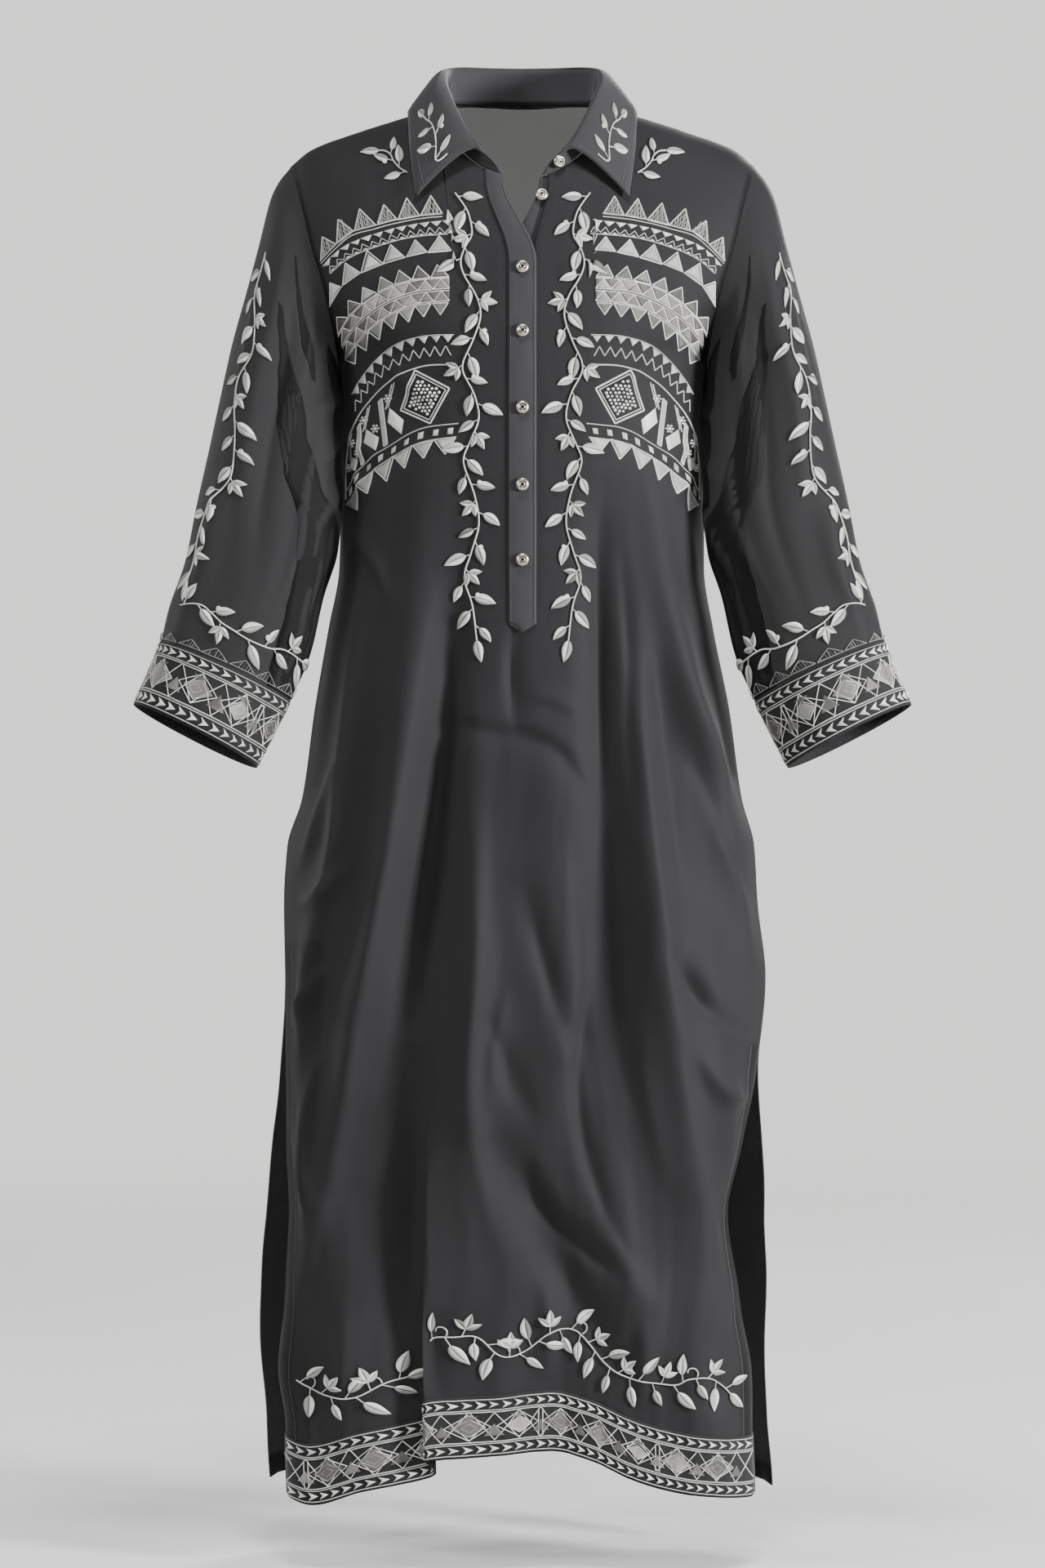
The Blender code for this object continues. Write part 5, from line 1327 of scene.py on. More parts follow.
class Embroidery:
    """Raised thread work, drawn flat in metres and laid on cloth by a function at the end."""

    def __init__(self) -> None:
        self.work = Patchwork("tone")

    def cord(
        self,
        line: Points,
        width: float,
        height: float,
        tone: float = 0.5,
        sides: int = 4,
        lift: float = 0.0,
        step: float = 0.003,
    ) -> None:
        """A laid thread or couched cord along a line.

        Args:
            line: The points it runs through.
            width: Its width.
            height: How far it stands off the cloth.
            tone: Its brightness, from 0 to 1.
            sides: Faces across it.
            lift: How far its edges stand off the cloth.
            step: The longest stretch between two of its points.
        """
        line = resample(np.asarray(line, float), step)
        ahead = np.gradient(line, axis=0)
        ahead /= np.maximum(np.linalg.norm(ahead, axis=1, keepdims=True), 1e-9)
        away = np.stack([-ahead[:, 1], ahead[:, 0]], -1)
        across = np.linspace(-0.5, 0.5, sides + 1)
        flat = line[:, None] + away[:, None] * (across * width)[None, :, None]
        rise = lift + height * np.sqrt(np.clip(1 - (2 * across) ** 2, 0, 1))
        rise = np.broadcast_to(rise, flat.shape[:2])[..., None]
        run = np.broadcast_to(run_of(line)[:, None], flat.shape[:2])
        uv = np.stack([run + across * width * STITCH_SLANT, np.broadcast_to(across * width, run.shape)], -1)
        points = np.concatenate([flat, rise], -1)
        self.work.grid(points, uv, tone, np.broadcast_to(UPWARD, points.shape))

    def strokes(self, corners: Points, width: float, height: float, **look: float) -> None:
        """Straight stitches from corner to corner."""
        for start, end in zip(corners[:-1], corners[1:]):
            self.cord([start, end], width, height, sides=2, **look)

    def patch(
        self,
        corners: Points,
        height: float,
        tone: float = 0.5,
        grain: float = 0.0,
        step: float = 0.004,
    ) -> None:
        """A satin-stitched patch with rounded edges.

        Args:
            corners: Its outline.
            height: How far it stands off the cloth.
            tone: Its brightness, from 0 to 1.
            grain: Direction across its threads, as an angle.
            step: The longest stretch between two points of its outline.
        """
        corners = np.asarray(corners, float)
        after = np.roll(corners, -1, 0)
        if (corners[:, 0] * after[:, 1] - corners[:, 1] * after[:, 0]).sum() < 0:
            corners = corners[::-1]
        edges = [resample(np.array([a, b]), step)[:-1] for a, b in zip(corners, np.roll(corners, -1, 0))]
        ring = np.concatenate(edges)
        middle = ring.mean(0)
        rings = [ring, middle + (ring - middle) * 0.84, middle + (ring - middle) * 0.45]
        flat = np.concatenate([*rings, middle[None]])
        count = len(ring)
        rise = np.repeat([0.0, height * 0.85, height], count)
        points = np.column_stack([flat, np.r_[rise, height]])
        faces = []
        for i in range(count):
            after = (i + 1) % count
            faces.append((i, after, count + after, count + i))
            faces.append((count + i, count + after, 2 * count + after, 2 * count + i))
            faces.append((2 * count + i, 2 * count + after, 3 * count))
        turn = np.array([[math.cos(grain), -math.sin(grain)], [math.sin(grain), math.cos(grain)]])
        self.work.add(points, faces, flat @ turn, tone)

    def leaf(
        self,
        root: Array,
        heading: float,
        length: float,
        width: float,
        tone: float = 0.6,
        bend: float = 0.0,
        height: float = 0.0016,
    ) -> None:
        """A padded leaf in two halves, with a sunk vein between them. One half is painted lighter and the
        other darker, as lit and shaded halves, and the vein is painted dark as the shade in its groove.

        Args:
            root: Where it starts.
            heading: The direction it starts in.
            length: Its length.
            width: Its width.
            tone: Its brightness, from 0 to 1.
            bend: How far it turns by its tip.
            height: How far its halves stand off the cloth.
        """
        turn = heading + bend * LEAF_ALONG
        ahead = np.stack([np.cos(turn), np.sin(turn)], -1)
        steps = (ahead[1:] + ahead[:-1]) / 2 * np.diff(LEAF_ALONG)[:, None] * length
        spine = np.asarray(root) + np.vstack([[0, 0], np.cumsum(steps, 0)])
        away = np.stack([-ahead[:, 1], ahead[:, 0]], -1)
        half = width / 2 * LEAF_OUTLINE
        flat = spine[:, None] + away[:, None] * (half[:, None] * LEAF_ACROSS)[..., None]
        swell = np.clip(half / (width / 2), 0, 1) ** 0.5
        rise = height * swell[:, None] * LEAF_RISE
        along = LEAF_ALONG[:, None] * length
        across = np.abs(half[:, None] * LEAF_ACROSS)
        uv = np.stack([along + across * STITCH_SLANT, half[:, None] * LEAF_ACROSS], -1)
        # Painted light and shade on the leaf's halves and its vein.
        lit = np.broadcast_to(tone + LEAF_PAINTED_LIGHT, rise.shape)
        points = np.concatenate([flat, rise[..., None]], -1)
        self.work.grid(points, uv, lit, np.broadcast_to(UPWARD, points.shape))

    def disc(self, centre: Sequence[float], radius: float, height: float, tone: float) -> None:
        """A small round sequin or knot."""
        turns = np.arange(10) / 10 * 2 * math.pi
        ring = np.asarray(centre) + radius * np.stack([np.cos(turns), np.sin(turns)], -1)
        self.patch(ring, height, tone)

    def build(
        self,
        name: str,
        material: Material,
        lay: Lay,
        nodes: Sequence[str] = (),
        lift: float = 0.0003,
        slot: str = "metal_thread",
    ) -> Object:
        """Lays the work on its cloth.

        Args:
            name: The piece's name.
            material: The thread.
            lay: Takes flat places and heights to points.
            nodes: The construction nodes it stands for.
            lift: How far its base stands off the cloth's own points.
            slot: Not used.

        Returns:
            The piece.
        """
        flat = np.concatenate(self.work.points)
        laid = lay(flat[:, 0], flat[:, 1], flat[:, 2] + lift)
        made = self.work.build(name, material, laid)
        builder = bmesh.new()
        builder.from_mesh(made.data)
        if mirrors(lay, flat[0]):
            bmesh.ops.reverse_faces(builder, faces=builder.faces)
        bmesh.ops.remove_doubles(builder, verts=builder.verts, dist=1e-7)
        bmesh.ops.dissolve_degenerate(builder, dist=1e-7, edges=builder.edges)
        builder.to_mesh(made.data)
        builder.free()
        made.data.shade_smooth()
        return join_to_frame(made, nodes)


def mirrors(lay: Lay, spot: Array) -> bool:
    """Whether a laying function turns flat work over."""
    step = 1e-4
    steps = np.vstack([np.zeros(3), np.eye(3) * step]) + spot
    at = lay(steps[:, 0], steps[:, 1], steps[:, 2])
    return bool(np.linalg.det(at[1:] - at[0]) < 0)

# ---------------------------------------------------------------------------------------------------
# Bands of motifs


UP = ((0.03, 0.0), (0.97, 0.0), (0.5, 1.0))
DOWN = ((0.03, 1.0), (0.5, 0.0), (0.97, 1.0))
BETWEEN = ((0.53, 1.0), (1.0, 0.0), (1.47, 1.0))
DIAMOND = ((0.5, 0.0), (1.0, 0.5), (0.5, 1.0), (0.0, 0.5))
ARROW = ((0.04, 0.04), (0.96, 0.5), (0.04, 0.96), (0.34, 0.5))
SQUARE = ((0.32, 0.28), (0.68, 0.28), (0.68, 0.72), (0.32, 0.72))


# Heights of straight stitches, fine ones, couched lines and satin shapes, and the width of a fine stitch.
STITCH_HEIGHT = 0.0005
FINE_HEIGHT = 0.0003
RULE_HEIGHT = 0.0006
SATIN_HEIGHT = 0.0008
FINE_WIDTH = 0.00045
# Unevenness of handwork: of a motif's size and place, of tones, of a zigzag's swing and a stroke's lean.
SIZE_JITTER = 0.05
PLACE_JITTER = 0.012
TONE_JITTER = 0.10
FINE_TONE_JITTER = 0.20
SWING_JITTER = 0.03
SATIN_ANGLES = (0.9, 1.6)


class Strip:
    """A band between two lines, walked along by u and up by w, both from 0 to 1."""

    def __init__(self, low: Points, high: Points) -> None:
        lines = [through(line, 10) for line in (low, high)]
        self.low, self.high = (resample(line, run_of(line)[-1] / 119.5) for line in lines)
        self.shares = np.linspace(0, 1, len(self.low))
        self.length = run_of(self.low)[-1]
        self.height = np.linalg.norm(self.high - self.low, axis=1).mean()

    @classmethod
    def level(cls, length: float, low: float, high: float, start: float = 0.0) -> "Strip":
        """A straight band of a length, between two heights."""
        ends = (start, start + length)
        return cls([(x, low) for x in ends], [(x, high) for x in ends])

    def at(self, u: Array | float, w: Array | float) -> Array:
        """Flat places at (u, w)."""
        u, w = np.broadcast_arrays(np.asarray(u, float), np.asarray(w, float))
        read = []
        for line in (self.low, self.high):
            read.append(np.stack([np.interp(u, self.shares, line[:, i]) for i in range(2)], -1))
        return read[0] * (1 - w)[..., None] + read[1] * w[..., None]

    def part(self, low: float | None, high: float | None, other: Array | None = None) -> "Strip":
        """The band between two of this one's heights, or between one of them and another line."""
        share = np.linspace(0, 1, 9)
        return Strip(*(other if w is None else self.at(share, w) for w in (low, high)))


@dataclass
class BandWork:
    """Draws rows of motifs in strips, slightly uneven as handwork is.

    Attributes:
        work: The embroidery they are added to.
        seed: Starts the unevenness, so that no two bands match.
    """

    work: Embroidery
    seed: int
    chance: np.random.Generator = field(init=False)

    def __post_init__(self) -> None:
        self.chance = np.random.default_rng(self.seed)

    def cells(self, strip: Strip, shape: Points, count: int, shrink: float) -> list[Array]:
        """The outline of a shape in each cell of a strip."""
        corners = np.asarray(shape, float)
        middle = corners.mean(0)
        found = []
        for i in range(count):
            size = shrink * (1 + SIZE_JITTER * self.chance.normal())
            moved = middle + (corners - middle) * size + self.chance.normal(0, PLACE_JITTER, 2)
            found.append(strip.at((i + moved[:, 0]) / count, moved[:, 1]))
        return found

    def rule(self, strip: Strip, w: float, width: float, tone: float = 0.6) -> None:
        """One line of couched thread along a strip."""
        u = np.linspace(0, 1, 90)
        sway = 0.012 * np.sin(u * 37 + self.seed) + 0.008 * np.sin(u * 91)
        self.work.cord(strip.at(u, w + sway * 0.3), width, RULE_HEIGHT, tone)

    def filled(
        self,
        strip: Strip,
        shape: Points,
        count: int,
        tone: float = 0.8,
        shrink: float = 1.0,
        height: float = SATIN_HEIGHT,
    ) -> None:
        """A satin-stitched shape in each cell."""
        for outline in self.cells(strip, shape, count, shrink):
            lit = float(np.clip(tone + TONE_JITTER * self.chance.normal(), 0, 1))
            self.work.patch(outline, height, lit, self.chance.uniform(*SATIN_ANGLES))

    def outlined(
        self,
        strip: Strip,
        shape: Points,
        count: int,
        width: float = 0.0009,
        shrink: float = 1.0,
        tone: float = 0.65,
    ) -> None:
        """The outline of a shape in each cell."""
        for outline in self.cells(strip, shape, count, shrink):
            self.work.strokes([*outline, outline[0]], width, STITCH_HEIGHT, tone=tone)

    def hatched(
        self,
        strip: Strip,
        count: int,
        lines: int,
        down: bool = False,
        width: float = FINE_WIDTH,
        tone: float = 0.25,
    ) -> None:
        """Fine strokes that fill a triangle in each cell."""
        for i in range(count):
            for k in range(lines):
                at = (k + 0.5) / lines + PLACE_JITTER * self.chance.normal()
                lean = 0.10 + SWING_JITTER * self.chance.normal()
                reach = max(0.05, 1 - abs(2 * at - 1)) * (0.93 + 0.05 * self.chance.normal())
                ends = np.array([[at - lean * reach / 2, 0.02], [at + lean * reach / 2, reach]])
                if down:
                    ends[:, 1] = 1 - ends[:, 1]
                start, end = strip.at((i + ends[:, 0]) / count, ends[:, 1])
                lit = float(np.clip(tone + FINE_TONE_JITTER * self.chance.normal(), 0, 1))
                self.work.cord([start, end], width, FINE_HEIGHT, lit, sides=2)

    def lattice(self, strip: Strip, count: int, lines: int, tone: float = 0.5) -> None:
        """Slanting strokes across a triangle in each cell, over its upright ones."""
        for i in range(count):
            for k in range(1, lines):
                share = k / lines
                foot = strip.at((i + share) / count, 0.0)
                side = strip.at((i + share / 2) / count, share)
                self.work.cord([foot, side], FINE_WIDTH, 0.0004, tone, sides=2)

    def zigzag(
        self, strip: Strip, count: int, width: float, tone: float = 0.6, low: float = 0.0, high: float = 1.0
    ) -> None:
        """A zigzag of straight stitches."""
        at = np.arange(2 * count + 1)
        swing = np.where(at % 2 == 0, low, high) + SWING_JITTER * self.chance.normal(size=len(at))
        corners = strip.at(at / (2 * count), swing)
        self.work.strokes(corners, width, STITCH_HEIGHT, tone=tone)


def breast_rows(seed: int) -> Embroidery:
    """The arched rows on one breast: saw teeth, a lattice band, a fringe, a zigzag and a pieced panel."""
    work = Embroidery()
    band = BandWork(work, seed)

    saw = Strip(SAW_LOW, SAW_HIGH)
    band.outlined(saw, UP, 6, 0.0011, tone=0.8)
    band.hatched(saw, 6, 15, width=0.0005, tone=0.55)
    band.lattice(saw, 6, 6)
    band.rule(saw, 0.0, 0.0011)
    band.rule(saw, -0.17, 0.0010)

    teeth = Strip(TEETH_LOW, TEETH_HIGH)
    band.filled(teeth.part(0.62, 1.0), DOWN, 12)
    band.zigzag(teeth, 14, 0.0008, low=0.08, high=0.52)
    band.filled(teeth.part(0.02, 0.24), UP, 14, shrink=0.72)
    band.rule(teeth, 0.0, 0.0009)

    peaks = Strip(PEAKS_LOW, PEAKS_HIGH)
    band.filled(peaks, UP, 6, 0.50, 0.86, 0.0010)
    band.outlined(peaks, UP, 6, 0.0010, tone=0.95)
    band.rule(peaks, 0.0, 0.0007)

    upper, lower = Strip(LATTICE_MIDDLE, LATTICE_HIGH), Strip(LATTICE_LOW, LATTICE_MIDDLE)
    for strip, tone in ((upper, 0.08), (lower, 0.04)):
        inner = strip.part(0.10, 0.90)
        band.filled(inner, UP, 8, tone + 0.12, 0.90)
        band.filled(inner, BETWEEN, 8, tone, 0.90)
        band.zigzag(inner, 8, 0.0010, tone=1.0)
        for w in (-0.02, 1.02):
            band.rule(inner, w, 0.0010, tone=0.9)
    crown = upper.part(1.04, None, LATTICE_PEAKS)
    hanging = lower.part(None, -0.04, LATTICE_POINTS)
    for strip, shape, tone in ((crown, UP, 0.10), (hanging, DOWN, 0.06)):
        band.filled(strip, shape, 7, tone, 0.90)
        band.outlined(strip, shape, 7, 0.0010, tone=0.95)

    fringe = Strip(FRINGE_LOW, FRINGE_HIGH)
    band.filled(fringe, DOWN, 10, 0.70, 0.82)
    band.rule(fringe, 1.02, 0.0009)
    band.zigzag(Strip(ZIGZAG_LOW, ZIGZAG_HIGH), 11, 0.0009)

    pieced_panel(band)

    squares = Strip(SQUARES_LOW, SQUARES_HIGH)
    band.filled(squares, SQUARE, 9, 0.6)
    for w in (0.0, 1.0):
        band.rule(squares, w, 0.0010)
    points = Strip(SQUARES_POINTS, SQUARES_LOW)
    band.filled(points, DOWN, 6, 0.45, 0.90)
    band.outlined(points, DOWN, 6, 0.0011, tone=0.95)
    return work


def pieced_panel(band: BandWork) -> None:
    """A stone-filled lozenge, slanting bars, tiles and small flowers under an arch."""
    work, chance = band.work, band.chance
    work.cord(through(PATCH_ARC, 10), 0.0012, 0.0006, 0.8)
    arch = Strip(SQUARES_HIGH, PATCH_ARC[1:])

    gem = arch.at([0.60, 0.745, 0.955, 0.79], [0.44, 0.97, 0.60, 0.05])
    heart = gem.mean(0)
    for size, width in ((1.0, 0.0015), (0.86, 0.0009)):
        frame = heart + (gem - heart) * size
        work.strokes([*frame, frame[0]], width, 0.0007, tone=0.85)
    left, top, right, low = heart + (gem - heart) * 0.70
    for i in range(7):
        for j in range(7):
            u, w = (np.array([i + 0.5 * (j % 2), j]) + 0.4 + chance.uniform(-0.12, 0.12, 2)) / 7
            spot = (low * (1 - u) + right * u) * (1 - w) + (left * (1 - u) + top * u) * w
            work.disc(spot, chance.uniform(0.0010, 0.0014), 0.0008, chance.uniform(0.7, 1.0))

    for u, tone in ((0.545, 0.9), (0.335, 0.75), (0.125, 0.8)):
        corners = arch.at([u - 0.060, u - 0.020, u + 0.060, u + 0.020], [0.40, 0.60, 0.26, 0.06])
        work.patch(corners, 0.0009, tone, 0.8)
        for shift in (0.0, 0.020):
            ends = arch.at([u - 0.050 + shift, u + 0.035 + shift], [0.62, 0.93])
            work.strokes(ends, 0.0010, STITCH_HEIGHT, tone=0.8)
    for u in (0.215, 0.425):
        corners = arch.at([u - 0.012, u + 0.020, u + 0.066, u + 0.034], [0.05, 0.05, 0.84, 0.84])
        work.patch(corners, 0.0007, 0.45, 1.2)
        work.strokes([*corners, corners[0]], 0.0008, 0.0008, tone=0.85)
    for u, w in ((0.165, 0.72), (0.20, 0.34), (0.315, 0.80), (0.385, 0.46), (0.53, 0.76), (0.05, 0.50)):
        middle = arch.at(u, w)
        work.disc(middle, 0.0014, 0.0009, 1.0)
        for turn in np.arange(6) / 6 * 2 * math.pi:
            petal = middle + 0.0028 * np.array([math.cos(turn), math.sin(turn)])
            work.disc(petal, 0.0010, 0.0007, 0.7)


# Shares of a border's height that its two arrow chains and its wide row take.
BORDER_CHAINS = ((0.060, 0.215), (0.785, 0.940))
BORDER_WIDE = (0.265, 0.735)


def border_rows(length: float, height: float, start: float, seed: int, crest: bool) -> Embroidery:
    """The rows of a border strip: an arrow chain, a wide row of diamonds, and an arrow chain again.

    Args:
        length: The strip's length.
        height: Its height.
        start: Where it starts.
        seed: Starts the unevenness.
        crest: Whether sparse saw teeth stand above it.

    Returns:
        The work.
    """
    work = Embroidery()
    band = BandWork(work, seed)
    for low, high in BORDER_CHAINS:
        chain = Strip.level(length, low * height, high * height, start)
        count = max(8, round(length / (chain.height * 1.02)))
        band.filled(chain, ARROW, count, 0.8, 0.92)
        for w in (-0.06, 1.06):
            band.rule(chain, w, 0.0009)
    wide_low, wide_high = (share * height for share in BORDER_WIDE)
    wide = Strip.level(length, wide_low, wide_high, start)
    count = max(6, round(length / (wide.height * 1.28)))
    for swing in ((0.0, 1.0), (1.0, 0.0)):
        band.zigzag(wide, count, 0.0007, 0.95, *swing)
    band.filled(wide, UP, count, 0.0, 0.42, 0.0004)
    for i in range(count):
        third = i % 3 == 0
        first = start + length * (i - 0.5) / count
        gem = Strip.level(length / count, wide_low, wide_high, first)
        if i:
            for size, tone in ((0.86, 0.9), (0.58, 0.95), (0.30, 0.9)):
                band.outlined(gem, DIAMOND, 1, 0.0007, size, tone)
            tone, size = (0.30, 0.52) if third else (0.0, 0.74)
            band.filled(gem, DIAMOND, 1, tone, size, 0.0004)
        if i % 3 == 1:
            for lean in (-0.05, 0.05):
                edge = wide.at(np.array([i - 0.5 + lean, i - 0.5 + lean]) / count, np.array([0.04, 0.96]))
                band.work.strokes(edge, 0.0009, STITCH_HEIGHT, tone=0.8)
    hung = Strip.level(length, 0.50 * height, wide_high, start - 0.5 * length / count)
    band.filled(hung, DOWN, count, 0.0, 0.36, 0.0004)
    band.rule(wide, -0.02, 0.0011)
    band.rule(wide, 1.02, 0.0011)
    if crest:
        tooth_width, tooth_height = 0.021, 0.011
        saw = Strip.level(length, 1.06 * height, 1.06 * height + tooth_height, start)
        count = round(length / tooth_width)
        band.outlined(saw, UP, count, 0.0007, tone=0.35)
        band.hatched(saw, count, 9, tone=0.1)
    return work


# ---------------------------------------------------------------------------------------------------
# Vines


@dataclass(frozen=True)
class VineStyle:
    """How leaves grow on a stem.

    Attributes:
        spacing: Distance between leaves.
        length: A leaf's length.
        width: A leaf's width.
        start: Distance to the first leaf.
        first: The side of the first leaf.
        sprigs: How often a three-leaf sprig takes a leaf's place, or 0 for never.
        stem: The stem's width.
        stalk: The shortest stalk.
        lean: The angle a leaf makes with the stem.
        curls: How often a tendril grows beside a leaf, or 0 for never.
    """

    spacing: float
    length: float
    width: float
    start: float
    first: int = 1
    sprigs: int = 5
    stem: float = 0.0019
    stalk: float = 0.0034
    lean: float = 0.92
    curls: int = 0


STEM_HEIGHT = 0.0010
SHOOT_WIDTH, SHOOT_HEIGHT = 0.0008, 0.0007
BUD_RADIUS, BUD_STALK = 0.0021, 0.0035


def grow_vine(work: Embroidery, line: Array, style: VineStyle, seed: int) -> None:
    """Adds a stem with stalked leaves, sprigs and buds on alternate sides, and a leaf at its end."""
    chance = np.random.default_rng(seed)
    line = resample(line, 0.0012)
    run = run_of(line)
    work.cord(line, style.stem, STEM_HEIGHT, 0.88, step=0.0022)
    at, side, count = style.start, style.first, 0
    while at < run[-1] - style.spacing * 0.45:
        root, ahead = place_on(line, run, at)
        size = 1 + 0.14 * math.sin(1.7 * count)
        lean = style.lean + 0.12 * math.sin(2.3 * count + 1.0) + chance.normal(0, 0.06)
        heading = ahead + side * lean
        stalk = style.stalk * (1 + chance.uniform(0, 0.42))
        foot = root + stalk * np.array([math.cos(heading), math.sin(heading)])
        work.cord([root, (root + foot) / 2, foot], SHOOT_WIDTH, SHOOT_HEIGHT, 0.8, sides=3)
        tone = float(np.clip(0.74 + 0.14 * chance.normal(), 0.40, 1))
        if style.sprigs and count % style.sprigs == style.sprigs - 2:
            grow_sprig(work, foot, heading, style, tone, side)
        else:
            bend = -side * chance.uniform(0.10, 0.42)
            work.leaf(foot, heading, style.length * size, style.width * size, tone, bend)
            if style.curls and count % style.curls == 1:
                turns = np.linspace(0, 4.6, 16)
                spread = ahead - side * (0.9 + 0.9 * turns)
                steps = 0.0017 * (1 - turns / 6.5)
                curl = np.stack([np.cos(spread), np.sin(spread)], -1) * steps[:, None]
                work.cord(root + np.cumsum(curl, 0), 0.0010, SHOOT_HEIGHT, 0.75, sides=3, step=0.0016)
            elif count % 4 == 2:
                away = heading + side * 0.75
                bud = foot + BUD_STALK * np.array([math.cos(away), math.sin(away)])
                work.disc(bud, BUD_RADIUS, STEM_HEIGHT, 0.8)
        at += style.spacing * (1 + 0.18 * math.sin(2.9 * count))
        side, count = -side, count + 1
    tip, ahead = place_on(line, run, run[-1])
    work.leaf(tip, ahead, style.length * 1.1, style.width * 1.05, 0.7, 0.2)


def place_on(line: Array, run: Array, at: float) -> tuple[Array, float]:
    """The point at a distance along a line, and the line's heading there."""
    behind, spot, ahead = (
        np.array([np.interp(at + step, run, line[:, i]) for i in range(2)]) for step in (-0.002, 0, 0.002)
    )
    return spot, math.atan2(*(ahead - behind)[::-1])


def grow_sprig(
    work: Embroidery, foot: Array, heading: float, style: VineStyle, tone: float, side: int
) -> None:
    """Three small leaves that fan out from one foot."""
    for turn, size in ((-0.90, 0.66), (0.0, 0.80), (0.90, 0.66)):
        length, width = style.length * size, style.width * size * 1.05
        work.leaf(foot, heading + turn, length, width, tone, 0.15 * side)


# Stems of the vines, as x, z in millimetres. The chest's and the shoulder's are the right ones.
CHEST_STEM = path(
    -57.5, -81.5, -50.5, -91.5, -45.5, -101.6, -43, -118, -48.9, -129.3, -52.5, -142.4, -48.9, -155.2,
    -39, -172.2, -35.5, -189.5, -42.5, -211, -51, -233, -41, -255, -36.8, -276, -44.5, -296, -50, -313,
    -41, -339, -36.8, -365, -43.5, -390, -49.5, -411, -42.5, -434, -38.8, -464
)
SHOULDER_STEM = path(-98.5, -61.8, -105.3, -57.3, -111, -50, -113.3, -44.6, -118, -40.8, -123.7, -40.1)
HEM_STEM_RIGHT = path(
    -193, -1098.5, -184.6, -1102.9, -168, -1109.8, -147.2, -1109.8, -129.2, -1098.1, -115.4, -1093.2
)
HEM_STEM_LEFT = path(
    -60, -1061.2, -55.2, -1058.6, -43.4, -1057.5, -28.9, -1057.2, -15.7, -1071.5, -6.7, -1074, 5.1,
    -1069, 14, -1062.1, 23, -1054.5, 34.8, -1051.7, 48.6, -1056.6, 69.4, -1080.8, 85.3, -1091.2, 104,
    -1096, 129.6, -1099.5, 140.7, -1094.5, 154.5, -1093.9, 166.3, -1099.5, 174.5, -1109
)
# On a sleeve: distance down it, and distance round it from its outer edge.
SLEEVE_STEM = path(
    68.6, 43.6, 83.3, 42.2, 103.9, 41.2, 126, 50, 142.1, 56, 159.8, 58, 183.3, 48.2, 203.9, 48.5, 230.4,
    56, 255.5, 59.7, 273.1, 58.5, 292.2, 47.8, 308.4, 38.7, 327.6, 34.4, 346, 38, 364, 38.8
)
CUFF_STEM = path(
    387, 40, 383, 56.9, 387.5, 68.2, 392.5, 78, 395, 87.1, 398, 101, 398, 119.5, 395, 134.2, 397, 154
)
# On half of the collar leaf: distance along its edge from the front, and distance out over it.
COLLAR_STEM = path(7.5, 27, 7.8, 33, 12, 35.2, 18.7, 32.8, 30, 30.1, 44, 29.7, 56, 33.5, 63, 35)

CHEST_VINE = VineStyle(0.0121, 0.0176, 0.0082, 0.0040, stem=0.0013)
SHOULDER_VINE = VineStyle(0.0074, 0.0150, 0.0066, 0.0020, sprigs=0, stem=0.0012, lean=0.80)
HEM_VINE = VineStyle(0.0094, 0.0176, 0.0076, 0.0030, sprigs=4, stem=0.0011, stalk=0.0056, lean=1.15, curls=6)
SLEEVE_VINE = VineStyle(0.0128, 0.0178, 0.0080, 0.0040, sprigs=6, stem=0.0012)
CUFF_VINE = VineStyle(0.0120, 0.0162, 0.0072, 0.0040, sprigs=5, stem=0.0011)
COLLAR_VINE = VineStyle(0.0098, 0.0142, 0.0054, 0.0110, first=-1, sprigs=0, stem=0.0011)

# ---------------------------------------------------------------------------------------------------
# The pieces

FRONT_COLUMNS = np.r_[np.linspace(-1, -SLOT_XI, 68), -0.0153, 0.0153, np.linspace(SLOT_XI, 1, 66)]
BACK_COLUMNS = np.linspace(-1, 1, 132)
FACING_XI = {"front": 0.056, "back": 0.150}
HEM_TURN = 4.2
# How far the painted shade at the armpits goes towards the darker colour.
ARMPIT_SHADE = 0.8
# Where a sleeve's cloth is folded double inside: distance down it, and first and last distance round it.
SLEEVE_DOUBLED = (
    table(
        "down  first  last",
        (0.095, 0.074, 0.079),
        (0.140, 0.080, 0.092),
        (0.182, 0.085, 0.112),
        (0.220, 0.094, 0.126),
        (0.250, 0.101, 0.140),
        (0.279, 0.116, 0.168),
        (0.303, 0.122, 0.172),
        (0.350, 0.124, 0.170),
        (0.380, 0.125, 0.170),
        (0.404, 0.126, 0.170),
        (0.425, 0.128, 0.168),
    ),
    table(
        "down  first  last",
        (0.050, 0.150, 0.176),
        (0.100, 0.140, 0.172),
        (0.160, 0.146, 0.168),
        (0.210, 0.152, 0.168),
        (0.260, 0.160, 0.172),
    ),
    table(
        "down  first  last",
        (0.030, 0.092, 0.096),
        (0.070, 0.098, 0.108),
        (0.110, 0.104, 0.120),
        (0.150, 0.116, 0.122),
    ),
)


def flat_map(points: Array) -> Array:
    """UV of a grid in metres: the run across each row from its middle, and the run down each column."""
    across = np.cumsum(np.linalg.norm(np.diff(points, axis=1), axis=2), 1)
    across = np.pad(across, ((0, 0), (1, 0)))
    across -= across[:, points.shape[1] // 2, None]
    down = np.cumsum(np.linalg.norm(np.diff(points, axis=0), axis=2), 0)
    return np.stack([across, np.pad(down, ((1, 0), (0, 0)))], -1)


@dataclass
class Maker:
    """Makes some of the pieces.

    Attributes:
        forms: The forms they keep to.
        palette: Their materials.
    """

    forms: Forms
    palette: Palette


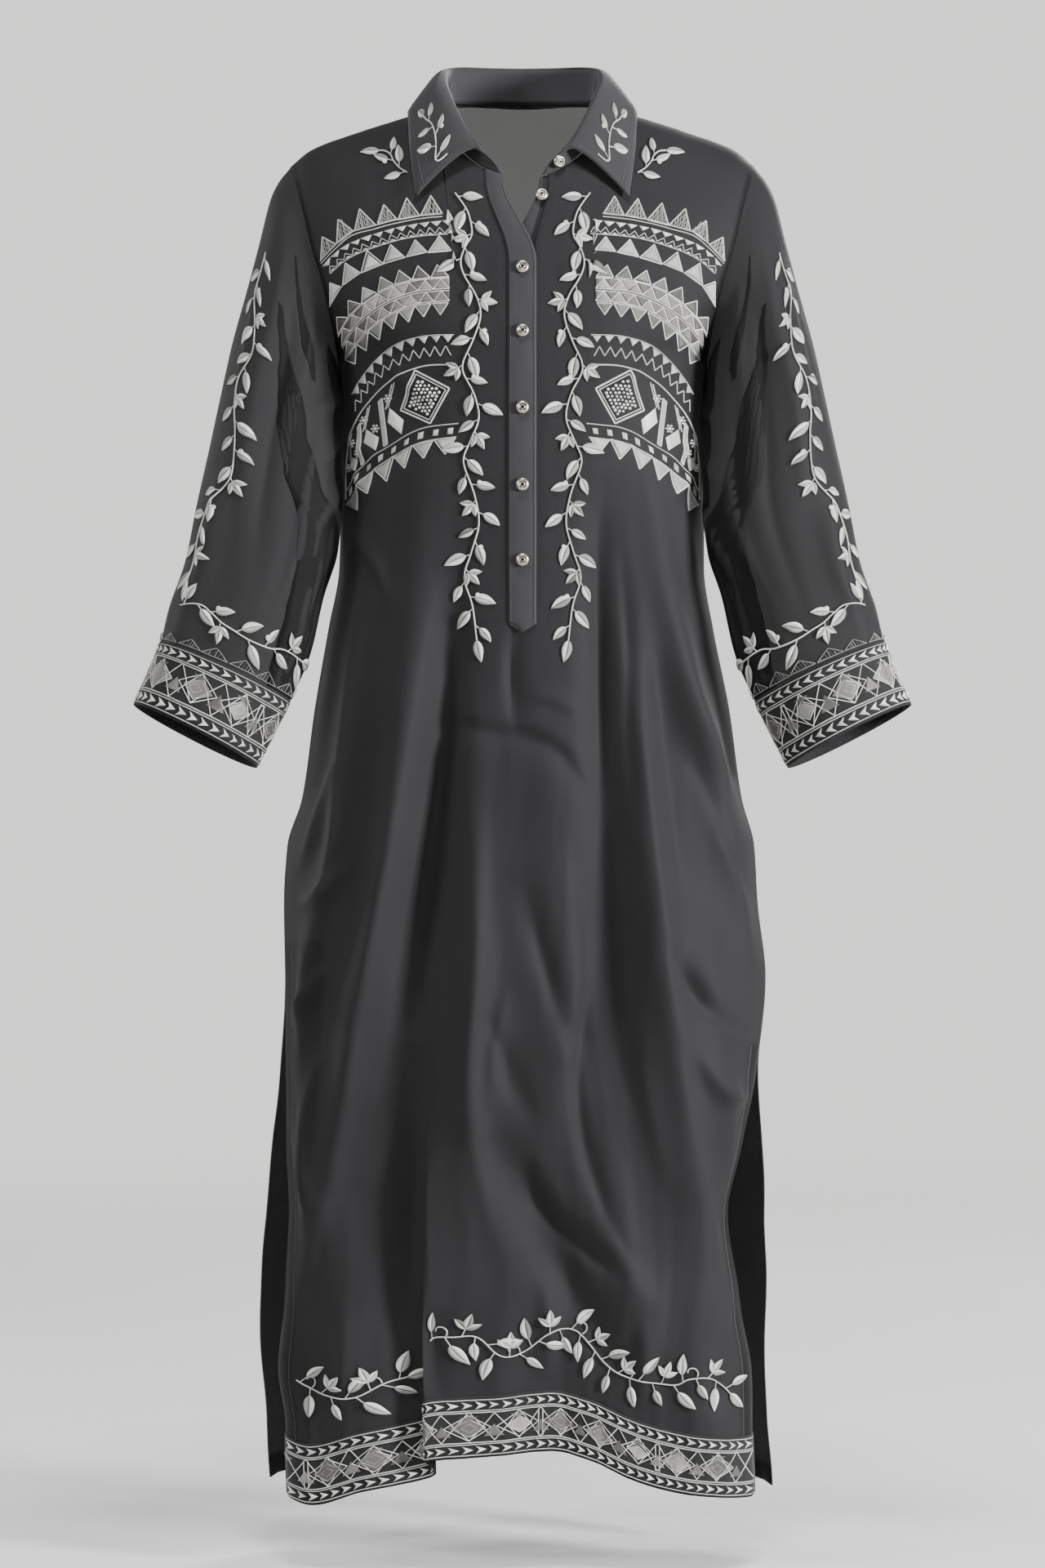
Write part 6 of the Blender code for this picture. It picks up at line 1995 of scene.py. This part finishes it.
class Body(Maker):
    """The front and back cloth, with turned edges at the slits and hem."""

    def build(self) -> dict[str, Object]:
        form = self.forms.front
        slot = int(np.argmin(np.abs(FRONT_COLUMNS + SLOT_XI)))
        rows, cols = form.points.shape[:2]
        slot_row = int(np.ceil(form.place(0.0, PLACKET_END_Z + 0.012)[0]))
        skip = np.zeros((rows - 1, cols - 1), bool)
        skip[slot_row:, slot : slot + 3] = True
        front = self.panel("cloth_front", form, self.palette.body, skip)
        back = self.panel("cloth_back", self.forms.back, self.palette.back)
        join_to_frame(front, ["front"])
        join_to_frame(back, ["back"])
        return {"front": front, "back": back}

    def panel(self, name: str, form: PanelForm, material: Material, skip: Array | None = None) -> Object:
        """One panel's cloth, darker where it is doubled, and painted darker as shade beside the armholes
        below the underarm.
        """
        work = Patchwork("ply_and_shade")
        xi, row = np.meshgrid(form.columns, np.arange(float(form.rows)))
        z = form.points[..., 2]
        slit = SLIT_TOP_Z - np.where(xi < 0, SLIT_SHUT["right"], SLIT_SHUT["left"])
        facing = FACING_XI[form.panel]
        faced = blend(1 - facing - 0.006, 1 - facing + 0.002, np.abs(xi)) * (z < slit)
        turned = np.where(row < HEM_TURN, 1.0, 0.0)
        seam = blend(0.975, 0.985, np.abs(xi))
        # Painted shade: below the underarm, the cloth next to each armhole is painted towards the darker
        # colour.
        armpit_shade_height = blend(-0.50, -0.36, z) * (1 - blend(-0.20, -0.14, z))
        painted_shade = ARMPIT_SHADE * blend(0.82, 1.0, np.abs(xi)) * armpit_shade_height
        ply_and_shade = np.maximum(np.maximum(np.maximum(faced, turned), seam) * 0.75, painted_shade)
        work.grid(form.points, flat_map(form.points), ply_and_shade, form.normals, skip)
        self.turn(work, form, np.arange(0, HEM_TURN + 0.1, 1.0), np.linspace(-1, 1, len(form.columns)))
        for side in Side:
            rows = np.linspace(0, form.slit_row(side), 120)
            self.turn(work, form, rows, side.sign * np.linspace(1 - facing, 1, 8))
        return finish_cloth(work, name, material)

    def turn(self, work: Patchwork, form: PanelForm, rows: Array, xi: Array) -> None:
        """Adds a turned-in strip behind the cloth."""
        col, row = np.meshgrid(form.column_at(np.sort(xi)), rows)
        points = form.lay(row, col, -(CLOTH + 0.0002))
        facing = form.lay(row, col, 0.0) - points
        work.grid(points, flat_map(points), 1.0, facing)


@dataclass
class Sleeve(Maker):
    """A sleeve's cloth and its border strip.

    Attributes:
        side: The wearer's side.
    """

    side: Side

    def __post_init__(self) -> None:
        self.form = self.forms.sleeves[self.side]

    def build(self, body: dict[str, Object]) -> None:
        name = self.side.value
        rows, cols = self.form.points.shape[:2]
        cloth = self.tube(f"cloth_sleeve_{name}", self.palette.sleeve, np.arange(float(rows)), 0.0, True)
        join_to_frame(cloth, [f"sleeve_{name}"])
        band_rows = np.linspace((rows - 1) * CUFF_BAND_STATION, rows - 1.04, 9)
        border = self.tube(f"border_cuff_{name}", self.palette.border, band_rows, 0.0003, False)
        join_to_frame(border, [f"cuff_band_{name}"])

    def tube(self, name: str, material: Material, rows: Array, out: float, inward: bool) -> Object:
        """A strip or all of the sleeve, closed round, with shade painted on its inner side near the armpit.
        All of it has its doubled folds too.
        """
        work = Patchwork("ply_and_shade")
        col, row = np.meshgrid(np.arange(float(self.form.points.shape[1])), rows)
        points = self.form.lay(row, col, out + SLEEVE_FACE) * self.form.mirror
        further = self.form.lay(row, col, out + 2 * SLEEVE_FACE) * self.form.mirror
        turn = col / (self.form.points.shape[1] - 1) * 2 * math.pi
        down = row / (self.form.points.shape[0] - 1)
        # Painted shade: the inner side of the sleeve, near the armpit, is painted towards the darker colour.
        painted_shade = ARMPIT_SHADE * np.clip(-np.cos(turn), 0, 1) ** 1.5 * (1 - blend(0.15, 0.60, down))
        work.grid(points, flat_map(points), painted_shade, further - points)
        for lap in SLEEVE_DOUBLED if inward else ():
            self.double(work, lap)
        return finish_cloth(work, name, material, inward=inward)

    def double(self, work: Patchwork, lap: dict[str, Array]) -> None:
        """Adds a layer inside the cloth, where it is folded over itself."""
        down = np.linspace(lap["down"][0], lap["down"][-1], 90)[:, None]
        share = np.linspace(0, 1, 7)
        first, last = (smooth(lap["down"], lap[name], down) for name in ("first", "last"))
        sway = 0.0022 * wander(down * 60, self.side.sign)
        around = first + sway + (last - first) * share
        downs = np.broadcast_to(down, around.shape)
        points = self.form.on(downs, around, SLEEVE_FACE - CLOTH - 0.0004)
        facing = self.form.on(downs, around, SLEEVE_FACE) - points
        work.grid(points, flat_map(points), 1.0, facing)


class Collar(Maker):
    """The stand and the turned-down leaf."""

    def build(self, body: dict[str, Object]) -> None:
        stand = self.sheet("collar_stand", self.forms.collar.stand)
        leaf = self.sheet("collar_leaf", self.forms.collar.leaf)

    def sheet(self, node: str, form: Surface) -> Object:
        work = Patchwork("ply_and_shade")
        work.grid(form.points, flat_map(form.points), 0.0, form.normals)
        made = finish_cloth(work, f"{node}_cloth", self.palette.collar, COLLAR_CLOTH)
        return join_to_frame(made, [node])


def placket_edges(z: Array, over: bool) -> tuple[Array, Array]:
    """Right and left edges of a placket strip at height z."""
    open_share = blend(SPLAY_Z, NECK_MIDDLE_Z["front"], z)
    if over:
        return -PLACKET_HALF - 0.0200 * open_share, PLACKET_HALF - 0.0278 * open_share
    return -PLACKET_HALF + 0.0262 * open_share, PLACKET_HALF + 0.0180 * open_share


class Placket(Maker):
    """The two placket strips and the seven buttons."""

    def build(self, body: dict[str, Object]) -> None:
        over = self.strip("placket_over", True, OVER_OUT)
        under = self.strip("placket_under", False, UNDER_OUT)
        self.buttons()

    def strip(self, node: str, over: bool, out: float) -> Object:
        """One strip, a little puffed between its edges. The over one ends in a point."""
        z = np.linspace(NECK_MIDDLE_Z["front"] + 0.010, PLACKET_END_Z, 112)
        right, left = placket_edges(z, over)
        share = np.linspace(0, 1, 13)[:, None]
        x = right + (left - right) * share
        heights = np.broadcast_to(z, x.shape).copy()
        if over:
            tip = (PLACKET_END_Z - PLACKET_TIP_Z) * (1 - np.abs(share * 2 - 1))
            heights -= tip * blend(PLACKET_END_Z + 0.010, PLACKET_END_Z, z)
        puff = 0.0007 * np.sin(np.pi * share) * (1 + 0.6 * wander(z * 90, 2.0))
        points = self.forms.shut_front.on(x, heights, out + puff)
        work = Patchwork("ply_and_shade")
        facing = np.broadcast_to(np.array([0.0, -1.0, 0.0]), points.shape)
        work.grid(points, flat_map(points), 0.0, facing)
        made = finish_cloth(work, f"{node}_cloth", self.palette.collar, inward=not over)
        return join_to_frame(made, [node])

    def buttons(self) -> None:
        """Five fastened, one undone on the under placket and one on the stand."""
        places = [(0.0, z, BUTTON_OUT) for z in FASTENED_Z] + [(*UNDONE_PLACE, UNDONE_OUT)]
        ends = [np.array([(x, z, out), (x, z, out + BUTTON_AXIS)]) for x, z, out in places]
        seats = [self.forms.shut_front.on(*pair.T) for pair in ends]
        stand = self.forms.collar.stand
        rows, cols = stand.points.shape[:2]
        row, col = np.full(2, (rows - 1) * 0.387), np.full(2, cols - 4.0)
        seats.append(stand.lay(row, col, np.array([STAND_OUT, STAND_OUT + BUTTON_AXIS])))
        for number, seat in enumerate(seats, start=1):
            make_button(number, seat, self.palette.button)


BUTTON_PROFILE = (
    (0.62, 0.0000),
    (0.94, 0.0004),
    (1.00, 0.0012),
    (0.98, 0.0020),
    (0.90, 0.0029),
    (0.78, 0.0035),
    (0.66, 0.0038),
    (0.55, 0.0037),
    (0.50, 0.0033),
    (0.47, 0.0025),
    (0.42, 0.0025),
    (0.38, 0.0031),
    (0.28, 0.0034),
    (0.20, 0.0033),
    (0.17, 0.0023),
    (0.05, 0.0020),
)


def make_button(number: int, seat: Array, material: Material) -> None:
    """A turned and plated button with a rolled rim, a sunk dark middle and a small boss.

    Args:
        number: Its number down the placket.
        seat: The point it sits on, and one 10 mm above that.
        material: Its metal.
    """
    bpy.ops.object.select_all(action="DESELECT")
    first = BUTTON_PROFILE[0][0] * BUTTON_RADIUS
    bpy.ops.mesh.primitive_circle_add(vertices=36, radius=first, fill_type="NGON", location=(0, 0, 0))
    made = bpy.context.object
    made.name = made.data.name = f"metal_button_{number}"
    bpy.ops.object.mode_set(mode="EDIT")
    bpy.ops.mesh.select_all(action="SELECT")
    for (radius, height), (wider, higher) in zip(BUTTON_PROFILE[:-1], BUTTON_PROFILE[1:]):
        bpy.ops.mesh.extrude_region_move(TRANSFORM_OT_translate={"value": (0, 0, higher - height)})
        bpy.ops.transform.resize(value=(wider / radius, wider / radius, 1))
    bpy.ops.mesh.select_all(action="SELECT")
    bpy.ops.mesh.normals_make_consistent(inside=False)
    bpy.ops.object.mode_set(mode="OBJECT")
    spots = np.array([v.co[:] for v in made.data.vertices])
    reach = np.hypot(spots[:, 0], spots[:, 1]) / BUTTON_RADIUS
    hollow = np.exp(-(((reach - 0.45) / 0.035) ** 2)) + blend(0.24, 0.16, reach)
    hollow = np.where(spots[:, 2] < 0.0006, 0.6, hollow).astype(np.float32)
    made.data.attributes.new("hollow", "FLOAT", "POINT").data.foreach_set("value", hollow)
    made.data.materials.append(material)
    up = Vector(((seat[1] - seat[0]) / np.linalg.norm(seat[1] - seat[0])).tolist())
    turn = Vector((0, 0, 1)).rotation_difference(up).to_matrix().to_4x4()
    turn.translation = Vector(seat[0].tolist())
    made.data.transform(turn)
    made.data.shade_smooth()
    made.data.set_sharp_from_angle(angle=math.radians(50))
    join_to_frame(made, [f"button_{number}"])


class HemBorder(Maker):
    """The border strip sewn on the front hem."""

    def build(self, body: dict[str, Object]) -> None:
        front = self.forms.front
        rows = np.linspace(0.25, PanelForm.band_rows, 10)
        col, row = np.meshgrid(np.arange(float(len(front.columns))), rows)
        points = front.lay(row, col, 0.0003)
        facing = front.lay(row, col, 0.0013) - points
        work = Patchwork("ply_and_shade")
        work.grid(points, flat_map(points), 0.0, facing)
        made = finish_cloth(work, "border_hem", self.palette.border, inward=False)
        join_to_frame(made, ["hem_band"])


class ThreadWork(Maker):
    """All the metal-thread embroidery."""

    def build(self) -> None:
        for side in Side:
            self.body_side(side)
            self.sleeve(side)
            self.collar_side(side)
        self.hem()

    def vine(self, place: str, stem: Array, style: VineStyle, seed: int, lay: Lay, lift: float) -> None:
        """Grows one vine, which stands for the construction's.

        Args:
            place: Names both.
            stem: Points of its stem.
            style: How its leaves grow.
            seed: Starts its unevenness.
            lay: Lays it on its cloth.
            lift: How far its base stands off the cloth's own points.
        """
        work = Embroidery()
        grow_vine(work, stem, style, seed)
        work.build(f"thread_{place}", self.palette.silver, lay, [f"vine_{place}"], lift)

    def border(self, place: str, rows: Embroidery, lay: Lay) -> None:
        rows.build(f"thread_border_{place}", self.palette.fine_silver, lay, lift=0.0010)

    def body_side(self, side: Side) -> None:
        def onto(x: Array, z: Array, out: Array) -> Array:
            return self.forms.front.on(x * -side.sign, z, out)

        name, seed = side.value, 11 if side is Side.RIGHT else 23
        self.vine(f"chest_{name}", through(CHEST_STEM, 4), CHEST_VINE, seed + 5, onto, 0.0010)
        self.vine(f"shoulder_{name}", through(SHOULDER_STEM, 4), SHOULDER_VINE, seed + 8, onto, 0.0010)
        breast_rows(seed).build(f"thread_rows_{name}", self.palette.fine_silver, onto)

    def hem(self) -> None:
        front = self.forms.front
        self.vine("hem_right", through(HEM_STEM_RIGHT, 5), HEM_VINE, 5, front.on, 0.0014)
        self.vine("hem_left", through(HEM_STEM_LEFT, 5), HEM_VINE, 9, front.on, 0.0014)

        def on_band(across: Array, up: Array, out: Array) -> Array:
            row = np.where(
                up < HEM_BAND_HEIGHT,
                up / HEM_BAND_HEIGHT * PanelForm.band_rows,
                PanelForm.band_rows + (up - HEM_BAND_HEIGHT) / SKIRT_ROW,
            )
            return front.lay(row, front.column_at(across / CHART_HALF), out)

        self.border("hem", border_rows(0.396, HEM_BAND_HEIGHT, -0.198, 31, crest=False), on_band)

    def sleeve(self, side: Side) -> None:
        name, form = side.value, self.forms.sleeves[side]
        self.vine(f"sleeve_{name}", through(SLEEVE_STEM, 5), SLEEVE_VINE, 3, form.on, 0.0012)
        self.vine(f"cuff_{name}", through(CUFF_STEM, 5), CUFF_VINE, 7, form.on, 0.0012)
        last = len(form.run) - 1
        top = last * CUFF_BAND_STATION
        height = float(form.run[-1] - np.interp(top, np.arange(last + 1), form.run))
        girth = float(form.girth[-1])

        def on_band(around: Array, up: Array, out: Array) -> Array:
            row = last - up / height * (last - top)
            col = around / girth % 1.0 * (form.points.shape[1] - 1)
            return form.lay(row, col, out + SLEEVE_FACE) * form.mirror

        self.border(f"cuff_{name}", border_rows(girth * 0.998, height, 0.0, 41, crest=True), on_band)

    def collar_side(self, side: Side) -> None:
        def onto(along: Array, down: Array, out: Array) -> Array:
            return self.forms.collar.on_leaf(along, down, out, side)

        self.vine(f"collar_{side.value}", through(COLLAR_STEM, 4), COLLAR_VINE, 13, onto, 0.0003)


class Stitching(Maker):
    """Rows of machine stitches along the edges of the collar, placket, slits and hem."""

    pitch = 0.0026
    width = 0.0005
    placket_inset = 0.0016
    bar_z = (-0.3995, -0.4010)

    def build(self) -> None:
        self.placket()
        self.collar()
        for name, form in (("front", self.forms.front), ("back", self.forms.back)):
            self.panel(name, form)

    def dashes(self, work: Embroidery, *points: Sequence[float] | Array) -> None:
        """One stitch after another along a flat line."""
        line = np.array(points, float)
        run = run_of(line)
        for i in range(max(1, int(run[-1] / self.pitch))):
            ends = (np.array([i + 0.10, i + 0.84]) * self.pitch).tolist()
            start, end = (np.array([np.interp(at, run, line[:, k]) for k in range(2)]) for at in ends)
            work.cord([start, end], self.width, FINE_HEIGHT, 0.7, sides=2)

    def finish(self, work: Embroidery, place: str, lay: Lay, slot: str, lift: float) -> None:
        work.build(f"stitches_{place}", self.palette.sewing, lay, lift=lift, slot=slot)

    def placket(self) -> None:
        """Down both edges, round the point and across its top twice."""
        work, inset = Embroidery(), self.placket_inset
        z = np.linspace(NECK_MIDDLE_Z["front"] - 0.006, PLACKET_END_Z + 0.001, 60)
        right, left = placket_edges(z, True)
        self.dashes(work, *zip(right + inset, z))
        self.dashes(work, *zip(left - inset, z))
        ends = inset - PLACKET_HALF, PLACKET_HALF - inset
        self.dashes(work, (ends[0], PLACKET_END_Z), (0, PLACKET_TIP_Z + inset), (ends[1], PLACKET_END_Z))
        for z_at in self.bar_z:
            self.dashes(work, *((x, z_at) for x in ends))
        self.finish(work, "placket", self.forms.shut_front.on, "collar_cloth", 0.0020)

    def collar(self) -> None:
        """Along the leaf's edge and both its ends."""
        work, collar = Embroidery(), self.forms.collar
        inset, edge = 0.004, collar.leaf_reach - 0.0048
        last = collar.leaf_run[-1] - inset
        self.dashes(work, *((along, edge) for along in np.linspace(inset, last, 200)))
        for end in (inset, last):
            self.dashes(work, (end, 0.010), (end, edge))
        self.finish(work, "collar", collar.on_leaf, "collar_cloth", 0.0001)

    def panel(self, name: str, form: PanelForm) -> None:
        """Up both slits and along the hem."""
        work = Embroidery()
        for side in Side:
            xi = side.sign * (1 - FACING_XI[name] + 0.006)
            rows = np.linspace(3.0, form.slit_row(side), 80)
            self.dashes(work, *((xi * CHART_HALF, row * CHART_ROW) for row in rows))
        hem = (HEM_TURN - 0.4) * CHART_ROW
        self.dashes(work, *((across, hem) for across in np.linspace(-0.188, 0.188, 60)))

        def on_chart(across: Array, up: Array, out: Array) -> Array:
            return form.lay(up / CHART_ROW, form.column_at(across / CHART_HALF), out)

        self.finish(work, name, on_chart, "georgette", 0.0001)


# ---------------------------------------------------------------------------------------------------
# The studio


class SoftBox(NamedTuple):
    """A light: where it stands, the height it is aimed at, its width and height, and its watts."""

    name: str
    place: tuple[float, float, float]
    aim_z: float
    size: tuple[float, float]
    power: float


LIGHTS = (
    SoftBox("key", (2.9, -1.7, 0.0), -0.60, (0.7, 0.7), 290.0),
    SoftBox("fill", (-2.9, -1.5, 0.8), -0.60, (0.8, 0.8), 59.0),
    SoftBox("top", (0.0, -1.2, 2.2), -0.40, (0.6, 0.4), 62.0),
    SoftBox("rim", (-1.9, 1.2, 0.0), -0.50, (1.0, 1.4), 19.0),
    SoftBox("behind", (1.3, 2.9, 1.2), -0.60, (0.9, 0.9), 130.0),
)


@dataclass
class Studio:
    """A pale floor, pale air, soft lights and the camera.

    Attributes:
        palette: The materials.
        floor: Height of the floor.
        air_seen: How bright the air looks.
        air_glow: How much it lights things.
        distance: From the camera to the middle of the garment.
        eye_z: Height of the camera.
        frame_height: Height of what it sees at that distance.
        sensor: Its sensor's longer side, in millimetres.
    """

    palette: Palette
    floor: float = -1.262
    air_seen: float = 1.8
    air_glow: float = 0.22
    distance: float = 3.8
    eye_z: float = -0.586
    frame_height: float = 1.3728
    sensor: float = 36.0

    def build(self) -> None:
        self.ground()
        for light in LIGHTS:
            self.light(light)
        self.air()
        self.camera()

    def air(self) -> None:
        """Pale air all round: bright to look at, and dim as a light."""
        world = bpy.data.worlds.new("studio_air")
        world.use_nodes = True
        tree = world.node_tree
        seen = tree.nodes["Background"]
        glow = tree.nodes.new("ShaderNodeBackground")
        for background, strength in ((seen, self.air_seen), (glow, self.air_glow)):
            background.inputs["Color"].default_value = linear("#DCDCDA")
            background.inputs["Strength"].default_value = strength
        ray = tree.nodes.new("ShaderNodeLightPath")
        either = tree.nodes.new("ShaderNodeMixShader")
        tree.links.new(ray.outputs["Is Camera Ray"], either.inputs[0])
        tree.links.new(glow.outputs[0], either.inputs[1])
        tree.links.new(seen.outputs[0], either.inputs[2])
        tree.links.new(either.outputs[0], tree.nodes["World Output"].inputs["Surface"])
        bpy.context.scene.world = world

    def ground(self) -> None:
        """A wide round floor."""
        bpy.ops.mesh.primitive_circle_add(vertices=96, radius=9.0, fill_type="NGON")
        ground = bpy.context.object
        ground.name = ground.data.name = "studio_floor"
        ground.data.transform(Matrix.Translation((0.0, 0.0, self.floor)))
        ground.data.materials.append(self.palette.studio)
        ground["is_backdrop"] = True

    def light(self, light: SoftBox) -> None:
        """A soft box pointed at the garment's middle line."""
        data = bpy.data.lights.new(light.name, "AREA")
        data.shape = "RECTANGLE"
        data.size, data.size_y = light.size
        data.energy = light.power
        lamp = bpy.data.objects.new(light.name, data)
        lamp.location = light.place
        lamp.visible_camera = False
        aim = Vector((0.0, 0.0, light.aim_z))
        lamp.rotation_euler = (aim - Vector(light.place)).to_track_quat("-Z", "Y").to_euler()
        bpy.context.scene.collection.objects.link(lamp)

    def camera(self) -> None:
        """Level, straight in front of the garment."""
        data = bpy.data.cameras.new("camera")
        data.sensor_width = self.sensor
        data.sensor_fit = "AUTO"
        data.lens = self.sensor * self.distance / self.frame_height
        made = bpy.data.objects.new("camera", data)
        made.location = (0.0, -self.distance, self.eye_z)
        made.rotation_euler = (math.pi / 2, 0.0, 0.0)
        bpy.context.scene.collection.objects.link(made)
        bpy.context.scene.camera = made


def note_size(sizes: dict[str, list[list[float]]], when: str) -> None:
    sizes[when] = [[float(v) for v in corner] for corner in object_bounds()]


def main() -> None:
    logging.basicConfig(level=logging.INFO, format="%(message)s")
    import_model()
    sizes: dict[str, list[list[float]]] = {}
    note_size(sizes, "cad")

    front_cloth = ("front", FRONT_COLUMNS, FRONT_FOLDS, FRONT_CREASES)
    front, shut_front = PanelForm(*front_cloth), PanelForm(*front_cloth, splayed=False)
    back = PanelForm("back", BACK_COLUMNS, BACK_FOLDS, BACK_CREASES)
    sleeves = {side: SleeveForm(side, 110, 108, SLEEVE_CREASES[side]) for side in Side}
    forms = Forms(front, shut_front, back, sleeves, CollarForm(front, back))
    palette = Palette()
    LOG.info("forms made")

    body = Body(forms, palette).build()
    for side in Side:
        Sleeve(forms, palette, side).build(body)
    for maker in (Collar, Placket, HemBorder):
        maker(forms, palette).build(body)
    LOG.info("cloth made")
    ThreadWork(forms, palette).build()
    Stitching(forms, palette).build()
    LOG.info("thread work made")

    Studio(palette).build()
    note_size(sizes, "visual")


if __name__ == "__main__":
    main()
